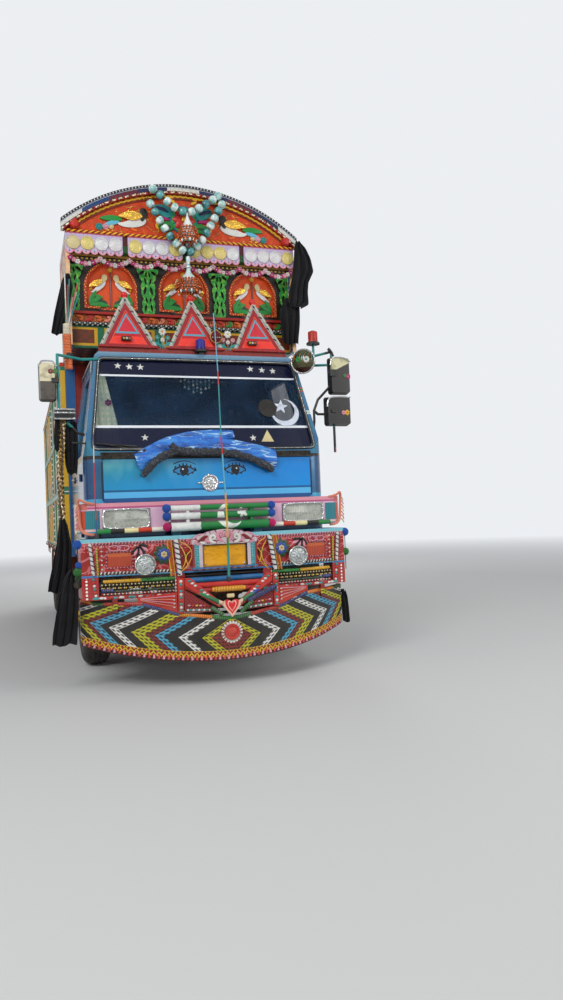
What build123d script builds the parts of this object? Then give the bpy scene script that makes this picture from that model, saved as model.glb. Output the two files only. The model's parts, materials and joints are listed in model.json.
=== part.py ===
from build123d import *
import os
from math import sqrt

# A decorated forward-control truck: two axles, a lofted cab, a high-sided wooden body
# and a carved crown that stands over the cab. Millimetres. +Z is up, the nose points
# along -Y, and the origin is on the ground at the middle of the truck's overall box.

# Overall sizes
LENGTH = 8600
BODY_WIDTH = 2500
NOSE_Y = -LENGTH / 2
HINGE_R = 11
HINGE_OUT = 13
TAIL_Y = LENGTH / 2 - HINGE_OUT - HINGE_R
HALF_BODY = BODY_WIDTH / 2

# Clearances
PANEL_GAP = 6
DOOR_REAR_GAP = 16
RUNNING_GAP = 0.05

# Wheels and axles
TYRE_R = 520
TYRE_W = 280
RIM_R = 255
RIM_WALL = 12
FRONT_TRACK = 2040
REAR_TRACK = 1850
TWIN_SPACING = 325
SKIRT_TO_SCREEN = 600
SCREEN_TO_AXLE = 1220
WHEELBASE = 5000
SCREEN_Y = NOSE_Y + SKIRT_TO_SCREEN
FRONT_AXLE_Y = SCREEN_Y + SCREEN_TO_AXLE
REAR_AXLE_Y = FRONT_AXLE_Y + WHEELBASE
AXLE_Z = TYRE_R
KINGPIN_X = 835
KINGPIN_R = 25
STUB_R = 40
TIE_ROD_BACK = 150

# Chassis frame
RAIL_X = 425
RAIL_H = 250
RAIL_FLANGE = 80
RAIL_WALL = 9
RAIL_TOP = 1010
RAIL_FRONT = SCREEN_Y - 150
RAIL_REAR = TAIL_Y - 80
SPRING_W = 80

# Cab
CAB_SILL = 1150
CAB_BELT = 2045
CAB_EAVE = 3075
CAB_TOP = 3150
CAB_HALF = 1170
CAB_EAVE_HALF = 1010
CORNER_R = 150
CAB_DEPTH = 1750
CAB_WALL = 45
CAB_REAR = SCREEN_Y + CAB_DEPTH
PANEL_FOOT = 1655
PANEL_HALF = 1018
SCREEN_FOOT = 2125
SCREEN_HEAD = 3060
SCREEN_FOOT_HALF = 1080
SCREEN_HEAD_HALF = 965
SCREEN_ROUND = 70
GLASS = 8
DOOR_FRONT = SCREEN_Y + 250
DOOR_REAR = SCREEN_Y + 1230
DOOR_TOP_FRONT = SCREEN_Y + 520
DOOR_SILL = 1205
DOOR_HEAD = 2985

# Front end
BUMPER_BOTTOM = 805
BUMPER_TOP = 1335
BUMPER_HALF = 1240
BUMPER_NOSE = SCREEN_Y - 400
BUMPER_SWEEP = 150
BUMPER_WALL = 60
LAMP_PANEL_BOTTOM = 1385
LAMP_PANEL_TOP = 1645
LAMP_PANEL_NOSE = SCREEN_Y - 235
LAMP_PANEL_WALL = 50
SKIRT_WALL = 24
SKIRT_SWEEP = 460
SKIRT_END_Z = 400
SKIRT_MID_Z = 232

# Cargo body
FLOOR_TOP = 1270
FLOOR_BOARD = 50
WALL = 60
WALL_TOP = 3300
FRONT_WALL_Y = CAB_REAR + 90
TAILGATE_TOP = 2250

# Crown
CROWN_Y = SCREEN_Y + 735
CROWN_RECESS = 135
CROWN_BOTTOM = 3270
CROWN_BOARD = 40
CROWN_HALF = 1213
PEDIMENT_FOOT = 4400
ARCH_TOP = 4980
ARCH_HALF = 1250
ARCH_END = 4523
RIM_DEPTH = 98
RIM_OUT = 35
VALANCE_DEPTH = 215
VALANCE_GAP = 52
SCALLOPS = 7
BAY = 766
NICHE_W = 490
NICHE_FOOT = 3696
NICHE_TOP = 4135
FRAME_W = 24
COLUMN_TOP = 4112
COLUMN_FOOT = 3637

parts = {}


def keep(shape, name):
    """Labels a finished piece and remembers it for writing."""
    shape.label = name
    parts[name] = shape


# Planes and plain blocks used throughout


def at_x(x):
    """A plane facing +X at x, drawn in Y and Z."""
    return Plane.YZ.offset(x)


def at_y(y):
    """A plane facing the nose at y, drawn in X and Z."""
    return Plane.XZ.offset(-y)


def at_z(z):
    """A level plane at height z, drawn in X and Y."""
    return Plane.XY.offset(z)


def block(x0, x1, y0, y1, z0, z1, mode=Mode.ADD):
    """A square block between two corners, in the open part."""
    with Locations(((x0 + x1) / 2, (y0 + y1) / 2, (z0 + z1) / 2)):
        Box(abs(x1 - x0), abs(y1 - y0), abs(z1 - z0), mode=mode)


def rod(start, end, radius, mode=Mode.ADD):
    """A round bar between two points, in the open part."""
    run = Vector(*end) - Vector(*start)
    with Locations(Plane(origin=start, z_dir=run)):
        Cylinder(radius, run.length, align=(Align.CENTER, Align.CENTER, Align.MIN), mode=mode)


def bent_tube(points, radius):
    """Straight round bars from point to point with round elbows, in the open part."""
    for start, end in zip(points, points[1:]):
        rod(start, end, radius)
    for point in points[1:-1]:
        with Locations(point):
            Sphere(radius)


SIDES = (("left", 1), ("right", -1))

# Tyres: one for each front wheel, a twin pair behind
TYRE_TABLE = (
    ("front_left", FRONT_TRACK / 2, FRONT_AXLE_Y, (0,)),
    ("front_right", -FRONT_TRACK / 2, FRONT_AXLE_Y, (0,)),
    ("rear_left", REAR_TRACK / 2, REAR_AXLE_Y, (-TWIN_SPACING / 2, TWIN_SPACING / 2)),
    ("rear_right", -REAR_TRACK / 2, REAR_AXLE_Y, (-TWIN_SPACING / 2, TWIN_SPACING / 2)),
)
BEAD_HALF = 0.36 * TYRE_W
FLANGE_R = RIM_R + 15
TREAD_HALF = 0.38 * TYRE_W
SHOULDER_DROP = 16
for place, wheel_x, wheel_y, centres in TYRE_TABLE:
    with BuildPart() as tyre:
        for shift in centres:
            with BuildSketch(Plane((wheel_x + shift, wheel_y, AXLE_Z))) as section:
                with BuildLine():
                    Line((-BEAD_HALF, RIM_R), (BEAD_HALF, RIM_R))
                    Line((BEAD_HALF, RIM_R), (BEAD_HALF, FLANGE_R))
                    ThreePointArc(
                        (BEAD_HALF, FLANGE_R),
                        (TYRE_W / 2, RIM_R + 0.52 * (TYRE_R - RIM_R)),
                        (0.45 * TYRE_W, TYRE_R - SHOULDER_DROP),
                    )
                    Line((0.45 * TYRE_W, TYRE_R - SHOULDER_DROP), (TREAD_HALF, TYRE_R))
                    Line((TREAD_HALF, TYRE_R), (-TREAD_HALF, TYRE_R))
                    Line((-TREAD_HALF, TYRE_R), (-0.45 * TYRE_W, TYRE_R - SHOULDER_DROP))
                    ThreePointArc(
                        (-0.45 * TYRE_W, TYRE_R - SHOULDER_DROP),
                        (-TYRE_W / 2, RIM_R + 0.52 * (TYRE_R - RIM_R)),
                        (-BEAD_HALF, FLANGE_R),
                    )
                    Line((-BEAD_HALF, FLANGE_R), (-BEAD_HALF, RIM_R))
                make_face()
            revolve(axis=Axis((wheel_x + shift, wheel_y, AXLE_Z), (1, 0, 0)))
    keep(tyre.part, f"tyre_{place}")

# Pressed steel wheels with hub and brake drum, as rectangles (from, to, inner r, outer r)
# and dished webs (rim edge, face, side it bulges to), measured outboard from the tyre middle
BARREL_R = RIM_R - RIM_WALL
FLANGE_T = 10
BORE_R = STUB_R + RUNNING_GAP
HUB_R = 72
DRUM_R = 205
DISH_R = 150
WEB = 14
FRONT_DISH = 132
HUB_IN = -35
STUB_END = 118
CAP_OUT = 178
REAR_STUB_END = 60
REAR_CAP_OUT = 118
HAND_HOLES = 8
HAND_HOLE_R = 24


def ring(sketch_from, sketch_to, inner, outer):
    """A rectangle of the wheel's section, in the open sketch."""
    with Locations(((sketch_from + sketch_to) / 2, (inner + outer) / 2)):
        Rectangle(abs(sketch_to - sketch_from), outer - inner)


def dish(root, face, lean):
    """A dished web of the wheel's section, from the barrel to a flat face."""
    Polygon(
        (root, BARREL_R + 1),
        (root + lean * 1.4 * WEB, BARREL_R + 1),
        (face + lean * WEB / 2, DISH_R),
        (face + lean * WEB / 2, HUB_R - 4),
        (face - lean * WEB / 2, HUB_R - 4),
        (face - lean * WEB / 2, DISH_R - 6),
        align=None,
    )


for place, wheel_x, wheel_y, centres in TYRE_TABLE:
    out = 1 if wheel_x > 0 else -1
    with BuildPart() as rim:
        with BuildSketch(Plane((wheel_x, wheel_y, AXLE_Z))) as section:
            for shift in centres:
                ring(shift - BEAD_HALF - FLANGE_T - 2, shift + BEAD_HALF + FLANGE_T + 2, BARREL_R, RIM_R)
                ring(shift + BEAD_HALF + 2, shift + BEAD_HALF + 2 + FLANGE_T, BARREL_R, FLANGE_R)
                ring(shift - BEAD_HALF - 2, shift - BEAD_HALF - 2 - FLANGE_T, BARREL_R, FLANGE_R)
            if len(centres) == 1:
                ring(out * HUB_IN, out * (FRONT_DISH + 6), BORE_R, HUB_R)
                ring(out * (STUB_END + 4), out * CAP_OUT, 0, HUB_R - 12)
                ring(out * HUB_IN, out * 70, HUB_R - 4, DRUM_R)
                dish(out * 52, out * FRONT_DISH, out)
            else:
                ring(out * -290, out * (REAR_STUB_END + 4), BORE_R, HUB_R)
                ring(out * (REAR_STUB_END + 4), out * REAR_CAP_OUT, 0, HUB_R + 18)
                ring(out * -290, out * -40, HUB_R - 4, DRUM_R)
                dish(out * (TWIN_SPACING / 2 - 50), out * WEB / 2, -out)
                dish(out * (50 - TWIN_SPACING / 2), out * -WEB / 2, out)
        revolve(axis=Axis((wheel_x, wheel_y, AXLE_Z), (1, 0, 0)))
        hole_plane = Plane(origin=(wheel_x, wheel_y, AXLE_Z), x_dir=(0, 1, 0), z_dir=(out, 0, 0))
        with BuildSketch(hole_plane.offset(-60)):
            with PolarLocations((DISH_R + BARREL_R) / 2, HAND_HOLES):
                Circle(HAND_HOLE_R)
        extrude(amount=260, mode=Mode.SUBTRACT)
    keep(rim.part, f"rim_{place}")

# Steering: two knuckles on the king pins and the tie rod behind them
BOSS_R = 52
BOSS_H = 110
EAR_H = 30
EAR_GAP = 1
PIN_R = 12
ROD_R = 18
ARM_Z = AXLE_Z - BOSS_H / 2 - EAR_GAP - EAR_H
ROD_Z = ARM_Z - 30
for name, side in SIDES:
    pin_x = side * KINGPIN_X
    with BuildPart() as knuckle:
        rod((pin_x, FRONT_AXLE_Y, ARM_Z), (pin_x, FRONT_AXLE_Y, 2 * AXLE_Z - ARM_Z), KINGPIN_R)
        for ear_z in (ARM_Z, AXLE_Z + BOSS_H / 2 + EAR_GAP):
            rod((pin_x, FRONT_AXLE_Y, ear_z), (pin_x, FRONT_AXLE_Y, ear_z + EAR_H), BOSS_R)
            block(
                pin_x, pin_x + side * (BOSS_R + 22), FRONT_AXLE_Y - BOSS_R, FRONT_AXLE_Y + BOSS_R,
                ear_z, ear_z + EAR_H,
            )
        block(
            pin_x + side * (BOSS_R + 2), pin_x + side * (BOSS_R + 22), FRONT_AXLE_Y - BOSS_R,
            FRONT_AXLE_Y + BOSS_R, ARM_Z, 2 * AXLE_Z - ARM_Z,
        )
        rod(
            (pin_x + side * (BOSS_R + 10), FRONT_AXLE_Y, AXLE_Z),
            (side * (FRONT_TRACK / 2 + STUB_END), FRONT_AXLE_Y, AXLE_Z), STUB_R,
        )
        block(
            pin_x - 20, pin_x + 20, FRONT_AXLE_Y, FRONT_AXLE_Y + TIE_ROD_BACK, ARM_Z, ARM_Z + EAR_H - 8,
        )
        rod(
            (pin_x, FRONT_AXLE_Y + TIE_ROD_BACK, ARM_Z + 15),
            (pin_x, FRONT_AXLE_Y + TIE_ROD_BACK, ROD_Z - ROD_R - 8), PIN_R,
        )
    keep(knuckle.part, f"knuckle_{name}")

with BuildPart() as tie_rod:
    rod_y = FRONT_AXLE_Y + TIE_ROD_BACK
    rod((-KINGPIN_X, rod_y, ROD_Z), (KINGPIN_X, rod_y, ROD_Z), ROD_R)
    for name, side in SIDES:
        rod(
            (side * KINGPIN_X, rod_y, ROD_Z - ROD_R - 4), (side * KINGPIN_X, rod_y, ROD_Z + ROD_R + 4),
            PIN_R + 16,
        )
    for name, side in SIDES:
        rod(
            (side * KINGPIN_X, rod_y, ROD_Z - 60), (side * KINGPIN_X, rod_y, ROD_Z + 60),
            PIN_R + RUNNING_GAP, mode=Mode.SUBTRACT,
        )
keep(tie_rod.part, "tie_rod")

# Axles and springs
BEAM_W = 80
BEAM_H = 90
with BuildPart() as front_axle:
    block(
        -KINGPIN_X, KINGPIN_X, FRONT_AXLE_Y - BEAM_W / 2, FRONT_AXLE_Y + BEAM_W / 2,
        AXLE_Z - BEAM_H / 2, AXLE_Z + BEAM_H / 2,
    )
    for name, side in SIDES:
        rod(
            (side * KINGPIN_X, FRONT_AXLE_Y, AXLE_Z - BOSS_H / 2),
            (side * KINGPIN_X, FRONT_AXLE_Y, AXLE_Z + BOSS_H / 2), BOSS_R,
        )
    for name, side in SIDES:
        rod(
            (side * KINGPIN_X, FRONT_AXLE_Y, AXLE_Z - BOSS_H), (side * KINGPIN_X, FRONT_AXLE_Y, AXLE_Z + BOSS_H),
            KINGPIN_R + RUNNING_GAP, mode=Mode.SUBTRACT,
        )
keep(front_axle.part, "front_axle")

AXLE_TUBE_R = 62
BANJO_R = 195
SHAFT_R = 45
GEARBOX_REAR = FRONT_AXLE_Y + 780
with BuildPart() as rear_axle:
    tube_end = REAR_TRACK / 2 - 300
    rod((-tube_end, REAR_AXLE_Y, AXLE_Z), (tube_end, REAR_AXLE_Y, AXLE_Z), AXLE_TUBE_R)
    rod(
        (-REAR_TRACK / 2 - REAR_STUB_END, REAR_AXLE_Y, AXLE_Z),
        (REAR_TRACK / 2 + REAR_STUB_END, REAR_AXLE_Y, AXLE_Z), STUB_R,
    )
    with Locations(Plane(origin=(0, REAR_AXLE_Y, AXLE_Z), z_dir=(0, 1, 0))):
        Cylinder(BANJO_R, 190)
    nose_y = REAR_AXLE_Y - 340
    rod((0, REAR_AXLE_Y, AXLE_Z), (0, nose_y, AXLE_Z + 25), 90)
    rod((0, nose_y + 20, AXLE_Z + 23), (0, GEARBOX_REAR + 8, RAIL_TOP - RAIL_H - 60), SHAFT_R)
keep(rear_axle.part, "rear_axle")


def leaf_spring(y, half_length, x, eye_z, sag, pack):
    """A curved pack of leaves with its two rail brackets, in the open part."""
    with BuildSketch(at_x(x)) as leaf:
        with BuildLine():
            ThreePointArc((y - half_length, eye_z), (y, eye_z - sag), (y + half_length, eye_z))
            Line((y + half_length, eye_z), (y + half_length, eye_z - 22))
            ThreePointArc(
                (y + half_length, eye_z - 22), (y, eye_z - sag - pack), (y - half_length, eye_z - 22),
            )
            Line((y - half_length, eye_z - 22), (y - half_length, eye_z))
        make_face()
    extrude(leaf.sketch, amount=SPRING_W / 2, both=True)
    for end in (-1, 1):
        block(
            x - SPRING_W / 2, x + SPRING_W / 2, y + end * half_length - 50, y + end * half_length + 50,
            eye_z - 30, RAIL_TOP - RAIL_H,
        )


SPRING_SEAT = AXLE_Z + BEAM_H / 2
# Rows: axle place, half length, eye height, seat height, pack thickness
SPRING_TABLE = (
    (FRONT_AXLE_Y, 620, RAIL_TOP - RAIL_H - 45, SPRING_SEAT, 50),
    (REAR_AXLE_Y, 690, RAIL_TOP - RAIL_H - 28, AXLE_Z + AXLE_TUBE_R, 80),
)
with BuildPart() as springs:
    for name, side in SIDES:
        for axle_y, half_length, eye_z, seat_z, pack in SPRING_TABLE:
            leaf_spring(
                axle_y, half_length, side * (RAIL_X - SPRING_W / 2), eye_z, eye_z - pack - seat_z, pack,
            )
keep(springs.part, "leaf_springs")

# Chassis frame: two channel rails and cross members
CROSS_AT = (RAIL_FRONT + 60, FRONT_AXLE_Y + 1050, REAR_AXLE_Y - 800, REAR_AXLE_Y + 800, RAIL_REAR - 60)
TOW_PIN_R = 20
TOW_BACK = 42
TOW_Z = 850
TOW_MOUTH = 60
JAW_T = 28
JAW_HALF = 70
with BuildPart() as chassis:
    for name, side in SIDES:
        inner = side * (RAIL_X - RAIL_FLANGE)
        outer = side * RAIL_X
        block(inner, outer, RAIL_FRONT, RAIL_REAR, RAIL_TOP - RAIL_H, RAIL_TOP)
        block(
            inner, side * (RAIL_X - RAIL_WALL), RAIL_FRONT, RAIL_REAR,
            RAIL_TOP - RAIL_H + RAIL_WALL, RAIL_TOP - RAIL_WALL, mode=Mode.SUBTRACT,
        )
    for cross_y in CROSS_AT:
        block(
            -RAIL_X + RAIL_WALL, RAIL_X - RAIL_WALL, cross_y - 60, cross_y + 60,
            RAIL_TOP - RAIL_H + RAIL_WALL, RAIL_TOP - RAIL_H + RAIL_WALL + 130,
        )
    block(-150, 150, RAIL_REAR - 120, RAIL_REAR, RAIL_TOP - RAIL_H - 40, RAIL_TOP - 40)
    for mount_y in (SCREEN_Y + 160, CAB_REAR - 160):
        for name, side in SIDES:
            block(
                side * (RAIL_X - RAIL_FLANGE), side * RAIL_X, mount_y - 40, mount_y + 40, RAIL_TOP,
                CAB_SILL,
            )
    for jaw_z in (TOW_Z - TOW_MOUTH / 2 - JAW_T, TOW_Z + TOW_MOUTH / 2):
        block(-JAW_HALF, JAW_HALF, RAIL_REAR, RAIL_REAR + 2 * TOW_BACK, jaw_z, jaw_z + JAW_T)
    rod(
        (0, RAIL_REAR + TOW_BACK, TOW_Z - TOW_MOUTH), (0, RAIL_REAR + TOW_BACK, TOW_Z + TOW_MOUTH),
        TOW_PIN_R, mode=Mode.SUBTRACT,
    )
keep(chassis.part, "chassis_frame")

with BuildPart() as engine:
    block(-320, 320, SCREEN_Y + 330, FRONT_AXLE_Y + 140, SPRING_SEAT + 30, CAB_SILL - 60)
    for foot_y in (SCREEN_Y + 450, FRONT_AXLE_Y + 60):
        block(-RAIL_X + 25, RAIL_X - 25, foot_y - 35, foot_y + 35, RAIL_TOP, RAIL_TOP + 30)
    block(-190, 190, FRONT_AXLE_Y + 140, GEARBOX_REAR, 600, 930)
keep(engine.part, "engine")

TANK_LONG = 900
TANK_Y = FRONT_AXLE_Y + 1750
with BuildPart() as fuel_tank:
    block(RAIL_X, RAIL_X + 520, TANK_Y, TANK_Y + TANK_LONG, 470, 930)
    fillet(fuel_tank.edges().filter_by(Axis.Y), radius=70)
keep(fuel_tank.part, "fuel_tank")

with BuildPart() as toolbox:
    block(-RAIL_X - 560, -RAIL_X, TANK_Y, TANK_Y + TANK_LONG, 500, 930)
    chamfer(toolbox.edges().filter_by(Axis.Y), length=20)
keep(toolbox.part, "tool_box")

# Cab: a side outline and a front outline crossed, so inner and outer skins match
SCREEN_LEAN = 300


def cab_block(inset):
    """The cab's outer form, or the same form drawn in by inset."""
    with BuildPart() as form:
        with BuildSketch(Plane.YZ) as side_view:
            Polygon(
                (SCREEN_Y - 15, CAB_SILL), (SCREEN_Y - 15, CAB_BELT), (SCREEN_Y + 10, SCREEN_FOOT),
                (SCREEN_Y + SCREEN_LEAN, SCREEN_HEAD), (SCREEN_Y + SCREEN_LEAN + 45, CAB_TOP - 35),
                (SCREEN_Y + SCREEN_LEAN + 170, CAB_TOP), (CAB_REAR, CAB_TOP), (CAB_REAR, CAB_SILL),
                align=None,
            )
            if inset:
                offset(amount=-inset, kind=Kind.INTERSECTION)
        extrude(amount=CAB_HALF + 50, both=True)
        with BuildSketch(at_y(CAB_REAR)) as front_view:
            Polygon(
                (-CAB_HALF, CAB_SILL), (-CAB_HALF, CAB_BELT), (-CAB_EAVE_HALF, CAB_EAVE),
                (-CAB_EAVE_HALF + 75, CAB_TOP), (CAB_EAVE_HALF - 75, CAB_TOP),
                (CAB_EAVE_HALF, CAB_EAVE), (CAB_HALF, CAB_BELT), (CAB_HALF, CAB_SILL), align=None,
            )
            if inset:
                offset(amount=-inset, kind=Kind.INTERSECTION)
        extrude(amount=CAB_DEPTH + 200, mode=Mode.INTERSECT)
        with BuildSketch(at_z(CAB_SILL)) as plan_view:
            with BuildLine():
                corner = CORNER_R - inset
                half = CAB_HALF - inset
                front = SCREEN_Y - 15 + inset
                back = CAB_REAR - inset
                Line((-half + corner, front), (half - corner, front))
                RadiusArc((half - corner, front), (half, front + corner), -corner)
                Line((half, front + corner), (half, back))
                Line((half, back), (-half, back))
                Line((-half, back), (-half, front + corner))
                RadiusArc((-half, front + corner), (-half + corner, front), -corner)
            make_face()
        extrude(amount=CAB_TOP - CAB_SILL + 50, mode=Mode.INTERSECT)
    return form.part


def door_outline(front, rear, edge):
    """The door's outline in Y and Z, let out by a gap at the front, rear, sill and head."""
    return (
        (DOOR_FRONT - front, DOOR_SILL - edge), (DOOR_REAR + rear, DOOR_SILL - edge),
        (DOOR_REAR + rear, DOOR_HEAD + edge), (DOOR_TOP_FRONT - front, DOOR_HEAD + edge),
        (DOOR_FRONT - front, CAB_BELT + 90),
    )


WINDOW_SILL = CAB_BELT + 75
WINDOW_HEAD = DOOR_HEAD - 75
DOOR_STILE = 75


def window_outline(inset):
    """The door window's outline in Y and Z."""
    return (
        (DOOR_FRONT + DOOR_STILE + 40 + inset, WINDOW_SILL + inset),
        (DOOR_REAR - DOOR_STILE - inset, WINDOW_SILL + inset),
        (DOOR_REAR - DOOR_STILE - inset, WINDOW_HEAD - inset),
        (DOOR_TOP_FRONT + DOOR_STILE - 10 + inset, WINDOW_HEAD - inset),
    )


cab_outer = cab_block(0)
cab_inner = cab_block(CAB_WALL)
glass_outer = cab_block(CAB_WALL / 2 - GLASS / 2)
glass_inner = cab_block(CAB_WALL / 2 + GLASS / 2)
SCREEN_OPENING = (
    (-SCREEN_FOOT_HALF, SCREEN_FOOT + 25), (-SCREEN_HEAD_HALF, SCREEN_HEAD - 25),
    (SCREEN_HEAD_HALF, SCREEN_HEAD - 25), (SCREEN_FOOT_HALF, SCREEN_FOOT + 25),
)
with BuildPart() as cab_shell:
    add(cab_outer)
    add(cab_inner, mode=Mode.SUBTRACT)
    with BuildSketch(at_x(0)):
        Polygon(*door_outline(PANEL_GAP, DOOR_REAR_GAP, PANEL_GAP), align=None)
    extrude(amount=CAB_HALF + 100, both=True, mode=Mode.SUBTRACT)
    with BuildSketch(at_y(SCREEN_Y + SCREEN_LEAN + 200)) as opening:
        Polygon(*SCREEN_OPENING, align=None)
        fillet(opening.vertices(), radius=SCREEN_ROUND)
    extrude(amount=600, mode=Mode.SUBTRACT)
keep(cab_shell.part, "cab_shell")

with BuildPart() as windscreen:
    add(glass_outer)
    add(glass_inner, mode=Mode.SUBTRACT)
    with BuildSketch(at_y(SCREEN_Y + SCREEN_LEAN + 200)) as opening:
        Polygon(*SCREEN_OPENING, align=None)
        fillet(opening.vertices(), radius=SCREEN_ROUND)
    extrude(amount=600, mode=Mode.INTERSECT)
keep(windscreen.part, "windscreen")

HINGE_HEIGHTS = (1380, 1900)
HINGE_LONG = 70
for name, side in SIDES:
    with BuildPart() as door:
        add(cab_outer)
        add(cab_inner, mode=Mode.SUBTRACT)
        with BuildSketch(at_x(0)):
            Polygon(*door_outline(0, 0, 0), align=None)
        extrude(amount=side * (CAB_HALF + 100), mode=Mode.INTERSECT)
        with BuildSketch(at_x(0)):
            Polygon(*window_outline(0), align=None)
        extrude(amount=side * (CAB_HALF + 100), mode=Mode.SUBTRACT)
        for hinge_z in HINGE_HEIGHTS:
            rod(
                (side * (CAB_HALF + HINGE_OUT), DOOR_FRONT, hinge_z - HINGE_LONG / 2),
                (side * (CAB_HALF + HINGE_OUT), DOOR_FRONT, hinge_z + HINGE_LONG / 2), HINGE_R,
            )
            block(
                side * (CAB_HALF - 2), side * (CAB_HALF + HINGE_OUT), DOOR_FRONT + 1, DOOR_FRONT + 60,
                hinge_z - HINGE_LONG / 2, hinge_z + HINGE_LONG / 2,
            )
    keep(door.part, f"door_{name}")
    with BuildPart() as pane:
        add(glass_outer)
        add(glass_inner, mode=Mode.SUBTRACT)
        with BuildSketch(at_x(0)):
            Polygon(*window_outline(0), align=None)
        extrude(amount=side * (CAB_HALF + 100), mode=Mode.INTERSECT)
    keep(pane.part, f"door_glass_{name}")

# Front panel below the screen
PANEL_T = 25
PANEL_BACK = SCREEN_Y - 15
with BuildPart() as front_panel:
    block(-PANEL_HALF, PANEL_HALF, PANEL_BACK - PANEL_T, PANEL_BACK, PANEL_FOOT, CAB_BELT)
    fillet(front_panel.edges().filter_by(Axis.Y), radius=40)
keep(front_panel.part, "front_panel")

# Cab fittings
INNER_FRONT = SCREEN_Y - 15 + CAB_WALL
CAB_FLOOR = CAB_SILL + CAB_WALL
with BuildPart() as dashboard:
    with BuildSketch(at_x(0)):
        Polygon(
            (INNER_FRONT, 1700), (INNER_FRONT, 2035), (INNER_FRONT + 90, 2085),
            (INNER_FRONT + 330, 2060), (INNER_FRONT + 360, 1960), (INNER_FRONT + 250, 1700), align=None,
        )
    extrude(amount=CAB_HALF - CORNER_R - 20, both=True)
keep(dashboard.part, "dashboard")

WHEEL_X = -530
WHEEL_Y = INNER_FRONT + 480
WHEEL_Z = 2090
COLUMN_Y = WHEEL_Y - 0.45 * (WHEEL_Z - CAB_FLOOR - 40)
with BuildPart() as steering_wheel:
    tilt = Plane(origin=(WHEEL_X, WHEEL_Y, WHEEL_Z), z_dir=(0, 0.45, 1))
    with Locations(tilt):
        Torus(235, 15)
        Cylinder(55, 40)
    with Locations(tilt.offset(-4)):
        with PolarLocations(120, 3, start_angle=90):
            Box(230, 30, 14)
    rod((WHEEL_X, WHEEL_Y, WHEEL_Z), (WHEEL_X, COLUMN_Y, CAB_FLOOR + 40), 28)
    block(WHEEL_X - 60, WHEEL_X + 60, COLUMN_Y - 60, COLUMN_Y + 60, CAB_FLOOR, CAB_FLOOR + 70)
keep(steering_wheel.part, "steering_wheel")

# Seats: from x, to x
SEAT_TABLE = ((-830, -300), (-60, 980))
SEAT_Y = SCREEN_Y + 950
with BuildPart() as seats:
    for seat_from, seat_to in SEAT_TABLE:
        with BuildSketch(at_x(seat_from)) as seat_side:
            Polygon(
                (SEAT_Y, CAB_FLOOR), (SEAT_Y, CAB_FLOOR + 420), (SEAT_Y + 480, CAB_FLOOR + 390),
                (SEAT_Y + 560, CAB_FLOOR + 1010), (SEAT_Y + 680, CAB_FLOOR + 1010),
                (SEAT_Y + 620, CAB_FLOOR), align=None,
            )
        extrude(amount=seat_to - seat_from)
keep(seats.part, "seats")

STEP_Y = SCREEN_Y + 240
STEP_LONG = 330
with BuildPart() as steps:
    for name, side in SIDES:
        block(side * 820, side * 1170, STEP_Y, STEP_Y + STEP_LONG, 560, CAB_SILL)
        for tread_z in (600, 880):
            block(
                side * 900, side * 1200, STEP_Y + 30, STEP_Y + STEP_LONG - 30, tread_z, tread_z + 200,
                mode=Mode.SUBTRACT,
            )
keep(steps.part, "cab_steps")

# Mirrors on tube arms ahead of the doors, as heads (inner x, outer x, foot, top, y) on
# poles and brackets given by their points
MIRROR_REACH = 1530
MIRROR_Y = SCREEN_Y + 100
ARM_R = 13
HEAD_TABLE = (
    (-1376, -MIRROR_REACH, 2590, 2946),
    (-1217, -1418, 2417, 2522),
    (1306, MIRROR_REACH, 2694, 3076),
    (1250, MIRROR_REACH - 8, 2370, 2671),
)
ARM_TABLE = (
    ((-CAB_EAVE_HALF + 40, 290, 3030), (-1130, 260, 3015), (-1360, 110, 3020), (-1360, 110, 2360)),
    ((-CAB_HALF + 30, 150, 2290), (-1200, 140, 2310), (-1360, 110, 2470)),
    (
        (CAB_HALF - 40, 150, 2300), (1140, 130, 2420), (1140, 128, 2530), (1183, 120, 2640),
        (1340, 104, 2800), (1345, 104, 3134), (1195, 230, 3110), (CAB_EAVE_HALF - 40, 290, 3075),
    ),
    ((1140, 128, 2530), (1176, 120, 2493), (1345, 104, 2490)),
    ((1345, 104, 2490), (1345, 104, 2100)),
    ((1345, 104, 3000), (1180, 240, 3015), (CAB_EAVE_HALF - 60, 300, 3015)),
)
BEACON_POST = (1205, 240, 3110, 3235)
with BuildPart() as mirrors:
    for points in ARM_TABLE:
        bent_tube([(x, SCREEN_Y + y, z) for x, y, z in points], ARM_R)
    rod(
        (BEACON_POST[0], SCREEN_Y + BEACON_POST[1], BEACON_POST[2]),
        (BEACON_POST[0], SCREEN_Y + BEACON_POST[1], BEACON_POST[3]), ARM_R,
    )
    for inner_x, outer_x, foot, top in HEAD_TABLE:
        with BuildSketch(at_y(MIRROR_Y + 34)) as head:
            with Locations(((inner_x + outer_x) / 2, (foot + top) / 2)):
                RectangleRounded(abs(outer_x - inner_x), top - foot, 30)
        extrude(amount=86, taper=9)
    add(cab_outer, mode=Mode.SUBTRACT)
keep(mirrors.part, "mirrors")

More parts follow.
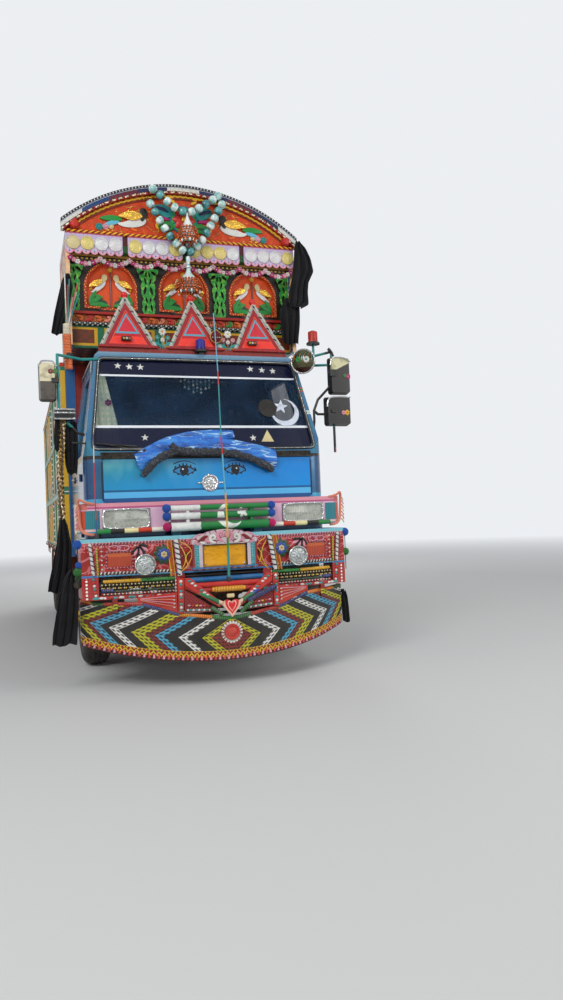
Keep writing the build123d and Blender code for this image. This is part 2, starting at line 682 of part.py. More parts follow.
# Roof triangles leaning back from the cab roof, each a plate with a raised rim
TRIANGLE_X = (-670, 0, 670)
TRIANGLE_W = 575
TRIANGLE_FOOT_Y = SCREEN_Y + 400
TRIANGLE_TOP_Y = SCREEN_Y + 590
TRIANGLE_TOP_Z = 3745
TRIANGLE_T = 24
TRIANGLE_RIM = 26
BALL_R = 34
with BuildPart() as triangles:
    lean = Plane(
        origin=(0, TRIANGLE_FOOT_Y, CAB_TOP), x_dir=(1, 0, 0),
        z_dir=(0, CAB_TOP - TRIANGLE_TOP_Z, TRIANGLE_TOP_Y - TRIANGLE_FOOT_Y),
    )
    rise = sqrt((TRIANGLE_TOP_Z - CAB_TOP) ** 2 + (TRIANGLE_TOP_Y - TRIANGLE_FOOT_Y) ** 2)
    for middle in TRIANGLE_X:
        with BuildSketch(lean) as plate:
            Polygon(
                (middle - TRIANGLE_W / 2, 22), (middle + TRIANGLE_W / 2, 22), (middle, rise), align=None,
            )
        extrude(amount=TRIANGLE_T / 2, both=True)
        with BuildSketch(lean.offset(TRIANGLE_T / 2)) as rim_sketch:
            Polygon(
                (middle - TRIANGLE_W / 2, 22), (middle + TRIANGLE_W / 2, 22), (middle, rise), align=None,
            )
            offset(amount=-TRIANGLE_RIM, kind=Kind.INTERSECTION, mode=Mode.SUBTRACT)
        extrude(amount=12)
        with Locations((middle, TRIANGLE_TOP_Y, TRIANGLE_TOP_Z)):
            Sphere(BALL_R)
    block(
        -TRIANGLE_X[2] - TRIANGLE_W / 2, TRIANGLE_X[2] + TRIANGLE_W / 2, TRIANGLE_FOOT_Y + 12,
        TRIANGLE_FOOT_Y + 60, CAB_TOP - 20, CAB_TOP + 45,
    )
    add(cab_outer, mode=Mode.SUBTRACT)
keep(triangles.part, "roof_triangles")


# Front end


def bow(half, end_y, nose_y, back_y):
    """A bowed front drawn in plan in the open sketch, closed by a straight back."""
    with BuildLine() as outline:
        ThreePointArc((-half, end_y), (0, nose_y), (half, end_y))
        Line((half, end_y), (half, back_y))
        Line((half, back_y), (-half, back_y))
        Line((-half, back_y), (-half, end_y))
    make_face(outline.line)


HEADLAMP = (629, 1035, 1420, 1582)
CORNER_LENS = (1065, 1300, 1420, 1582)
with BuildPart() as lamp_shell:
    with BuildSketch(at_z(LAMP_PANEL_BOTTOM)) as plan:
        with Locations((0, (LAMP_PANEL_NOSE + SCREEN_Y + 180) / 2)):
            Rectangle(2 * 1255, SCREEN_Y + 180 - LAMP_PANEL_NOSE)
        fillet(plan.vertices().group_by(Axis.Y)[0], radius=150)
    extrude(amount=LAMP_PANEL_TOP - LAMP_PANEL_BOTTOM)
    block(
        -1255 + LAMP_PANEL_WALL, 1255 - LAMP_PANEL_WALL, LAMP_PANEL_NOSE + LAMP_PANEL_WALL + 60,
        SCREEN_Y + 200, LAMP_PANEL_BOTTOM, LAMP_PANEL_TOP - 25, mode=Mode.SUBTRACT,
    )
    block(
        -CAB_HALF - 8, CAB_HALF + 8, SCREEN_Y - 15, SCREEN_Y + 200, LAMP_PANEL_BOTTOM, LAMP_PANEL_TOP,
        mode=Mode.SUBTRACT,
    )
with BuildPart() as lamp_panel:
    add(lamp_shell.part)
    for name, side in SIDES:
        block(
            side * HEADLAMP[0], side * HEADLAMP[1], LAMP_PANEL_NOSE - 10, LAMP_PANEL_NOSE + 40,
            HEADLAMP[2], HEADLAMP[3], mode=Mode.SUBTRACT,
        )
        block(
            side * CORNER_LENS[0], side * CORNER_LENS[1], LAMP_PANEL_NOSE - 10, LAMP_PANEL_NOSE + 175,
            CORNER_LENS[2], CORNER_LENS[3], mode=Mode.SUBTRACT,
        )
        block(
            side * (RAIL_X - RAIL_FLANGE), side * RAIL_X, RAIL_FRONT - 60, RAIL_FRONT,
            RAIL_TOP, LAMP_PANEL_TOP - 25,
        )
keep(lamp_panel.part, "lamp_panel")

FOG_X = 709
FOG_Z = 1096
FOG_R = 85
with BuildPart() as headlamps:
    for name, side in SIDES:
        block(
            side * (HEADLAMP[0] + 2), side * (HEADLAMP[1] - 2), LAMP_PANEL_NOSE - 8,
            LAMP_PANEL_NOSE + 40, HEADLAMP[2] + 2, HEADLAMP[3] - 2,
        )
        rod((side * FOG_X, BUMPER_NOSE + 4, FOG_Z), (side * FOG_X, BUMPER_NOSE + 80, FOG_Z), FOG_R)

TUBE_TABLE = ((1579, 25), (1506, 30), (1410, 40))
TUBE_HALF = 455
TUBE_Y = SCREEN_Y - 310
with BuildPart() as tubes:
    for tube_z, tube_r in TUBE_TABLE:
        rod((-TUBE_HALF, TUBE_Y, tube_z), (TUBE_HALF, TUBE_Y, tube_z), tube_r)
    for name, side in SIDES:
        block(side * 285, side * 315, TUBE_Y, LAMP_PANEL_NOSE, 1400, 1590)
        rod((side * 500, LAMP_PANEL_NOSE - 22, 1397), (side * 1100, LAMP_PANEL_NOSE - 22, 1397), 22)
keep(tubes.part, "front_tubes")

BUMPER_END = BUMPER_NOSE + BUMPER_SWEEP
BUMPER_BACK = SCREEN_Y + 150
SLOT = (450, 1100, 838, 1004)
AMBER = (823, 1014, 1090, 1205)
NOTCH_HALF = 365
NOTCH_TOP = 1002
with BuildPart() as bumper_form:
    with BuildSketch(at_z(BUMPER_BOTTOM)):
        bow(BUMPER_HALF, BUMPER_END, BUMPER_NOSE, BUMPER_BACK)
    extrude(amount=BUMPER_TOP - BUMPER_BOTTOM)
with BuildPart() as bumper_shell:
    add(bumper_form.part)
    with BuildSketch(at_z(BUMPER_BOTTOM)):
        bow(
            BUMPER_HALF - BUMPER_WALL, BUMPER_END + BUMPER_WALL, BUMPER_NOSE + BUMPER_WALL,
            BUMPER_BACK + 10,
        )
    extrude(amount=BUMPER_TOP - BUMPER_BOTTOM, mode=Mode.SUBTRACT)
with BuildPart() as bumper:
    add(bumper_shell.part)
    for name, side in SIDES:
        block(
            side * SLOT[0], side * SLOT[1], BUMPER_NOSE - 10, SCREEN_Y - 180, SLOT[2], SLOT[3],
            mode=Mode.SUBTRACT,
        )
        block(
            side * AMBER[0], side * AMBER[1], BUMPER_NOSE - 10, SCREEN_Y - 180, AMBER[2], AMBER[3],
            mode=Mode.SUBTRACT,
        )
        rod(
            (side * FOG_X, BUMPER_NOSE - 10, FOG_Z), (side * FOG_X, SCREEN_Y - 180, FOG_Z), FOG_R,
            mode=Mode.SUBTRACT,
        )
        block(
            side * (RAIL_X - RAIL_FLANGE), side * RAIL_X, BUMPER_NOSE + BUMPER_WALL, RAIL_FRONT,
            BUMPER_BOTTOM + 20, RAIL_TOP,
        )
    block(
        -NOTCH_HALF, NOTCH_HALF, BUMPER_NOSE - 10, SCREEN_Y - 180, BUMPER_BOTTOM - 1, NOTCH_TOP,
        mode=Mode.SUBTRACT,
    )
    for bar_z, bar_r in ((930, 24), (972, 10)):
        rod((-NOTCH_HALF - 20, BUMPER_NOSE + 40, bar_z), (NOTCH_HALF + 20, BUMPER_NOSE + 40, bar_z), bar_r)
keep(bumper.part, "bumper")

with BuildPart() as lamps:
    add(headlamps.part)
    for name, side in SIDES:
        with BuildPart(mode=Mode.PRIVATE) as lens:
            add(lamp_shell.part)
            block(
                side * CORNER_LENS[0], side * CORNER_LENS[1], LAMP_PANEL_NOSE - 10,
                LAMP_PANEL_NOSE + 175, CORNER_LENS[2], CORNER_LENS[3], mode=Mode.INTERSECT,
            )
        add(lens.part)
        with BuildPart(mode=Mode.PRIVATE) as lens:
            add(bumper_shell.part)
            block(
                side * AMBER[0], side * AMBER[1], BUMPER_NOSE - 10, SCREEN_Y - 180, AMBER[2], AMBER[3],
                mode=Mode.INTERSECT,
            )
        add(lens.part)
keep(lamps.part, "lamps")

PLATE = (205, 1038, 1241)
with BuildPart() as plate_frame:
    with BuildSketch(at_y(BUMPER_NOSE + 10)):
        with BuildLine():
            Line((-300, 1028), (300, 1028))
            Line((300, 1028), (300, 1285))
            ThreePointArc((300, 1285), (0, 1375), (-300, 1285))
            Line((-300, 1285), (-300, 1028))
        make_face()
    extrude(amount=46)
    block(
        -PLATE[0], PLATE[0], BUMPER_NOSE - 50, BUMPER_NOSE - 10, PLATE[1], PLATE[2], mode=Mode.SUBTRACT,
    )
    add(bumper_form.part, mode=Mode.SUBTRACT)
    block(-300, 300, BUMPER_NOSE, BUMPER_NOSE + 20, BUMPER_TOP, 1400, mode=Mode.SUBTRACT)
keep(plate_frame.part, "plate_frame")

HEART_Z = 690
HEART_T = 32
with BuildPart() as v_bars:
    rod((-430, SCREEN_Y - 500, 893), (430, SCREEN_Y - 500, 893), 22)
    rod((-300, SCREEN_Y - 500, 848), (300, SCREEN_Y - 500, 848), 20)
    for name, side in SIDES:
        rod((side * 380, SCREEN_Y - 500, 893), (side * 380, BUMPER_NOSE + 30, 893), 18)
        rod((side * 400, SCREEN_Y - 500, 893), (side * 20, NOSE_Y + HEART_T, 700), 18)
    with BuildSketch(at_y(NOSE_Y + HEART_T)):
        with BuildLine():
            Line((0, HEART_Z - 85), (78, HEART_Z + 18))
            ThreePointArc((78, HEART_Z + 18), (52, HEART_Z + 66), (0, HEART_Z + 40))
            ThreePointArc((0, HEART_Z + 40), (-52, HEART_Z + 66), (-78, HEART_Z + 18))
            Line((-78, HEART_Z + 18), (0, HEART_Z - 85))
        make_face()
    extrude(amount=HEART_T)
    add(bumper_form.part, mode=Mode.SUBTRACT)
keep(v_bars.part, "v_bars")

SKIRT_NOSE = SCREEN_Y - 566
SKIRT_END = SKIRT_NOSE + SKIRT_SWEEP
with BuildPart() as skirt:
    with BuildSketch(at_z(SKIRT_MID_Z - 10)):
        bow(HALF_BODY, SKIRT_END, SKIRT_NOSE, SKIRT_END + 60)
        with BuildSketch(mode=Mode.PRIVATE) as hollow:
            bow(
                HALF_BODY - SKIRT_WALL, SKIRT_END + SKIRT_WALL, SKIRT_NOSE + SKIRT_WALL,
                SKIRT_END + 70,
            )
        add(hollow.sketch, mode=Mode.SUBTRACT)
    extrude(amount=700)
    with BuildSketch(at_y(SCREEN_Y)):
        with BuildLine():
            Polyline(
                (-HALF_BODY - 1, 780), (-746, 758), (-456, 660), (-183, 600), (183, 600), (456, 660),
                (746, 758), (HALF_BODY + 1, 780), (HALF_BODY + 1, SKIRT_END_Z),
            )
            ThreePointArc((HALF_BODY + 1, SKIRT_END_Z), (0, SKIRT_MID_Z), (-HALF_BODY - 1, SKIRT_END_Z))
            Line((-HALF_BODY - 1, SKIRT_END_Z), (-HALF_BODY - 1, 780))
        make_face()
    extrude(amount=700, mode=Mode.INTERSECT)
    for name, side in SIDES:
        block(
            side * (HALF_BODY - 300), side * (HALF_BODY - 260), SCREEN_Y - 330, SCREEN_Y - 270, 690,
            BUMPER_BOTTOM,
        )
keep(skirt.part, "skirt")

# Cargo body
FLOOR_Z = FLOOR_TOP - FLOOR_BOARD
BEARER_H = 110
BEARERS = 10
BEARER_FIRST = FRONT_WALL_Y + 100
BEARER_STEP = (TAIL_Y - FRONT_WALL_Y - 200) / (BEARERS - 1)
SILL_TOP = FLOOR_Z - BEARER_H
with BuildPart() as floor:
    block(-HALF_BODY + WALL, HALF_BODY - WALL, FRONT_WALL_Y, TAIL_Y - WALL, FLOOR_Z, FLOOR_TOP)
    for name, side in SIDES:
        block(
            side * (RAIL_X - RAIL_FLANGE), side * RAIL_X, FRONT_WALL_Y, RAIL_REAR, RAIL_TOP, SILL_TOP,
        )
    for bearer in range(BEARERS):
        bearer_y = BEARER_FIRST + bearer * BEARER_STEP
        block(-HALF_BODY + WALL, HALF_BODY - WALL, bearer_y - 40, bearer_y + 40, SILL_TOP, FLOOR_Z)
keep(floor.part, "body_floor")

with BuildPart() as front_wall:
    block(
        -HALF_BODY + WALL, HALF_BODY - WALL, FRONT_WALL_Y - WALL, FRONT_WALL_Y, SILL_TOP, PEDIMENT_FOOT,
    )
keep(front_wall.part, "body_front_wall")

PANEL_COLS = 8
PANEL_ROWS = 3
PANEL_DEEP = 14
STILE = 90
SIDE_LONG = TAIL_Y - FRONT_WALL_Y + WALL
SIDE_TALL = WALL_TOP - SILL_TOP
with BuildPart() as side_walls:
    for name, side in SIDES:
        block(
            side * (HALF_BODY - WALL), side * HALF_BODY, FRONT_WALL_Y - WALL, TAIL_Y, SILL_TOP, WALL_TOP,
        )
        with BuildSketch(at_x(side * HALF_BODY)):
            with Locations((TAIL_Y - SIDE_LONG / 2, SILL_TOP + SIDE_TALL / 2)):
                with GridLocations(
                    (SIDE_LONG - STILE) / PANEL_COLS, (SIDE_TALL - STILE) / PANEL_ROWS, PANEL_COLS, PANEL_ROWS,
                ):
                    Rectangle(
                        (SIDE_LONG - STILE) / PANEL_COLS - STILE, (SIDE_TALL - STILE) / PANEL_ROWS - STILE,
                    )
        extrude(amount=-side * PANEL_DEEP, mode=Mode.SUBTRACT)
keep(side_walls.part, "body_sides")

POST = 110
HEADER = 130
with BuildPart() as rear_frame:
    for name, side in SIDES:
        block(
            side * (HALF_BODY - WALL - POST), side * (HALF_BODY - WALL), TAIL_Y - WALL, TAIL_Y,
            SILL_TOP, WALL_TOP,
        )
    block(
        -HALF_BODY + WALL + POST, HALF_BODY - WALL - POST, TAIL_Y - WALL, TAIL_Y, WALL_TOP - HEADER, WALL_TOP,
    )
    block(
        -HALF_BODY + WALL + POST, HALF_BODY - WALL - POST, TAIL_Y - WALL, TAIL_Y, SILL_TOP, FLOOR_TOP,
    )
keep(rear_frame.part, "rear_frame")

GATE_HALF = HALF_BODY - WALL - POST - PANEL_GAP
GATE_FOOT = FLOOR_TOP + PANEL_GAP
with BuildPart() as tailgate:
    block(-GATE_HALF, GATE_HALF, TAIL_Y - WALL, TAIL_Y, GATE_FOOT, TAILGATE_TOP)
    for hinge_x in (-0.8 * GATE_HALF, 0, 0.8 * GATE_HALF):
        rod(
            (hinge_x - 60, TAIL_Y + HINGE_OUT, GATE_FOOT), (hinge_x + 60, TAIL_Y + HINGE_OUT, GATE_FOOT),
            HINGE_R,
        )
        block(hinge_x - 60, hinge_x + 60, TAIL_Y - 2, TAIL_Y + HINGE_OUT, GATE_FOOT + 1, GATE_FOOT + 90)
    for column in (-1, 0, 1):
        middle = column * 2 * GATE_HALF / 3
        block(
            middle - GATE_HALF / 3 + STILE / 2, middle + GATE_HALF / 3 - STILE / 2, TAIL_Y - PANEL_DEEP,
            TAIL_Y + 1, GATE_FOOT + STILE, TAILGATE_TOP - STILE, mode=Mode.SUBTRACT,
        )
keep(tailgate.part, "tailgate")
LEAF_GAP = 8
for name, side in SIDES:
    with BuildPart() as rear_door:
        block(
            side * LEAF_GAP / 2, side * GATE_HALF, TAIL_Y - WALL, TAIL_Y, TAILGATE_TOP + PANEL_GAP,
            WALL_TOP - HEADER - PANEL_GAP,
        )
        block(
            side * (LEAF_GAP / 2 + STILE), side * (GATE_HALF - STILE), TAIL_Y - PANEL_DEEP, TAIL_Y + 1,
            TAILGATE_TOP + PANEL_GAP + STILE, WALL_TOP - HEADER - PANEL_GAP - STILE, mode=Mode.SUBTRACT,
        )
        for hinge_z in (TAILGATE_TOP + 200, WALL_TOP - HEADER - 200):
            rod(
                (side * GATE_HALF, TAIL_Y + HINGE_OUT, hinge_z - 60),
                (side * GATE_HALF, TAIL_Y + HINGE_OUT, hinge_z + 60), HINGE_R,
            )
            block(
                side * (GATE_HALF - 80), side * (GATE_HALF - 1), TAIL_Y - 2, TAIL_Y + HINGE_OUT,
                hinge_z - 60, hinge_z + 60,
            )
    keep(rear_door.part, f"rear_door_{name}")

GUARD_R = TYRE_R + 55
GUARD_BEARER = int((REAR_AXLE_Y - BEARER_FIRST) / BEARER_STEP)
GUARD_RUNNER = 30
GUARD_STAY = 150
with BuildPart() as rear_mudguards:
    for name, side in SIDES:
        with BuildSketch(at_x(side * (REAR_TRACK / 2 - 305))):
            with Locations((REAR_AXLE_Y, AXLE_Z)):
                Circle(GUARD_R + 8)
                Circle(GUARD_R, mode=Mode.SUBTRACT)
            with Locations((REAR_AXLE_Y, AXLE_Z - 300)):
                Rectangle(1400, 1000, mode=Mode.SUBTRACT)
        extrude(amount=side * 610)
        block(
            side * 860, side * 920, BEARER_FIRST + GUARD_BEARER * BEARER_STEP - 25,
            BEARER_FIRST + (GUARD_BEARER + 1) * BEARER_STEP + 25, SILL_TOP - GUARD_RUNNER, SILL_TOP,
        )
        for stay in (-GUARD_STAY, GUARD_STAY):
            block(
                side * 860, side * 920, REAR_AXLE_Y + stay - 25, REAR_AXLE_Y + stay + 25,
                AXLE_Z + GUARD_R - 80, SILL_TOP,
            )
        rod(
            (side * 600, REAR_AXLE_Y, AXLE_Z), (side * 1240, REAR_AXLE_Y, AXLE_Z), GUARD_R,
            mode=Mode.SUBTRACT,
        )
        flap_y = REAR_AXLE_Y + GUARD_R - 40
        block(side * 640, side * 1220, flap_y, flap_y + 8, 260, 790)
keep(rear_mudguards.part, "rear_mudguards")

with BuildPart() as rear_bumper:
    block(-1190, 1190, TAIL_Y - 140, TAIL_Y - 60, 500, 640)
    for name, side in SIDES:
        block(side * 345, side * RAIL_X, TAIL_Y - 140, TAIL_Y - 80, 640, RAIL_TOP - RAIL_H)
keep(rear_bumper.part, "rear_bumper")

# Crown over the cab: side boards and a deck carry a recessed carved face, while the
# pediment, its arched rim and the scalloped valances stand forward of it
FACE_Y = CROWN_Y + CROWN_RECESS
FACE_HALF = CROWN_HALF - CROWN_BOARD
ARCH_RISE = ARCH_TOP - ARCH_END
ARCH_R = (ARCH_HALF**2 + ARCH_RISE**2) / (2 * ARCH_RISE)
ARCH_CENTRE = ARCH_TOP - ARCH_R
BAYS = (-1, 0, 1)
LEDGES = (COLUMN_FOOT, COLUMN_FOOT - 112)
LEDGE_H = 26


def niche(width, foot, top):
    """A round-headed opening in the open sketch, standing on its foot line."""
    with Locations((0, (foot + top - width / 2) / 2)):
        Rectangle(width, top - width / 2 - foot)
    with Locations((0, top - width / 2)):
        Circle(width / 2)


with BuildPart() as niche_frames:
    for bay in BAYS:
        with BuildSketch(at_y(FACE_Y) * Location((bay * BAY, 0, 0))) as frame:
            niche(NICHE_W + 2 * FRAME_W, NICHE_FOOT - FRAME_W, NICHE_TOP + FRAME_W)
            with BuildSketch(mode=Mode.PRIVATE) as hollow:
                niche(NICHE_W, NICHE_FOOT, NICHE_TOP)
            add(hollow.sketch, mode=Mode.SUBTRACT)
        extrude(amount=16)

with BuildPart() as crown_front:
    block(-FACE_HALF, FACE_HALF, FACE_Y, FACE_Y + CROWN_BOARD, CROWN_BOTTOM, PEDIMENT_FOOT)
    for ledge in LEDGES:
        block(-FACE_HALF, FACE_HALF, FACE_Y - 34, FACE_Y, ledge - LEDGE_H, ledge)
    for bay in BAYS:
        with BuildSketch(at_y(FACE_Y) * Location((bay * BAY, 0, 0))):
            niche(NICHE_W, NICHE_FOOT, NICHE_TOP)
        extrude(amount=-0.6 * CROWN_BOARD, mode=Mode.SUBTRACT)
    add(niche_frames.part)
keep(crown_front.part, "crown_front")

# Pierced columns: outline as half widths down from the cap, and leaf shaped piercings as
# (drop, offset from the middle, length, width, lean in degrees), each cut left and right
COLUMN_T = 30
COLUMN_OUTLINE = ((0, 108), (62, 88), (138, 56), (225, 68), (315, 46), (400, 60), (475, 50))
LOBE = 13
PIERCINGS = (
    (44, 62, 74, 34, 52), (60, 17, 66, 20, 8), (132, 26, 84, 22, -14), (232, 34, 96, 30, 12),
    (330, 20, 76, 20, -12), (412, 31, 84, 26, 10),
)


def leaf(x, z, length, width, tilt):
    """A pointed leaf cut from the open sketch."""
    with BuildSketch(mode=Mode.PRIVATE) as shape:
        with BuildLine():
            ThreePointArc((0, -length / 2), (width / 2, 0), (0, length / 2))
            ThreePointArc((0, length / 2), (-width / 2, 0), (0, -length / 2))
        make_face()
    add(shape.sketch.moved(Location((x, z, 0), (0, 0, tilt))), mode=Mode.SUBTRACT)


with BuildPart() as columns:
    for place in (-1.5, -0.5, 0.5, 1.5):
        middle = place * BAY
        with BuildSketch(at_y(FACE_Y)) as column:
            with BuildLine():
                for hand in (-1, 1):
                    for (drop, half), (next_drop, next_half) in zip(COLUMN_OUTLINE, COLUMN_OUTLINE[1:]):
                        ThreePointArc(
                            (middle + hand * half, COLUMN_TOP - drop),
                            (middle + hand * ((half + next_half) / 2 + LOBE), COLUMN_TOP - (drop + next_drop) / 2),
                            (middle + hand * next_half, COLUMN_TOP - next_drop),
                        )
                first, last = COLUMN_OUTLINE[0], COLUMN_OUTLINE[-1]
                Line((middle - first[1], COLUMN_TOP), (middle + first[1], COLUMN_TOP))
                Line((middle - last[1], COLUMN_TOP - last[0]), (middle + last[1], COLUMN_TOP - last[0]))
            make_face()
            for drop, aside, length, width, tilt in PIERCINGS:
                for hand in (-1, 1):
                    leaf(middle + hand * aside, COLUMN_TOP - drop, length, width, hand * tilt)
        extrude(amount=COLUMN_T)
    block(
        -FACE_HALF, FACE_HALF, FACE_Y - COLUMN_T, FACE_Y, COLUMN_FOOT, COLUMN_TOP + 30, mode=Mode.INTERSECT,
    )
    add(crown_front.part, mode=Mode.SUBTRACT)
keep(columns.part, "crown_columns")

# Cornice: the soffit that ties the pediment to the recessed face
with BuildPart() as cornice:
    with BuildSketch(at_x(-FACE_HALF)):
        Polygon(
            (CROWN_Y + 14, PEDIMENT_FOOT), (CROWN_Y + 14, PEDIMENT_FOOT - 170),
            (CROWN_Y + 62, PEDIMENT_FOOT - 212), (CROWN_Y + 62, PEDIMENT_FOOT - 258),
            (FACE_Y, PEDIMENT_FOOT - 258), (FACE_Y, PEDIMENT_FOOT), align=None,
        )
    extrude(amount=2 * FACE_HALF)
    add(crown_front.part, mode=Mode.SUBTRACT)
keep(cornice.part, "cornice")

VALANCE_W = (2 * CROWN_HALF - 3 * VALANCE_GAP) / 4
SCALLOP_R = VALANCE_W / SCALLOPS / 2
VALANCE_T = 18
with BuildPart() as valances:
    for place in (-1.5, -0.5, 0.5, 1.5):
        middle = place * (VALANCE_W + VALANCE_GAP)
        with BuildSketch(at_y(CROWN_Y + 14)) as board:
            straight = PEDIMENT_FOOT - VALANCE_DEPTH + SCALLOP_R
            with Locations((middle, (PEDIMENT_FOOT + straight - 8) / 2)):
                Rectangle(VALANCE_W, PEDIMENT_FOOT - straight + 8)
            with Locations((middle, straight)):
                with GridLocations(2 * SCALLOP_R, 0, SCALLOPS, 1):
                    Circle(SCALLOP_R)
        extrude(amount=VALANCE_T)
keep(valances.part, "valances")

MEDALLION_R = 150
ROPE_R = 16
with BuildPart() as pediment:
    with BuildSketch(at_y(CROWN_Y + CROWN_BOARD + 10)) as field:
        with Locations((0, ARCH_CENTRE)):
            Circle(ARCH_R - RIM_DEPTH)
        with Locations((0, PEDIMENT_FOOT + ARCH_R)):
            Rectangle(2 * CROWN_HALF, 2 * ARCH_R, mode=Mode.INTERSECT)
    extrude(amount=CROWN_BOARD)
    with BuildSketch(at_y(CROWN_Y + 10)):
        with Locations((0, PEDIMENT_FOOT + 220)):
            Circle(MEDALLION_R)
    extrude(amount=14)
    rod(
        (20 - CROWN_HALF, CROWN_Y + 2, PEDIMENT_FOOT + ROPE_R),
        (CROWN_HALF - 20, CROWN_Y + 2, PEDIMENT_FOOT + ROPE_R), ROPE_R,
    )
keep(pediment.part, "pediment")

with BuildPart() as arch_rim:
    with BuildSketch(at_y(CROWN_Y + CROWN_BOARD + 15)) as band:
        with Locations((0, ARCH_CENTRE)):
            Circle(ARCH_R)
            Circle(ARCH_R - RIM_DEPTH, mode=Mode.SUBTRACT)
        with Locations((0, PEDIMENT_FOOT + 20 + ARCH_R)):
            Rectangle(2 * ARCH_HALF, 2 * ARCH_R, mode=Mode.INTERSECT)
    extrude(amount=CROWN_BOARD + 15 + RIM_OUT)
keep(arch_rim.part, "arch_rim")

BRACE_R = 16
with BuildPart() as crown_box:
    for name, side in SIDES:
        block(
            side * FACE_HALF, side * CROWN_HALF, CROWN_Y + 14, FRONT_WALL_Y - WALL, CROWN_BOTTOM,
            PEDIMENT_FOOT,
        )
        rod(
            (side * 520, CROWN_Y + CROWN_BOARD + 25, ARCH_TOP - 330),
            (side * (FACE_HALF + 10), CROWN_Y + 760, PEDIMENT_FOOT - 40), BRACE_R,
        )
    block(
        -FACE_HALF, FACE_HALF, FACE_Y + CROWN_BOARD, FRONT_WALL_Y - WALL, CROWN_BOTTOM,
        CROWN_BOTTOM + CROWN_BOARD,
    )
    add(pediment.part, mode=Mode.SUBTRACT)
    add(arch_rim.part, mode=Mode.SUBTRACT)
keep(crown_box.part, "crown_box")

# Soft goods, clear of what is round them: black cloths as outlines (plane y, thickness,
# points), and the rolled sheet over the front panel
CLOTH_TABLE = (
    (
        CROWN_Y - 52, 14,
        (
            (1262, 4440), (1330, 4400), (1400, 4250), (1418, 4150), (1350, 4010), (1358, 3800),
            (1262, 3740), (1235, 3350), (1120, 3320), (1020, 3360), (1020, 3560), (1070, 3720),
            (1160, 3960), (1200, 4180),
        ),
    ),
    (
        MIRROR_Y + 72, 12,
        ((-1215, 2350), (-1240, 2395), (-1330, 2395), (-1400, 2100), (-1310, 1960), (-1215, 1930)),
    ),
)
with BuildPart() as cloths:
    for cloth_y, thick, points in CLOTH_TABLE:
        with BuildSketch(at_y(cloth_y + thick)):
            Polygon(*points, align=None)
        extrude(amount=thick)
keep(cloths.part, "black_cloths")

TARP_OUTLINE = (
    (-722, 2100), (-669, 1877), (-560, 1985), (-360, 2060), (85, 2060), (440, 2030), (655, 1925),
    (672, 2123), (470, 2205), (280, 2298), (238, 2335), (-13, 2324), (-226, 2300), (-402, 2253),
    (-576, 2192),
)
with BuildPart() as tarp:
    with BuildSketch(at_y(SCREEN_Y + 200)):
        Polygon(*TARP_OUTLINE, align=None)
    extrude(amount=400)
    with BuildSketch(at_x(-900)):
        Polygon(
            (SCREEN_Y - 56, 1850), (SCREEN_Y - 56, 2060), (SCREEN_Y - 28, 2140), (SCREEN_Y + 34, 2345),
            (SCREEN_Y - 4, 2357), (SCREEN_Y - 66, 2150), (SCREEN_Y - 96, 2062), (SCREEN_Y - 94, 1850),
            align=None,
        )
    extrude(amount=1800, mode=Mode.INTERSECT)
keep(tarp.part, "blue_sheet")

os.makedirs("parts", exist_ok=True)
for name, shape in parts.items():
    export_step(shape, f"parts/{name}.step")
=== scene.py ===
import json
import math
from functools import partialmethod

import bpy
from mathutils import Matrix, Vector

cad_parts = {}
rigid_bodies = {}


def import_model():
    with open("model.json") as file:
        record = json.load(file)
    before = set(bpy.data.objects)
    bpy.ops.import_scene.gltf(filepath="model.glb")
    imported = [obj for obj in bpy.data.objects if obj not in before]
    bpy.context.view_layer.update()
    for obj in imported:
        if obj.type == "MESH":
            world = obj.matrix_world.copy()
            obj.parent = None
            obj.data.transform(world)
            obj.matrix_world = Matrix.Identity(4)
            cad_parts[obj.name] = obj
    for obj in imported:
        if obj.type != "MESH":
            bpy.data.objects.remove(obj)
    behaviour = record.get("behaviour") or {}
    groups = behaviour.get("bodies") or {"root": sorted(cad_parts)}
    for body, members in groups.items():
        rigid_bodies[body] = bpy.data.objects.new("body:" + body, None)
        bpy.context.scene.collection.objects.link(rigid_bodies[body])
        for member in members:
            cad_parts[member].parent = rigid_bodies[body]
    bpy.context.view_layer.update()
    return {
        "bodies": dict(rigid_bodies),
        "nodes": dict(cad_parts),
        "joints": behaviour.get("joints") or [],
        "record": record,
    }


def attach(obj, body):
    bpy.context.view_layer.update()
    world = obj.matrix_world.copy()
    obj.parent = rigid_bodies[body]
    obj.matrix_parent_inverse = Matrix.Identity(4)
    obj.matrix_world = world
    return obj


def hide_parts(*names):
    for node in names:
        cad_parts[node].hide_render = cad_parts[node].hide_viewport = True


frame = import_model()
NODES = frame["nodes"]

# Places that repeat the CAD source, in metres: nose along -Y, +X the truck's left
FACE_Y = -2.83
ARCH_TOP = 4.98
ARCH_R = 1.938
ARCH_CENTRE = ARCH_TOP - ARCH_R
RIM_FRONT = -3.0
PEDIMENT_FRONT = -2.955
BAY = 0.766
BUMPER_NOSE = -4.1
BUMPER_SWEEP = 0.15
BUMPER_HALF = 1.24
SKIRT_NOSE = -4.266
SKIRT_SWEEP = 0.46
HALF_BODY = 1.25
FRONT_AXLE = -2.48
REAR_AXLE = 2.52
AXLE_Z = 0.52
SIDES = (-1, 1)


# Shader sums: a Value wraps one socket of a node tree so that patterns read as sums


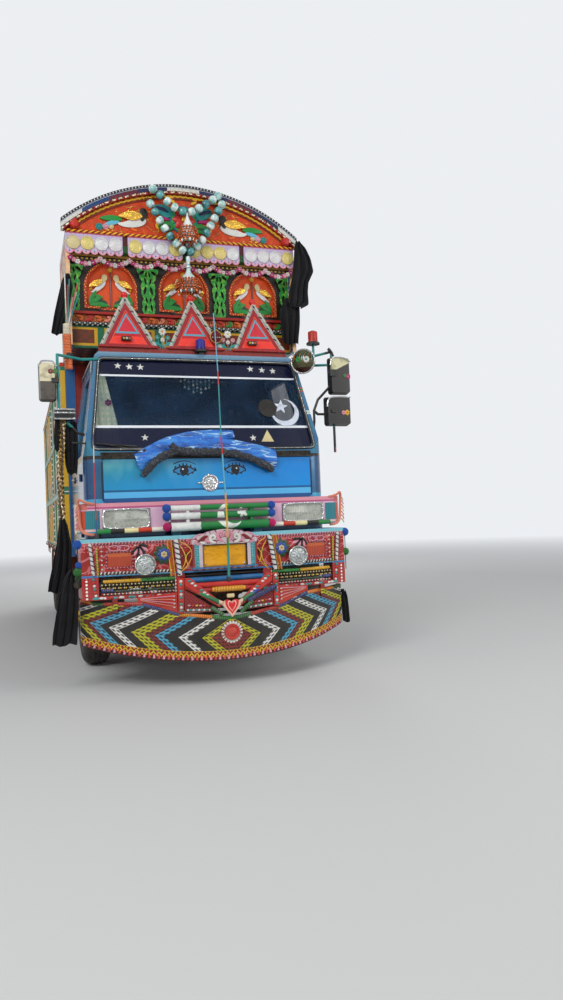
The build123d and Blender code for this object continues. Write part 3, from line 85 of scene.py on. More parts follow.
class Value:
    def __init__(self, bench, socket):
        self.bench = bench
        self.socket = socket

    def sum(self, kind, *others):
        """One Math node on this value and the others."""
        return Value(
            self.bench, self.bench.node("Math", enumerate((self, *others)), operation=kind).outputs[0],
        )

    def __neg__(self):
        return self * -1.0

    def off(self):
        """The other side of a mask."""
        return self.sum("MULTIPLY_ADD", -1.0, 1.0)

    def within(self, low, high):
        return (self > low) * (self < high)

    def fade(self, low, high):
        """0 below low, 1 above high and straight between."""
        return Value(self.bench, self.bench.node("MapRange", enumerate((self, low, high))).outputs[0])


for method, kind in (
    ("__add__", "ADD"), ("__radd__", "ADD"), ("__sub__", "SUBTRACT"), ("__mul__", "MULTIPLY"),
    ("__rmul__", "MULTIPLY"), ("__truediv__", "DIVIDE"), ("__gt__", "GREATER_THAN"), ("__lt__", "LESS_THAN"),
    ("__abs__", "ABSOLUTE"), ("least", "MINIMUM"), ("most", "MAXIMUM"), ("share", "FRACT"),
    ("whole", "FLOOR"), ("sine", "SINE"), ("root", "SQRT"), ("turned", "ARCTAN2"),
):
    setattr(Value, method, partialmethod(Value.sum, kind))


def shade(code):
    """A paint chip written as #rrggbb, as the linear colour that a shader takes."""
    channels = [int(code[i : i + 2], 16) / 255 for i in (1, 3, 5)]
    return [c / 12.92 if c <= 0.04045 else ((c + 0.055) / 1.055) ** 2.4 for c in channels] + [1.0]


class Bench:
    """A node tree being filled, with the patterns that finishes and effects draw on."""

    def __init__(self, tree):
        self.tree = tree

    def fill(self, socket, value):
        """Links a value or socket, or sets a number, a vector or a paint chip."""
        if isinstance(value, str):
            value = shade(value)
        elif isinstance(value, Value):
            value = value.socket
        if isinstance(value, bpy.types.NodeSocket):
            self.tree.links.new(value, socket)
        else:
            socket.default_value = value

    def node(self, kind, inputs=(), **settings):
        """A new node with its settings, its inputs filled by name or number."""
        made = self.tree.nodes.new(f"ShaderNode{kind}")
        for setting, value in settings.items():
            setattr(made, setting, value)
        for slot, value in dict(inputs).items():
            self.fill(made.inputs[slot], value)
        return made

    def effect(self, group, **inputs):
        """The outputs of a shared effect placed here with its own values."""
        return self.node("Group", inputs, node_tree=group).outputs

    def three(self, socket):
        return [Value(self, part) for part in self.node("SeparateXYZ", {0: socket}).outputs]

    def place(self):
        """The point's place on the object, as its three values."""
        return self.three(self.node("TexCoord").outputs["Object"])

    def normal(self):
        return self.three(self.node("NewGeometry").outputs["Normal"])

    def point(self, stretch=(1, 1, 1)):
        return self.node("Mapping", {0: self.node("TexCoord").outputs["Object"], "Scale": stretch}).outputs[0]

    def noise(self, scale, detail, stretch=(1, 1, 1)):
        inputs = {"Vector": self.point(stretch), "Scale": scale, "Detail": detail}
        return Value(self, self.node("TexNoise", inputs).outputs["Fac"])

    def cells(self, scale):
        inputs = {"Vector": self.point(), "Scale": scale}
        return Value(self, self.node("TexVoronoi", inputs).outputs["Distance"])

    def seen(self):
        """1 where the camera, a mirror or glass sees the surface."""
        rays = self.node("LightPath").outputs
        camera, glossy, through = (
            Value(self, rays[f"Is {ray} Ray"])
            for ray in ("Camera", "Glossy", "Transmission")
        )
        return camera.most(glossy).most(through)

    def over(self, mask, below, above):
        """Colour above laid on colour below where the mask is 1."""
        return self.node("Mix", {0: mask, 6: below, 7: above}, data_type="RGBA").outputs[2]

    def pick(self, base, *layers):
        """A base colour with (mask, colour) layers laid on it in order."""
        for mask, colour in layers:
            base = self.over(mask, base, colour)
        return base


def middle_of(u, v):
    """How far a point is from where u and v are both 0."""
    return (u * u + v * v).root()


def tiled(u, pitch, shift=0.0):
    """How far u is from the middle of its own tile in a row of them."""
    return ((u / pitch + shift).share() - 0.5) * pitch


def dots(u, v, pitch_u, pitch_v, radius):
    """Round dots on a grid: 1 inside a dot."""
    return middle_of(tiled(u, pitch_u), tiled(v, pitch_v)) < radius


def flower(u, v, radius, petals, depth=0.35):
    """A petalled round about u and v at 0: 1 inside."""
    lobe = abs((v.turned(u) * (petals / 2.0)).sine())
    return middle_of(u, v) < (lobe * depth + (1 - depth)) * radius


def band_row(u, pitch, fill):
    """Stripes along u: 1 on the painted share of each pitch."""
    return (u / pitch).share() < fill


# Effects shared by materials, as node groups with named sockets


class Effect(Bench):
    def __init__(self, name, inputs, outputs):
        super().__init__(bpy.data.node_groups.new(name, "ShaderNodeTree"))
        for way, sockets in (("INPUT", inputs), ("OUTPUT", outputs)):
            for socket, kind in sockets.items():
                self.tree.interface.new_socket(socket, in_out=way, socket_type=f"NodeSocket{kind}")
        self.taken = self.tree.nodes.new("NodeGroupInput").outputs
        self.given = self.tree.nodes.new("NodeGroupOutput").inputs

    def value(self, name):
        return Value(self, self.taken[name])

    def give(self, name, value):
        self.fill(self.given[name], value)


def street_dust():
    """Pale dust low down and on level tops, and blotches of fading: colour and roughness."""
    mix = Effect(
        "street_dust", {"Paint": "Color", "Dust": "Float", "Gloss": "Float"},
        {"Paint": "Color", "Roughness": "Float"},
    )
    low = (-mix.place()[2]).fade(-1.3, 0.1) * 0.55
    tops = mix.normal()[2].fade(0.35, 0.95) * 0.55
    blotch = mix.noise(9.0, 6.0).fade(0.35, 0.75)
    fine = mix.noise(130.0, 2.0).fade(0.35, 0.65) * 0.4 + 0.6
    dust = (low.most(tops) + 0.1) * (blotch * 0.8 + 0.2) * fine * mix.value("Dust")
    dusty = mix.over(dust, mix.taken["Paint"], "#b7a78e")
    mix.give("Paint", mix.over(mix.noise(3.1, 3.0).fade(0.45, 0.8) * 0.1, dusty, "#2a2320"))
    mix.give("Roughness", mix.value("Gloss") + dust * 0.5 + blotch * 0.06)
    return mix.tree


def edge_wear():
    """Paint rubbed off along edges, found from a bevelled normal and broken up by noise."""
    mix = Effect("edge_wear", {"Paint": "Color", "Under": "Color", "Wear": "Float"}, {"Paint": "Color"})
    bevelled = mix.node("Bevel", {"Radius": 0.006}, samples=4).outputs[0]
    true_normal = mix.node("NewGeometry").outputs["Normal"]
    match = mix.node("VectorMath", {0: bevelled, 1: true_normal}, operation="DOT_PRODUCT").outputs["Value"]
    edge = Value(mix, match).off().fade(0.02, 0.16)
    mask = edge * mix.noise(45.0, 5.0).fade(0.42, 0.62) * mix.value("Wear")
    mix.give("Paint", mix.over(mask, mix.taken["Paint"], mix.taken["Under"]))
    return mix.tree


def wood_grain():
    """Long soft grain for boards, as a height that also serves as a tint mask."""
    mix = Effect("wood_grain", {"Vector": "Vector", "Strength": "Float"}, {"Height": "Float"})
    inputs = {"Vector": mix.taken["Vector"], "Scale": 26.0, "Detail": 6.0, "Distortion": 0.6}
    fibre = Value(mix, mix.node("TexNoise", inputs).outputs["Fac"])
    mix.give("Height", fibre.fade(0.3, 0.7) * mix.value("Strength"))
    return mix.tree


def plain_weave():
    """Plain weave of cloth: over and under threads as a height."""
    mix = Effect("plain_weave", {"Thread": "Float"}, {"Height": "Float"})
    x, y, z = mix.place()
    pitch = mix.value("Thread")
    warp, weft = ((run / pitch * math.tau).sine() for run in (x + y, z))
    mix.give("Height", warp * weft * 0.5 + 0.5)
    return mix.tree


DUST, WEAR, GRAIN, WEAVE = street_dust(), edge_wear(), wood_grain(), plain_weave()


class Mix(Bench):
    """A material being made, on its Principled shader."""

    def __init__(self, name):
        self.made = bpy.data.materials.new(name)
        self.made.use_nodes = True
        super().__init__(self.made.node_tree)
        self.shader = self.tree.nodes["Principled BSDF"]

    def give(self, name, value):
        self.fill(self.shader.inputs[name], value)

    def bump(self, height, distance):
        self.give("Normal", self.node("Bump", {"Height": height, "Distance": distance}).outputs[0])

    def coat(self, weight, roughness):
        self.give("Coat Weight", weight * 0.4)
        self.give("Coat Roughness", roughness)

    def plain(self, colour, roughness):
        """Colour and roughness straight into the shader, without wear or dust."""
        self.give("Base Color", colour)
        self.give("Roughness", roughness)

    def dusty(self, colour, dust, gloss):
        given = self.effect(DUST, Paint=colour, Dust=dust, Gloss=gloss)
        self.plain(given["Paint"], given["Roughness"])

    def paint(self, colour, gloss, dust, wear, under="#8b8175"):
        """Painted colour through edge wear and street dust into the shader."""
        self.dusty(self.effect(WEAR, Paint=colour, Under=under, Wear=wear)["Paint"], dust, gloss)
        self.give("Specular IOR Level", 0.3)

    def grain(self, along, strength=1.0):
        return Value(self, self.effect(GRAIN, Vector=self.point(along), Strength=strength)["Height"])

    def weave(self, thread):
        return Value(self, self.effect(WEAVE, Thread=thread)["Height"])


def finish(recipe):
    """Makes a recipe for a mix into a function that makes the material of a given name."""

    def made(name, *values):
        mix = Mix(name)
        recipe(mix, *values)
        return mix.made

    return made


# Finishes of the running gear and frame


@finish
def tyre_rubber(mix, axle_y):
    x, y, z = mix.place()
    reach = middle_of(y - axle_y, z - AXLE_Z)
    side_ring = band_row(reach - 0.27, 0.062, 0.12) * (reach < 0.47)
    dirt = mix.noise(14.0, 6.0).fade(0.4, 0.7)
    colour = mix.pick("#1b1a19", (dirt * 0.55, "#574e42"), (side_ring * 0.4, "#2d2b29"))
    mix.plain(colour, dirt * 0.2 + 0.72)
    mix.bump(side_ring * -0.6 + mix.noise(160.0, 2.0) * 0.25, 0.004)


@finish
def plain_paint(mix, code, gloss=0.35, dust=0.6, wear=0.6):
    """Gloss enamel put on by brush: faint brush lines, worn edges and dust."""
    tone = mix.over(mix.noise(5.0, 4.0).fade(0.35, 0.7) * 0.22, code, "#000000")
    mix.paint(tone, gloss, dust, wear, "#77706a")
    mix.bump(mix.noise(60.0, 3.0, (1, 1, 6)) * 0.15, 0.002)
    mix.coat(0.25, 0.15)


@finish
def wheel_enamel(mix, axle_y):
    x, y, z = mix.place()
    reach = middle_of(y - axle_y, z - AXLE_Z)
    colour = mix.pick(
        "#a32218", (reach.within(0.222, 0.25), "#e8b324"), (reach < 0.075, "#e8b324"),
        (reach.within(0.09, 0.105), "#1d6fae"),
    )
    mix.paint(colour, 0.38, 0.9, 0.7, "#5a4a40")
    mix.bump(mix.noise(70.0, 3.0) * 0.4, 0.0015)


@finish
def rough_casting(mix, code):
    colour = mix.pick(
        code, (mix.noise(18.0, 6.0).fade(0.48, 0.72) * 0.6, "#6a4c34"),
        (mix.noise(40.0, 3.0).fade(0.55, 0.7) * 0.5, "#8d8474"),
    )
    mix.plain(colour, 0.72)
    mix.bump(mix.noise(110.0, 4.0), 0.003)


@finish
def old_boards(mix):
    x, y, z = mix.place()
    plank = ((x / 0.17).whole() * 12.9898).sine() * 43758.5
    tint = plank.share() * 0.35
    grain = mix.grain((3.0, 0.22, 3.0))
    gap = band_row(x, 0.17, 0.035)
    colour = mix.pick("#8a6a48", (tint, "#5c4630"), (grain * 0.5, "#4a3826"), (gap, "#1d1712"))
    mix.paint(colour, 0.72, 0.9, 0.2, "#b59e7c")
    mix.bump(grain * 0.4 - gap, 0.004)


# Glass, lamps and trim


@finish
def tinted_screen(mix):
    """Windscreen: a dark film above and below two white lines, and clear dark glass between."""
    x, y, z = mix.place()
    top_band = z > 2.882
    foot_band = z < 2.35
    lines = z.within(2.864, 2.882).most(z.within(2.35, 2.374))
    film = top_band.most(foot_band).most(lines)
    haze = mix.noise(4.0, 3.0).fade(0.35, 0.7)
    colour = mix.pick(
        "#0c1c33", (haze * 0.35, "#24507c"), (top_band, "#0d1230"), (foot_band, "#0f1532"),
        (lines, "#e9edf2"),
    )
    mix.plain(colour, film * 0.22 + haze * 0.04 + 0.03)
    mix.give("Alpha", (film * 0.58 + haze * 0.1 + 0.24).least(1.0))
    mix.give("Specular IOR Level", 0.3)


@finish
def door_pane(mix):
    haze = mix.noise(5.0, 3.0).fade(0.35, 0.7)
    colour = mix.pick("#15263a", (haze * 0.4, "#3a5670"))
    mix.plain(colour, haze * 0.05 + 0.03)
    mix.give("Alpha", haze * 0.12 + 0.45)
    mix.give("Specular IOR Level", 0.9)


@finish
def lamp_glasses(mix):
    """Headlamp glass with fluted cells, orange and teal corner lenses and amber bumper lamps."""
    x, y, z = mix.place()
    side = abs(x)
    corner = (z > 1.4) * (side > 1.05)
    orange_end = corner * (side > 1.19)
    amber = (z < 1.3) * (side > 0.8)
    ribs = (x / 0.018 * math.tau).sine() * 0.5 + 0.5
    cell = mix.cells(34.0)
    colour = mix.pick(
        "#8f938a", (cell.fade(0.15, 0.6) * 0.45, "#c3c6ba"),
        (mix.noise(5.0, 2.0, (1, 1, 2.5)).fade(0.4, 0.66) * 0.5, "#6a6a60"),
        # painted highlight: a pale patchy band across the upper headlamp glass
        (z.within(1.5, 1.556) * mix.noise(4.0, 2.0).fade(0.42, 0.62) * 0.65, "#e4e2d6"), (corner, "#0d7f8a"),
        (corner * ribs * 0.5, "#0a4f5c"), (orange_end, "#c4441c"), (amber, "#b03a10"),
        (amber * ribs * 0.25, "#6e2008"), (amber * (z > 1.175) * 0.35, "#e07a30"),
    )
    mix.plain(colour, 0.16)
    mix.bump(ribs * 0.7 + cell * 0.15, 0.003)
    mix.coat(0.8, 0.04)


# Cab paint


@finish
def cab_enamel(mix):
    """Metallic blue cab: painted corner shade, dark belt, painted teal sheen and highlights, fine flake, dust
    low down.
    """
    x, y, z = mix.place()
    side = abs(x)
    # painted shade: the paint darkens towards the cab's side corners below the belt
    corner = side.fade(1.0, 1.12) * (z < 2.06)
    # painted highlight: the paint grows paler upwards towards the pillars
    upper_highlight = z.fade(2.1, 2.9)
    # painted sheen: soft teal patches of reflected light
    sheen = mix.noise(2.3, 2.0, (1, 1, 1.6)).fade(0.4, 0.65)
    trim_line = z.within(2.052, 2.085)
    at_pillar = (x > 0.99) * (y < -3.33) * z.within(2.33, 2.9)
    pillar_spots = dots(y + z * 0.31, z, 0.16, 0.08, 0.026) * at_pillar
    pillar_hearts = dots(y + z * 0.31, z, 0.16, 0.08, 0.012) * at_pillar
    stripe = z.within(1.647, 1.69)
    colour = mix.pick(
        "#27608c", (sheen * 0.5, "#2b8a9c"), (upper_highlight * 0.45, "#5a86a5"), (corner * 0.8, "#173a6d"),
        # the pale roof-edge layer here is a painted highlight
        (z.fade(3.07, 3.12) * 0.75, "#7fa6c1"), (trim_line, "#11161d"), (stripe, "#3fa5cf"),
        ((z < 1.645) * 0.8, "#184474"), (pillar_spots, "#c9d6cf"),
        (pillar_spots * band_row(z, 0.16, 0.5), "#c41f3a"), (pillar_hearts, "#1f8a4a"),
    )
    mix.paint(colour, 0.22, 0.45, 0.35, "#3d3a38")
    mix.give("Metallic", 0.25)
    mix.bump(mix.noise(11.0, 2.0) * 0.5, 0.004)
    mix.coat(1.0, 0.08)


@finish
def panel_enamel(mix):
    """Front panel: teal at the right-hand side of the truck running to clear blue, with a pale stripe."""
    x, y, z = mix.place()
    across = x.fade(-1.0, 0.45)
    gleam = mix.noise(2.6, 2.0, (1.4, 1, 0.7)).fade(0.42, 0.62) * x.fade(0.1, -0.9)
    stripe = z.within(1.69, 1.745)
    shadow = z.within(1.745, 1.765)
    eye_u, eye_v = (abs(x + 0.012) - 0.248) / 0.105, (z - 1.932) / 0.105
    bow = eye_u * eye_u
    upper_lid, lower_lid = bow.off() * 0.4, bow.off() * -0.36
    lids = (eye_v < upper_lid) * (eye_v > lower_lid) * (bow < 1.0)
    above, below = eye_v - upper_lid, eye_v - lower_lid
    lid_line = (above * above < 0.0055).most(below * below < 0.0022) * (bow < 1.04)
    lash_fan = (eye_u * 16.0 + eye_v * 6.0 * eye_u).sine() > 0.35
    lash = (above > 0.0).most(below < 0.0) * (above < 0.26) * (below > -0.14) * (bow < 1.25) * lash_fan
    ball = middle_of(eye_u, eye_v - 0.02)
    brow_v = eye_v - (bow * -0.3 + 0.86)
    brow = (brow_v * brow_v < (eye_u + 1.3).most(0.0) * 0.0011 + 0.0004) * (eye_u > -1.05) * (eye_u < 0.95)
    colour = mix.pick(
        "#1c8c9c", (across, "#0e80d0"), (gleam * 0.6, "#8fd0d0"), (z.fade(1.99, 1.78) * 0.5, "#0a97e4"),
        # painted shade: the top of the panel darkens under the tarpaulin and cowl
        (z.fade(1.98, 2.05) * 0.45, "#1b4f84"), (stripe, "#55b7ea"), (shadow * 0.7, "#0c3a66"),
        (z < 1.69, "#17518f"), (abs(x) > 1.002, "#0b2947"), (lash.most(brow), "#0b1522"), (lids, "#2f7fb4"),
        (lids * (ball < 0.4), "#0a1320"),
        (lids * (((eye_u - 0.12) * (eye_u - 0.12) + (eye_v - 0.14) * (eye_v - 0.14)) < 0.006), "#dfe9f0"),
        (lid_line, "#0a111c"),
    )
    mix.paint(colour, 0.2, 0.3, 0.4, "#3d3a38")
    mix.give("Metallic", 0.2)
    mix.bump(mix.noise(7.0, 2.0) * 0.5, 0.003)
    mix.coat(0.7, 0.06)


@finish
def lamp_bar_enamel(mix):
    """Lilac lamp bar with a rose top edge and teal foot."""
    x, y, z = mix.place()
    side = abs(x)
    recess = z.within(1.412, 1.59) * (side > 0.6)
    scuff = mix.noise(8.0, 5.0).fade(0.45, 0.7)
    colour = mix.pick(
        "#d9b0c8", (scuff * 0.4, "#b98aa6"), (z > 1.612, "#d98f9f"), (z.within(1.596, 1.612), "#b1527c"),
        (z < 1.412, "#e0bdb0"), (z < 1.398, "#2f8fae"), ((side > 1.17) * (z > 1.59), "#c86e62"),
        # painted shade in the recess round the headlamps
        (recess * side.within(0.622, 1.045) * 0.7, "#3a3034"),
    )
    mix.paint(colour, 0.3, 0.5, 0.5, "#7a5a55")
    mix.bump(mix.noise(30.0, 3.0) * 0.4, 0.002)
    mix.coat(0.35, 0.1)


@finish
def tube_enamel(mix):
    """Three tubes painted as one white and green field with a pale crescent and star; striped lower tubes."""
    x, y, z = mix.place()
    side = abs(x)
    edge = mix.noise(30.0, 3.0) * 0.03
    white = (x + edge) < -0.175
    moon_x, moon_z = 0.085, 1.497
    outer = middle_of(x - moon_x, z - moon_z) < 0.118
    inner = middle_of(x - moon_x - 0.042, z - moon_z - 0.022) < 0.098
    star = flower(x - 0.205, z - 1.52, 0.05, 5, 0.62)
    emblem = (outer * inner.off()).most(star)
    stripes = (
        (side.within(0.5, 0.62), "#e9e2d5"), (side.within(0.62, 0.74), "#c63722"),
        (side.within(0.74, 0.86), "#e8d9a0"), (side.within(0.86, 0.98), "#15171a"),
        (side.within(0.98, 1.12), "#20803f"),
    )
    colour = mix.pick("#0f7a3a", (white, "#d9dcd8"), (emblem, "#dfe8df"))
    colour = mix.pick(colour, (side > 0.47, "#e9e2d5"), *stripes)
    colour = mix.pick(colour, (mix.noise(22.0, 5.0).fade(0.5, 0.75) * 0.25, "#4a4238"))
    mix.paint(colour, 0.3, 0.4, 0.4, "#6c6a60")
    mix.coat(0.3, 0.12)
    mix.bump(mix.noise(40.0, 3.0) * 0.5, 0.002)


@finish
def bumper_enamel(mix):
    """Red bumper: pale blue top strip, pink tendrils and dotted rows, blue shelf, teal ovals below."""
    x, y, z = mix.place()
    side = abs(x)
    field = z.within(1.02, 1.285)
    twist = (x * 26.0 + (z * 19.0).sine() * 2.4).sine() * (z * 31.0 + (x * 14.0).sine() * 2.2).sine()
    tendril = (abs(twist) < 0.11) * field
    bead_u, bead_v = tiled(x, 0.052), tiled(z, 0.046)
    link = ((bead_u * bead_u) / 0.00034 + (bead_v * bead_v) / 0.00016).root()
    chain = link.within(0.72, 0.98) * z.within(1.035, 1.062).most(z.within(
        1.222, 1.272,
    ) * (side > 0.3)) * field
    dot_row = dots(x, z - 1.291, 0.034, 0.034, 0.009) * z.within(1.278, 1.305)
    low = z < 0.995
    oval_u = tiled(x, 0.15)
    oval = ((oval_u * oval_u) / 0.0011 + ((z - 0.8205) * (z - 0.8205)) / 0.00011) < 1.0
    spot = dots(x - 0.075, z - 0.8055, 0.15, 0.03, 0.01) * low
    colour = mix.pick(
        "#a51a18", (mix.noise(12.0, 4.0).fade(0.45, 0.7) * 0.5, "#6f1016"), (tendril, "#c8686c"),
        (chain, "#e2a0a4"), (z > 1.3, "#79bccb"), (z.within(1.27, 1.3), "#c7565c"), (dot_row, "#f0e4d8"),
        (z.within(1.0, 1.018), "#2f78b4"), (low, "#a51e22"), (oval, "#2c9aa0"), (spot, "#f2ede2"),
        ((side < 0.365) * (z < 0.96), "#2470ac"), ((side < 0.365) * z.within(0.96, 0.995), "#15181c"),
    )
    mix.paint(colour, 0.34, 0.5, 0.5, "#5c2420")
    mix.bump(tendril * 0.5 + dot_row + oval + spot, 0.006)
    mix.coat(0.35, 0.12)


@finish
def dark_trim(mix, code):
    colour = mix.pick(code, (mix.noise(7.0, 3.0).fade(0.4, 0.7) * 0.4, "#4a4a46"))
    mix.plain(colour, mix.noise(20.0, 3.0) * 0.2 + 0.45)
    mix.bump(mix.noise(220.0, 2.0), 0.0008)


@finish
def mirror_enamel(mix):
    """Mirror heads: cream backs on the outer heads, dark inner heads, teal arms and black posts."""
    x, y, z = mix.place()
    back = y < -3.628
    outer_head = x.within(-1.6, -1.372).most(x.within(1.3, 1.6))
    inner_head = (x.within(-1.43, -1.215) * z.within(2.4, 2.53)).most(x.within(1.245, 1.53) * z.within(
        2.37, 2.675,
    ))
    colour = mix.pick(
        "#128a86", (mix.noise(9.0, 3.0).fade(0.5, 0.7) * 0.4, "#0b4f58"),
        (outer_head * z.within(2.585, 3.08), "#16181a"), (outer_head * back * z.within(2.6, 3.06), "#1b1918"),
        (outer_head * back * (x < 0) * z.within(2.6, 2.765), "#565049"),
        (outer_head * back * (x < 0) * (z > 2.765), "#d8cfae"),
        (outer_head * back * (x > 0) * (z - x * 0.5 > 2.255), "#c9c49a"),
        (outer_head * back * z.within(2.6, 3.06) * mix.noise(14.0, 2.0).fade(0.5, 0.62) * 0.35, "#17181a"),
        (inner_head, "#101215"), ((z > 3.105) * (x > 1.29), "#1d1f22"),
        ((z < 2.86) * x.within(1.05, 1.3), "#15171a"), (z < 2.36, "#16181a"),
        ((z < 2.15) * (x > 1.34), "#b3242c"),
    )
    mix.paint(colour, 0.3, 0.4, 0.4, "#77706a")
    mix.bump(mix.noise(60.0, 3.0) * 0.4, 0.002)
    mix.coat(0.4, 0.1)


@finish
def plate_surround(mix):
    """Pink-white carved surround of the number plate with teal side bars."""
    x, y, z = mix.place()
    side = abs(x)
    curl = abs((side * 52.0).sine() + (z * 60.0 + (side * 30.0).sine() * 2.0).sine()) < 0.24
    recess = (side < 0.207) * z.within(1.036, 1.243)
    colour = mix.pick(
        "#c9b7bd", (mix.noise(14.0, 4.0).fade(0.45, 0.7) * 0.35, "#a97f90"), (curl * (z > 1.25), "#8f2f45"),
        ((side > 0.238) * (z < 1.25), "#2b8f93"), ((side > 0.28) * (z < 1.25), "#8e1f22"),
        (dots(x, z, 0.03, 0.03, 0.006) * side.within(0.24, 0.278) * (z < 1.25), "#e8e3d2"),
        # painted shade in the recess round the number plate
        (recess, "#20201c"), (z < 1.045, "#3a6f9c"),
    )
    mix.paint(colour, 0.32, 0.4, 0.5, "#77706a")
    mix.bump(curl * (z > 1.25) * -0.7, 0.006)
    mix.coat(0.35, 0.12)


@finish
def bar_enamel(mix):
    """Red hanging bars, the lower with a yellow middle, green and blue coils on the V rods, a red heart."""
    x, y, z = mix.place()
    heart = (y < -4.262) * (z < 0.765)
    along, rise = x / 0.078, (z - 0.688) / 0.078
    lift = rise - abs(along).root() * 0.72
    swell = along * along + lift * lift
    coil = (z * 75.0).sine() * 0.5 + 0.5
    blue_coil = band_row(z, 0.16, 0.5)
    colour = mix.pick(
        "#1f7d4d", (blue_coil * (x > 0.0), "#1e3f9c"), (z > 0.872, "#c01f1c"),
        (z.within(0.824, 0.87) * (y > -4.235), "#a81a1c"),
        (z.within(0.824, 0.87) * (y > -4.235) * (abs(x) < 0.15), "#e3a322"),
        (coil * 0.25 * (z < 0.82), "#0c1c3a"), (heart * (abs(x) < 0.108), "#e3b9a0"),
        (heart * (swell < 0.62), "#d8202c"), (heart * swell.within(0.16, 0.26), "#f0b7a6"),
    )
    mix.paint(colour, 0.3, 0.4, 0.4, "#77706a")
    mix.bump(coil * (z < 0.82) * heart.off(), 0.004)
    mix.coat(0.4, 0.1)


def scroll_pattern(u, v, pitch, height):
    """Running scrollwork: rings set in a row with a wave between them."""
    du = tiled(u, pitch)
    reach = middle_of(du, v)
    turn = v.turned(du)
    spiral = abs((turn + reach / height * 16.0).sine()) < 0.42
    return spiral * (reach < height * 0.5)


@finish
def carved_face(mix):
    """Recessed face of the crown: red niches, dark ground, scroll band, dotted band and framed panels."""
    x, y, z = mix.place()
    bay = tiled(x, BAY, 0.5)
    head = z - 3.89
    round_top = middle_of(bay, head)
    inside = ((abs(bay) < 0.245) * (z < 3.89)).most(round_top < 0.245) * (z > 3.696)
    frame_zone = ((abs(bay) < 0.27) * (z < 3.89)).most(round_top < 0.27) * (z > 3.672)
    frame_only = frame_zone * inside.off()
    beads = dots(bay + z * 0.5, z - bay * 0.5, 0.028, 0.028, 0.007) * frame_only
    scroll = scroll_pattern(x, z - 3.568, 0.09, 0.085) * z.within(3.525, 3.612)
    ledge_dots = dots(x, z - 3.5125, 0.052, 0.04, 0.011) * z.within(3.495, 3.53)
    lower = z < 3.495
    panel_u = tiled(x, 0.586, 0.5)
    frame = (abs(panel_u) > 0.225).most(z > 3.455).most(z < 3.315)
    green_edge = (abs(panel_u) > 0.258).most(z > 3.478).most(z < 3.29)
    fleck = flower(x, z - 3.385, 0.05, 6) * lower
    shimmer = mix.cells(60.0).fade(0.1, 0.5)
    colour = mix.pick(
        "#15140f", (mix.noise(30.0, 3.0).fade(0.5, 0.65) * 0.4, "#3a2a12"), (frame_only, "#b5301c"),
        (beads, "#f0b64a"), (inside, "#cf3a14"), (inside * shimmer * 0.35, "#e96a1e"),
        (z.within(3.6, 3.64), "#a01d18"), (z.within(3.525, 3.612), "#8c1710"), (scroll, "#e0a23c"),
        (z.within(3.49, 3.528), "#0d2a22"), (ledge_dots, "#eef1ea"), (lower, "#4a1512"),
        (lower * shimmer * 0.5, "#7a4a22"),
        (lower * (abs((panel_u * 60.0).sine() + (z * 70.0).sine()) < 0.35) * 0.7, "#8f2a1c"),
        (lower * frame, "#d9a520"), (lower * green_edge, "#1c6a49"), (fleck * 0.6, "#c4452a"),
    )
    grain = mix.grain((0.4, 1, 2.0), 0.6)
    mix.paint(colour, 0.34, 0.35, 0.25, "#6b5a40")
    carving = scroll + beads + ledge_dots + inside * shimmer * 0.25 + grain * 0.08
    mix.bump(carving, 0.006)
    mix.coat(0.3, 0.15)


@finish
def fretwork_green(mix):
    x, y, z = mix.place()
    # painted shade: faces turned from the front are dark green, the front faces bright
    front = (-mix.normal()[1]).fade(0.4, 0.8)
    vein = abs((x * 120.0 + (z * 50.0).sine() * 3.0).sine()) < 0.25
    colour = mix.pick(
        "#0b3d1b", (front, "#128a35"), (front * vein * 0.7, "#5fcf5a"),
        (front * mix.noise(34.0, 3.0).fade(0.5, 0.65) * 0.6, "#9ad84a"),
    )
    mix.paint(colour, 0.3, 0.3, 0.3, "#d9c24a")
    mix.bump(vein * 0.5 + mix.noise(60.0, 3.0) * 0.4, 0.004)
    mix.coat(0.4, 0.12)


@finish
def arch_band(mix):
    """Arched rim: foil and painted lengths in turn, a fringe of pale tabs outside and dashes inside."""
    x, y, z = mix.place()
    reach = middle_of(x, z - ARCH_CENTRE)
    along = x.turned(z - ARCH_CENTRE) * ARCH_R
    foot = reach.within(1.904, 1.909)
    dash = band_row(along, 0.072, 0.55) * reach.within(1.846, 1.86)
    crinkle = mix.cells(70.0).fade(0.05, 0.5)
    side = abs(x)
    segment = mix.pick(
        "#8e8d86", (crinkle, "#cfccc0"), (side > 0.17, "#121c4a"), (side > 0.48, "#571126"),
        (side > 0.76, "#14386c"), ((side > 0.76) * (x > 0.0), "#10183c"), (side > 1.04, "#a9aaa2"),
        ((side > 1.04) * crinkle * 0.6, "#e1e0d6"),
    )
    colour = mix.pick(
        segment, (reach > 1.902, "#171a2c"), (foot, "#aab3c4"), (reach < 1.868, "#4a1414"), (dash, "#f2ead6"),
        (reach < 1.846, "#a3221a"),
    )
    mix.paint(colour, 0.3, 0.3, 0.35, "#8b8175")
    mix.bump(crinkle * 0.35 + dash, 0.005)
    mix.coat(0.4, 0.1)


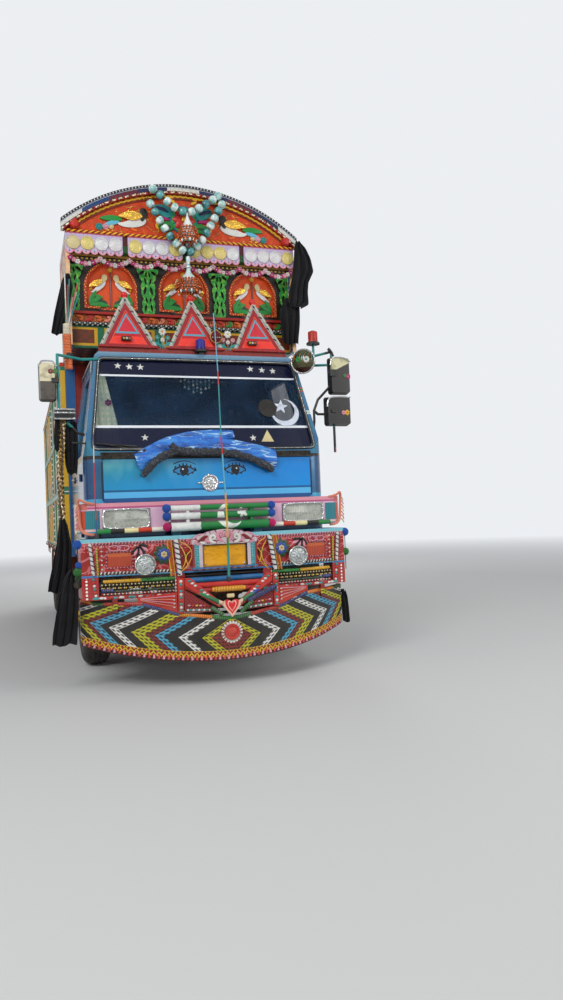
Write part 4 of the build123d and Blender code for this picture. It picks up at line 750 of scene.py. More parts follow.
@finish
def pediment_red(mix):
    """Arched field: orange red with carved tendrils and a yellow wavy moulding under the rim."""
    x, y, z = mix.place()
    side = abs(x)
    reach = middle_of(x, z - ARCH_CENTRE)
    along = x.turned(z - ARCH_CENTRE) * ARCH_R
    rope = z < 4.4325
    rope_turn = band_row(side + z * 1.6, 0.058, 0.5)
    curl = (side * 34.0 + (z * 27.0).sine() * 2.0).sine() + (z * 41.0 + (side * 23.0).sine() * 2.2).sine()
    tendril = abs(curl) < 0.2
    hook = scroll_pattern(x + z * 0.35, tiled(z, 0.095), 0.105, 0.1)
    medallion = middle_of(x, z - 4.62)
    petal_turn = (z - 4.62).turned(x)
    petals = abs((petal_turn * 8.0).sine())
    colour = mix.pick(
        "#d2430f", (mix.noise(9.0, 4.0).fade(0.4, 0.7) * 0.35, "#b32a0c"), (tendril * 0.85, "#8f1d10"),
        (hook * 0.75, "#a3260f"), ((abs(curl) < 0.07) * 0.9, "#e9a03a"), (reach > 1.818, "#8e1c12"),
        (medallion < 0.152, "#0c6f7a"), ((medallion < 0.135) * (petals > 0.45), "#1aa24a"),
        (medallion < 0.075, "#d43a1c"), ((medallion < 0.06) * (petals > 0.35), "#f2c53c"),
        (medallion < 0.026, "#f3efe6"), (rope, "#8f160f"), (rope * rope_turn, "#efb62a"),
    )
    mix.paint(colour, 0.32, 0.3, 0.25, "#7a5030")
    mix.bump(
        (abs(curl) < 0.12) * 0.8 + hook * -0.5 + (medallion < 0.135) * petals + rope * rope_turn * 0.8, 0.006,
    )
    mix.coat(0.35, 0.12)


@finish
def cornice_dark(mix):
    x, y, z = mix.place()
    moulding = z.within(4.186, 4.204)
    lower = z < 4.19
    colour = mix.pick(
        "#4a0d18", (z < 4.3, "#1f4a1d"), (lower, "#20180f"), (moulding, "#b88a3a"),
        (lower * band_row(x, 0.046, 0.45) * z.within(4.158, 4.172), "#d9a83c"),
    )
    mix.paint(colour, 0.4, 0.3, 0.3, "#6b5a40")
    mix.bump(moulding + mix.noise(50.0, 3.0) * 0.3, 0.003)


@finish
def valance_enamel(mix):
    """Scalloped boards: pale lilac pink with a rose rim that follows the scallops and dark dots."""
    x, y, z = mix.place()
    pitch = 0.5675 / 7
    board = 0.5675 + 0.052
    local = tiled(x, board, 0.0)
    near = tiled(local, pitch, 0.5)
    scallop = middle_of(near, z - 4.2255)
    rim = (scallop > 0.028) * (z < 4.2255)
    dot = middle_of(near, z - 4.212) < 0.0065
    upper_dots = dots(local + 0.0405, z - 4.238, 0.081, 0.03, 0.0055) * z.within(4.225, 4.25)
    top_dots = dots(local, z - 4.372, 0.0405, 0.03, 0.0055) * z.within(4.36, 4.385)
    colour = mix.pick(
        "#c3b4cf", (mix.noise(15.0, 3.0).fade(0.45, 0.7) * 0.3, "#b08fae"), (z > 4.345, "#b8a6c6"),
        (rim, "#dc8fa2"), (dot.most(upper_dots).most(top_dots), "#5a1f3a"), (z > 4.388, "#a43a52"),
    )
    mix.paint(colour, 0.3, 0.35, 0.4, "#7a5a55")
    mix.bump(rim * 0.8 + dot, 0.003)
    mix.coat(0.35, 0.1)


@finish
def crown_sides(mix):
    """Side boards of the crown: cream front edge, red board with a blue and yellow frame and flowers."""
    x, y, z = mix.place()
    front_edge = y < -2.945
    side = abs(x)
    u = ((y + 2.4) / 0.5).share() - 0.5
    v = ((z - 3.27) / 0.565).share() - 0.5
    border = (abs(u) > 0.44).most(abs(v) > 0.44)
    line = (abs(u) > 0.4).most(abs(v) > 0.4)
    bloom = flower(u * 0.5, v * 0.565, 0.17, 8)
    heart = flower(u * 0.5, v * 0.565, 0.09, 8)
    colour = mix.pick(
        "#9c1c16", (bloom, "#e9a93a"), (heart, "#1f8a8f"), (line, "#e4bf3a"), (border, "#1d4f8c"),
        (dots(y, z, 0.05, 0.05, 0.009) * border, "#f1efe6"), (front_edge, "#e7b98e"),
        (front_edge * mix.noise(20.0, 4.0).fade(0.5, 0.7) * 0.5, "#a97a55"),
        ((z < 3.285) * (side < 1.165), "#3a1512"),
        ((z < 3.285) * (side < 1.165) * dots(x, y, 0.12, 0.12, 0.022), "#a8541f"),
    )
    grain = mix.grain((2, 0.5, 2), 0.6)
    mix.paint(colour, 0.36, 0.5, 0.5, "#6b5a40")
    mix.bump(grain * 0.3 + line * 0.5, 0.003)
    mix.coat(0.25, 0.2)


@finish
def body_panels(mix, run_axis, columns, pitch, middle, rows, tall, mid_z, base="#a5231a"):
    """Painted boarding in recessed panels, each with a framed flower; the stiles are dotted."""
    at = mix.place()
    run, z = at[run_axis], at[2]
    column = (run - middle) / pitch + columns / 2.0
    rise = (z - mid_z) / tall + rows / 2.0
    u = (column.share() - 0.5) * pitch
    v = (rise.share() - 0.5) * tall
    odd = ((column.whole() + rise.whole()) / 2.0).share() > 0.25
    half_u, half_v = pitch / 2, tall / 2
    stile = (abs(u) > half_u - 0.045).most(abs(v) > half_v - 0.045)
    inner_line = (abs(u) > half_u - 0.07).most(abs(v) > half_v - 0.07)
    reach = min(half_u, half_v) - 0.1
    bloom = flower(u, v, reach * 0.8, 8)
    mid = flower(u, v, reach * 0.52, 8)
    heart = flower(u, v, reach * 0.22, 6)
    leaf = flower(abs(u) - (half_u - 0.15), abs(v) - (half_v - 0.15), 0.075, 4, 0.6)
    ring = middle_of(u, v).within(reach * 0.9, reach * 0.97)
    colour = mix.pick(
        base, (odd, "#1c5a94"), (ring, "#f0c22f"), (bloom, "#e8d9b8"), (mid, "#d9571f"), (heart, "#f0c22f"),
        (leaf, "#2f9a4a"), (inner_line, "#e8b62c"), (stile, "#1f7a5c"),
        (dots(run, z, 0.09, 0.09, 0.016) * stile, "#f3eee0"), ((z < 1.16).most(z > 3.255), "#c4341f"),
    )
    grain = mix.grain((1.5, 0.15, 3.0), 0.8)
    inside = (abs(at[0]) < 1.197) * (at[1] < 4.225) if run_axis == 1 else (at[1] < 4.228)
    seam = band_row(z, 0.175, 0.03)
    timber = mix.pick("#7d6244", (seam, "#1d1712"), (mix.noise(3.0, 4.0, (0.3, 0.3, 3)) * 0.5, "#4f3c28"))
    colour = mix.over(inside, colour, timber)
    colour = mix.pick(colour, (grain * 0.15, "#1c120c"))
    mix.paint(colour, 0.38, 0.8, 0.7, "#8a6a48")
    mix.bump(grain * 0.4 + bloom * 0.25, 0.003)
    mix.coat(0.2, 0.2)


@finish
def triangle_enamel(mix):
    """Roof triangles: bright red reflector face, dark red rim, blue outline of an inner triangle."""
    x, y, z = mix.place()
    local = tiled(x, 0.67, 0.5)
    rise = (z - 3.172) / 0.573
    edge = abs(local) / 0.2875 + rise
    outline = ((abs(local) / 0.118 + (rise - 0.265) / 0.385) < 1.0) * (rise > 0.265)
    core_in = ((abs(local) / 0.09 + (rise - 0.3) / 0.295) < 1.0) * (rise > 0.3)
    field = ((abs(local) / 0.162 + (rise - 0.215) / 0.54) < 1.0) * (rise > 0.215)
    foil = (edge > 0.86) * (rise > 0.05)
    rim = (edge > 0.71) * (edge < 0.86)
    ball = z > 3.712
    prism = mix.cells(90.0).fade(0.1, 0.5)
    fleck = dots(local + z, z, 0.062, 0.062, 0.012) * foil
    colour = mix.pick(
        "#e3261c", (prism * 0.35, "#ff4a36"), (field, "#b8121c"), (outline, "#4f9fb4"), (core_in, "#bd1228"),
        (core_in * prism * 0.4, "#dc3040"), (rim.most(rise < 0.07), "#97101a"),
        ((edge > 0.69) * (edge < 0.712) * (rise > 0.07), "#e9583a"), (foil, "#8f8f86"),
        (foil * prism * 0.6, "#c9c7bb"), (fleck, "#3a3834"), (ball, "#d11f1c"), (z < 3.178, "#8e2a22"),
    )
    mix.paint(colour, 0.22, 0.25, 0.25, "#5c2420")
    mix.bump(prism * 0.5 + outline * 0.6 + foil, 0.004)
    mix.coat(0.6, 0.06)


@finish
def woven_skirt(mix):
    """Bead-woven skirt: chevrons of open ladder work pointing outwards from a centre diamond."""
    x, y, z = mix.place()
    side = abs(x)
    rise = z - (side * side * 0.125 + 0.432)
    fall = abs(rise)
    chevron = side + rise.most(0.0) * 1.55 + (-rise).most(0.0) * 1.15
    lane = (chevron / 0.038).share() - 0.5
    rung = (fall / 0.03).share() - 0.5
    hole = (abs(lane) < 0.3) * (abs(rung) < 0.3)
    thread = hole.off()
    bands = (
        (-1.0, 0.19, "#82241d"), (0.19, 0.266, "#c3bd23"), (0.39, 0.466, "#e8e6e0"), (0.584, 0.66, "#4fa6c8"),
        (0.66, 0.736, "#7c2420"), (0.736, 0.85, "#c3bd23"), (0.95, 1.026, "#e8e6e0"), (1.1, 1.176, "#4fa6c8"),
        (1.176, 1.23, "#7c2420"), (1.23, 1.306, "#c3bd23"), (1.368, 1.41, "#e8e6e0"), (1.45, 1.52, "#4fa6c8"),
    )
    colour = "#0e0e0f"
    for low, high, code in bands:
        colour = mix.over(chevron.within(low, high), colour, code)
    sheen = mix.noise(90.0, 2.0).fade(0.35, 0.65)
    drop = z - (side * side * 0.1075 + 0.232)
    border = drop < 0.08
    zig = abs((side / 0.045).share() - 0.5) * 0.06 + 0.04
    zig_line = abs(drop - zig) < 0.0085
    disc = middle_of(x, z - 0.473)
    spokes = abs(((z - 0.473).turned(x) * 10.0).sine())
    colour = mix.pick(
        # painted shade: the open holes of the ladder work are near black
        colour, (hole * 0.92, "#0b0b0b"), (sheen * thread * 0.18, "#000000"), (z > 0.764, "#8a1c18"),
        (disc < 0.098, "#8a1c18"), ((disc < 0.096) * (disc > 0.068) * (spokes > 0.62), "#f0eee6"),
        (disc < 0.07, "#df1a12"), (border, "#9c1d1a"), (border * zig_line, "#d9c22c"),
        (drop < 0.03, "#4a0f12"), (drop.within(0.078, 0.086), "#c9a42c"),
    )
    mix.dusty(colour, 0.16, 0.42)
    mix.bump(thread * (disc > 0.07) + border * zig_line, 0.01)


@finish
def cloth_finish(mix, code, thread=0.004, sheen=0.3, fade="#2b2b2e"):
    colour = mix.pick(code, (mix.noise(6.0, 4.0).fade(0.4, 0.7) * 0.35, fade))
    mix.plain(colour, mix.noise(12.0, 3.0) * 0.15 + 0.7)
    mix.give("Sheen Weight", sheen)
    mix.give("Specular IOR Level", 0.2)
    mix.bump(mix.weave(thread) * 0.5 + mix.noise(25.0, 3.0), 0.002)


@finish
def blue_vinyl(mix):
    crease = mix.noise(9.0, 5.0, (1, 1, 2.4))
    fine = mix.noise(38.0, 4.0)
    # painted light: raised creases lightened, hollows shaded, fine pale flecks as painted highlights
    colour = mix.pick(
        "#0f52b4", (crease.fade(0.5, 0.7) * 0.6, "#2f86df"), (crease.fade(0.5, 0.3) * 0.5, "#092f74"),
        (fine.fade(0.6, 0.75) * 0.35, "#9cc6ee"),
    )
    mix.plain(colour, fine * 0.2 + 0.16)
    mix.bump(crease * 1.2 + fine * 0.3, 0.012)
    mix.coat(0.5, 0.1)


@finish
def front_boards(mix):
    """Upright boards of the front wall: red with a blue frame seen from ahead, bare inside the load space."""
    x, y, z = mix.place()
    side = abs(x)
    seam = band_row(x, 0.155, 0.035)
    frame = (side > 1.09).most(z > 4.33).most(z.within(3.3, 3.36))
    rosette = middle_of(x, z - 3.85)
    petals = flower(x, z - 3.85, 0.36, 12)
    painted = mix.pick(
        "#8a1c16", (rosette.within(0.4, 0.43), "#e8b62c"), (petals * (z > 3.4), "#e8d9b8"),
        (rosette < 0.17, "#d9571f"), (rosette < 0.07, "#f0c22f"), (frame, "#1c5a94"), (seam * 0.7, "#2a0d0a"),
    )
    timber = mix.pick("#7d6244", (mix.noise(4.0, 4.0, (3, 0.3, 0.3)) * 0.5, "#4f3c28"), (seam, "#1d1712"))
    mix.paint(mix.over((y > -1.872) * (z < 3.31), painted, timber), 0.42, 0.7, 0.6)
    mix.bump(seam * -1.0 + mix.noise(60.0, 3.0) * 0.2, 0.004)


@finish
def striped_bar(mix):
    """Slanting red and white warning stripes, scratched and dusty."""
    x, y, z = mix.place()
    mix.paint(
        mix.pick("#d8d2c2", (band_row(abs(x) + z * 0.8, 0.16, 0.5), "#b3201a")), 0.42, 1.0, 0.8, "#4a4038",
    )


# Finish of each CAD node


def finish_with(piece, finish):
    if finish:
        piece.data.materials.clear()
        piece.data.materials.append(finish)
    return piece


def dress(node, finish):
    finish_with(NODES[node], finish)


def dress_running_gear():
    for side in ("left", "right"):
        for end, axle_y in (("front", FRONT_AXLE), ("rear", REAR_AXLE)):
            dress(f"tyre_{end}_{side}", tyre_rubber(f"tyre_{end}_{side}", axle_y))
            dress(f"rim_{end}_{side}", wheel_enamel(f"wheel_{end}_{side}", axle_y))
        dress(f"knuckle_{side}", STEEL)
    for node in ("front_axle", "rear_axle", "tie_rod"):
        dress(node, STEEL)
    dress("leaf_springs", RUSTY)
    dress("engine", RUSTY)
    dress("chassis_frame", plain_paint("chassis_red", "#5b1c18", 0.5, 1.0, 0.8))
    dress("fuel_tank", plain_paint("tank_blue", "#20588a", 0.4, 1.0, 0.7))
    dress("tool_box", plain_paint("box_red", "#8e2018", 0.4, 1.0, 0.7))


def dress_cab():
    dress("cab_shell", cab_enamel("cab_blue"))
    for side in ("left", "right"):
        dress(f"door_{side}", cab_enamel(f"door_blue_{side}"))
        dress(f"door_glass_{side}", door_pane(f"door_pane_{side}"))
    dress("windscreen", tinted_screen("windscreen_film"))
    dress("front_panel", panel_enamel("panel_blue"))
    dress("lamp_panel", lamp_bar_enamel("lamp_bar"))
    dress("lamps", lamp_glasses("lamp_glass"))
    dress("front_tubes", tube_enamel("flag_tubes"))
    dress("cab_steps", plain_paint("step_steel", "#39404a", 0.5, 1.0, 0.9))
    dress("dashboard", dark_trim("dash_trim", "#1b3038"))
    dress("steering_wheel", dark_trim("wheel_trim", "#151515"))
    dress("seats", dark_trim("seat_base", "#4a2022"))
    dress("mirrors", mirror_enamel("mirror_heads"))
    dress("bumper", bumper_enamel("bumper_red"))
    dress("plate_frame", plate_surround("plate_surround"))
    dress("v_bars", bar_enamel("bar_paint"))
    dress("skirt", woven_skirt("woven_skirt"))


def dress_body():
    long_side = (1, 8, 0.76325, 1.178, 3, 0.7, 2.205)
    dress("body_sides", body_panels("side_panels", *long_side))
    dress("body_front_wall", front_boards("front_wall_red"))
    dress("body_floor", old_boards("floor_boards"))
    dress("rear_frame", plain_paint("rear_frame_green", "#1f7a5c", 0.4, 0.8, 0.7))
    dress("tailgate", body_panels("gate_panels", 0, 3, 0.716, 0.0, 1, 0.974, 1.763, "#1c5a94"))
    for side, middle in (("left", 0.539), ("right", -0.539)):
        dress(f"rear_door_{side}", body_panels(f"leaf_panels_{side}", 0, 1, 1.07, middle, 1, 0.908, 2.71))
    dress("rear_bumper", striped_bar("rear_bar_stripes"))
    dress("rear_mudguards", plain_paint("mudguard_red", "#7d1c18", 0.45, 1.0, 0.7))


def dress_crown():
    dress("crown_front", carved_face("carved_face"))
    dress("crown_columns", fretwork_green("fretwork_green"))
    dress("crown_box", crown_sides("crown_sides"))
    dress("cornice", cornice_dark("cornice"))
    dress("valances", valance_enamel("valances"))
    dress("pediment", pediment_red("pediment"))
    dress("arch_rim", arch_band("arch_band"))
    dress("roof_triangles", triangle_enamel("triangles"))
    dress("black_cloths", cloth_finish("cloth_under", "#131316"))
    dress("blue_sheet", blue_vinyl("vinyl_under"))


STEEL = rough_casting("worn_steel", "#3b3835")
RUSTY = rough_casting("rusty_steel", "#3a2b24")
dress_running_gear()
dress_cab()
dress_body()
dress_crown()


# Modelling steps used for every new piece


def only(piece):
    """Selects this piece and nothing else."""
    bpy.ops.object.select_all(action="DESELECT")
    piece.select_set(True)
    bpy.context.view_layer.objects.active = piece
    return piece


def settled(piece):
    """Takes a piece's place, turn and size into its mesh."""
    only(piece)
    bpy.ops.object.transform_apply(location=True, rotation=True, scale=True)
    return piece


def placed(piece, place):
    piece.location = place
    return settled(piece)


def blank(add, **measures):
    """A primitive to model from, with its measures taken into its mesh."""
    bpy.ops.object.select_all(action="DESELECT")
    add(**measures)
    return settled(bpy.context.object)


def cube_blank(low, high):
    """A box to model from, between two corners."""
    middle = [(a + b) / 2 for a, b in zip(low, high)]
    return blank(
        bpy.ops.mesh.primitive_cube_add, size=1, location=middle, scale=[b - a for a, b in zip(low, high)],
    )


def ball_blank(radius, segments, rings):
    return blank(bpy.ops.mesh.primitive_uv_sphere_add, segments=segments, ring_count=rings, radius=radius)


def disc_blank(place, radius, depth, sides, facing="y"):
    """A short cylinder to model from, its axis along one axis."""
    turn = {"x": (0, math.pi / 2, 0), "y": (math.pi / 2, 0, 0), "z": (0, 0, 0)}[facing]
    return blank(
        bpy.ops.mesh.primitive_cylinder_add, vertices=sides, radius=radius, depth=depth, location=place,
        rotation=turn,
    )


def edit_faces(piece, test):
    """Edit mode, with only the faces selected whose centre and normal pass the test."""
    only(piece)
    bpy.ops.object.mode_set(mode="EDIT")
    bpy.ops.mesh.select_mode(type="FACE")
    bpy.ops.mesh.select_all(action="DESELECT")
    bpy.ops.object.mode_set(mode="OBJECT")
    for face in piece.data.polygons:
        face.select = test(face.center, face.normal)
    bpy.ops.object.mode_set(mode="EDIT")


def pressed(piece, test, *steps, each=False):
    """Insets and pushes the faces that pass the test: every step is a thickness and a depth."""
    edit_faces(piece, test)
    for thickness, depth in steps:
        bpy.ops.mesh.inset(thickness=thickness, depth=depth, use_individual=each)
    bpy.ops.object.mode_set(mode="OBJECT")
    return piece


def divided(piece, test, cuts):
    edit_faces(piece, test)
    bpy.ops.mesh.subdivide(number_cuts=cuts)
    bpy.ops.object.mode_set(mode="OBJECT")
    return piece


def squeezed(piece, test, size):
    """Draws the faces that pass the test in or out about their middle."""
    edit_faces(piece, test)
    bpy.ops.transform.resize(value=size)
    bpy.ops.object.mode_set(mode="OBJECT")
    return piece


def whole(centre, normal):
    return True


def front(centre, normal):
    return normal.y < -0.7


def back_side(centre, normal):
    return normal.y > 0.7


def top_side(centre, normal):
    return normal.z > 0.7


def underside(centre, normal):
    return normal.z < -0.8


def outward(side):
    """A test for the faces that look out to one side of the truck."""
    return lambda centre, normal: normal.x * side > 0.7


def modified(piece, kind, **settings):
    """Adds one modifier with its settings and applies it."""
    only(piece)
    step = piece.modifiers.new("step", kind)
    for setting, value in settings.items():
        setattr(step, setting, value)
    bpy.ops.object.modifier_apply(modifier=step.name)
    return piece


def soften(piece, width, segments=2, angle=40):
    """Rounds the sharp edges with a bevel modifier and applies it."""
    return modified(
        piece, "BEVEL", width=width, segments=segments, limit_method="ANGLE", angle_limit=math.radians(angle),
    )


def smooth_out(piece):
    return modified(piece, "SUBSURF", levels=1, render_levels=1)


def as_cloth(grid, thick):
    """Gives a folded grid its thickness and rounds its folds."""
    return smooth_out(modified(grid, "SOLIDIFY", thickness=thick, offset=0))


def new_curve(lines, closed, flat):
    """A curve of NURBS splines through control points, given as (x, y, z) or (x, y, z, radius)."""
    bpy.ops.object.select_all(action="DESELECT")
    data = bpy.data.curves.new("route", "CURVE")
    data.dimensions = "2D" if flat else "3D"
    data.resolution_u = 6
    for points in lines:
        spline = data.splines.new("NURBS")
        spline.points.add(len(points) - 1)
        for knot, point in zip(spline.points, points):
            knot.co = (*point[:3], 1)
            knot.radius = point[3] if len(point) > 3 else 1
        spline.use_cyclic_u = closed
        spline.order_u = 3
        spline.use_endpoint_u = not closed
    curve = bpy.data.objects.new("route", data)
    bpy.context.scene.collection.objects.link(curve)
    return curve


def as_mesh(curve):
    only(curve)
    bpy.ops.object.convert(target="MESH")
    return bpy.context.object


def tube(lines, radius, finish=None, closed=False, sides=2, detail=6):
    """Round bars or cords along lines of points, as one mesh with closed ends."""
    curve = new_curve(lines, closed, False)
    curve.data.resolution_u = detail
    curve.data.bevel_depth = radius
    curve.data.bevel_resolution = sides
    curve.data.use_fill_caps = True
    return finish_with(as_mesh(curve), finish)


def cut_out(outlines, thick, edge):
    """Flat shapes sawn from sheet with a rounded edge, standing upright and facing the nose.

    Outlines are given as (x, z) points, the back lies on y = 0.
    """
    curve = new_curve([[(x, z, 0) for x, z in outline] for outline in outlines], True, True)
    curve.data.fill_mode = "BOTH"
    curve.data.extrude = max(thick / 2 - edge, 0.0005)
    curve.data.bevel_depth = edge
    curve.data.bevel_resolution = 1
    piece = as_mesh(curve)
    piece.rotation_euler = (math.pi / 2, 0, 0)
    return face_out(placed(piece, (0, -thick / 2, 0)), merge=True)


def set_out(model, spots, finishes=()):
    """Copies of a modelled piece, each with its own mesh, joined: spots are (place, turn, size)."""
    made = []
    mirrored = False
    for index, spot in enumerate(spots):
        twin = model.copy()
        twin.data = model.data.copy()
        bpy.context.scene.collection.objects.link(twin)
        twin.location = spot[0]
        twin.rotation_euler = spot[1] if len(spot) > 1 else (0, 0, 0)
        size = spot[2] if len(spot) > 2 else 1
        twin.scale = (size, size, size) if isinstance(size, (int, float)) else size
        mirrored = mirrored or min(twin.scale) < 0
        if finishes:
            twin.data.materials.clear()
            twin.data.materials.append(finishes[index % len(finishes)])
        made.append(twin)
    bpy.data.objects.remove(model)
    bpy.ops.object.select_all(action="DESELECT")
    for twin in made:
        twin.select_set(True)
    bpy.context.view_layer.objects.active = made[0]
    bpy.ops.object.transform_apply(location=True, rotation=True, scale=True)
    bpy.ops.object.join()
    if mirrored:
        face_out(made[0])
    return made[0]


def face_out(piece, merge=False):
    """Turns every face outwards, with the curve's doubled corners merged first where asked."""
    edit_faces(piece, whole)
    if merge:
        bpy.ops.mesh.remove_doubles(threshold=0.00005)
    bpy.ops.mesh.normals_make_consistent(inside=False)
    bpy.ops.object.mode_set(mode="OBJECT")
    return piece


def join(pieces):
    bpy.ops.object.select_all(action="DESELECT")
    for piece in pieces:
        piece.select_set(True)
    bpy.context.view_layer.objects.active = pieces[0]
    bpy.ops.object.join()
    return pieces[0]


def seat(piece, name, body="chassis", finish=None, smooth=35):
    """Last step of a piece: place, turn and size go into its mesh, then its name, finish and body."""
    settled(piece)
    if smooth:
        bpy.ops.object.shade_smooth_by_angle(angle=math.radians(smooth))
    piece.name = name
    finish_with(piece, finish)
    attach(piece, body)
    return piece


def arch_point(along, radius):
    """A point on the arch, from its length along the outer edge off the middle."""
    angle = along / ARCH_R
    return radius * math.sin(angle), ARCH_CENTRE + radius * math.cos(angle), angle


def bumper_y(x):
    """The bumper's front face at x."""
    return bow_y(x, BUMPER_HALF, BUMPER_NOSE, BUMPER_SWEEP)


def skirt_y(x):
    return bow_y(x, HALF_BODY, SKIRT_NOSE, SKIRT_SWEEP)


def bow_y(x, half, nose, sweep):
    radius = (half * half + sweep * sweep) / (2 * sweep)
    return nose + radius - math.sqrt(max(radius * radius - x * x, 0.0))


# Paints that several pieces take

RED = plain_paint("enamel_red", "#c4201a")
DEEP_RED = plain_paint("enamel_deep_red", "#7c1416")
YELLOW = plain_paint("enamel_yellow", "#e6b023")
ORANGE = plain_paint("enamel_orange", "#dd6418")
GREEN = plain_paint("enamel_green", "#128a35")
DARK_GREEN = plain_paint("enamel_dark_green", "#0c4426")
TEAL = plain_paint("enamel_teal", "#1c8f8d")
SKY = plain_paint("enamel_sky", "#5fb4cf")
BLUE = plain_paint("enamel_blue", "#1f4aa0")
NAVY = plain_paint("enamel_navy", "#11184a")
CREAM = plain_paint("enamel_cream", "#dccb96")
WHITE = plain_paint("enamel_white", "#dcdcd6")
PINK = plain_paint("enamel_pink", "#dd93a8")
SALMON = plain_paint("enamel_salmon", "#e0836a")
MAGENTA = plain_paint("enamel_magenta", "#b3206a")
BLACK = plain_paint("enamel_black", "#131313")


# Crown ornament


@finish
def pearl_finish(mix, code, second):
    """Pearly plastic: two tones in soft patches under a clear coat."""
    patch = mix.noise(16.0, 2.0).fade(0.4, 0.6)
    mix.plain(mix.over(patch, code, second), mix.noise(60.0, 3.0) * 0.2 + 0.12)
    mix.coat(0.7, 0.06)


@finish
def metal_finish(mix, code, rough, cut=60.0):
    """Beaten bright metal with a little tarnish."""
    tarnish = mix.noise(14.0, 5.0).fade(0.5, 0.75)
    mix.plain(mix.over(tarnish * 0.5, code, "#3a332b"), tarnish * 0.3 + rough)
    mix.give("Metallic", 0.9)
    mix.bump(mix.cells(cut).fade(0.05, 0.5), 0.003)


PEARL = pearl_finish("pearl_teal", "#7fb8b4", "#dfe9e4")
PEARL_DARK = pearl_finish("pearl_dark_teal", "#2d6f74", "#5aa5a4")
PEARL_WHITE = pearl_finish("pearl_white", "#e6e6df", "#a9cfd0")
COPPER = metal_finish("copper_beads", "#c9683a", 0.25)
CHROME = metal_finish("beaten_chrome", "#c3c5c4", 0.14)
GOLD = metal_finish("gold_foil", "#e0b04a", 0.25)


def lobed_bead(radius):
    """A round bead with melon lobes and a dimple at each pole."""
    bead = squeezed(
        ball_blank(radius, 16, 8), lambda centre, normal: abs(centre.z) > radius * 0.93, (0.6, 0.6, 0.82),
    )
    squeezed(
        bead, lambda centre, normal: int(math.atan2(centre.y, centre.x) / math.tau * 16 + 32) % 4 == 0,
        (0.96, 0.96, 1),
    )
    return bead


def petal_round(radius, petals, rise):
    """A flower head facing the nose: one petal modelled from a flattened ball and set round a boss."""
    petal = squeezed(ball_blank(1, 8, 6), lambda centre, normal: centre.z > 0.4, (0.7, 0.5, 1))
    width = radius * math.sin(math.pi / petals) * 0.98
    spots = []
    for index in range(petals):
        angle = math.tau * index / petals
        spots.append((
            (math.sin(angle) * radius * 0.6, 0, math.cos(angle) * radius * 0.6), (0, angle, 0),
            (width, rise, radius * 0.4),
        ))
    return set_out(petal, spots)


def flower_head(radius, petals, rise, petal_finish, heart_finish):
    petals_made = finish_with(petal_round(radius, petals, rise), petal_finish)
    heart = pressed(ball_blank(radius * 0.3, 10, 6), front, (radius * 0.05, -radius * 0.04))
    finish_with(heart, heart_finish)
    return join([petals_made, heart])


# Outlines of sawn ornament, as (x, z) in shares of its size
WING = (
    (0, 0), (0.1, 0.13), (0.34, 0.22), (0.62, 0.2), (0.98, 0.02), (0.72, -0.02), (0.5, -0.12), (0.22, -0.12),
)
BODY = (
    (0, 0.02), (0.1, 0.14), (0.3, 0.15), (0.52, 0.02), (0.86, -0.13), (1.05, -0.1), (0.86, -0.24),
    (0.44, -0.24), (0.12, -0.14),
)
NECK = ((0, 0), (-0.11, 0.16), (-0.06, 0.32), (0.07, 0.34), (0.14, 0.22), (0.13, 0.04), (0.08, -0.08))
BROAD = (
    (0, 0), (0.1, 0.3), (0.42, 0.4), (0.8, 0.24), (1.02, 0.04), (0.8, -0.14), (0.46, -0.22), (0.14, -0.18),
)
LEAF = ((0, 0), (0.16, 0.13), (0.45, 0.17), (0.8, 0.09), (1.02, -0.03), (0.75, -0.08), (0.4, -0.05))
SCROLL = (
    (0, 0), (0.26, 0.12), (0.44, 0.38), (0.34, 0.66), (0.08, 0.66), (0.02, 0.46), (0.18, 0.38), (0.24, 0.5),
    (0.3, 0.34), (0.1, 0.28), (-0.1, 0.46), (-0.04, 0.78), (0.3, 0.86), (0.6, 0.66), (0.64, 0.3),
    (0.42, 0.02), (0.16, -0.1),
)
CURL = (
    (0, 0), (0.3, 0.04), (0.52, 0.24), (0.5, 0.48), (0.3, 0.56), (0.18, 0.44), (0.26, 0.34), (0.34, 0.42),
    (0.38, 0.3), (0.22, 0.2), (0.02, 0.16),
)


def shaped(outline, place, size, side, thick, finish, turn=0.0):
    """One sawn shape at a place on a front face; side -1 mirrors it."""
    turned = []
    for u, v in outline:
        x = (u * math.cos(turn) - v * math.sin(turn)) * size * side
        z = (u * math.sin(turn) + v * math.cos(turn)) * size
        turned.append((place[0] + x, place[2] + z))
    return finish_with(placed(cut_out([turned], thick, min(thick * 0.3, 0.004)), (0, place[1], 0)), finish)


def boss(place, radius, thick, finish, sides=16):
    """A round stud with a stepped and domed face."""
    stud = pressed(
        disc_blank((place[0], place[1] - thick / 2, place[2]), radius, thick, sides), front,
        (radius * 0.22, 0), (radius * 0.1, -thick * 0.35), (radius * 0.25, thick * 0.6),
    )
    return finish_with(stud, finish)


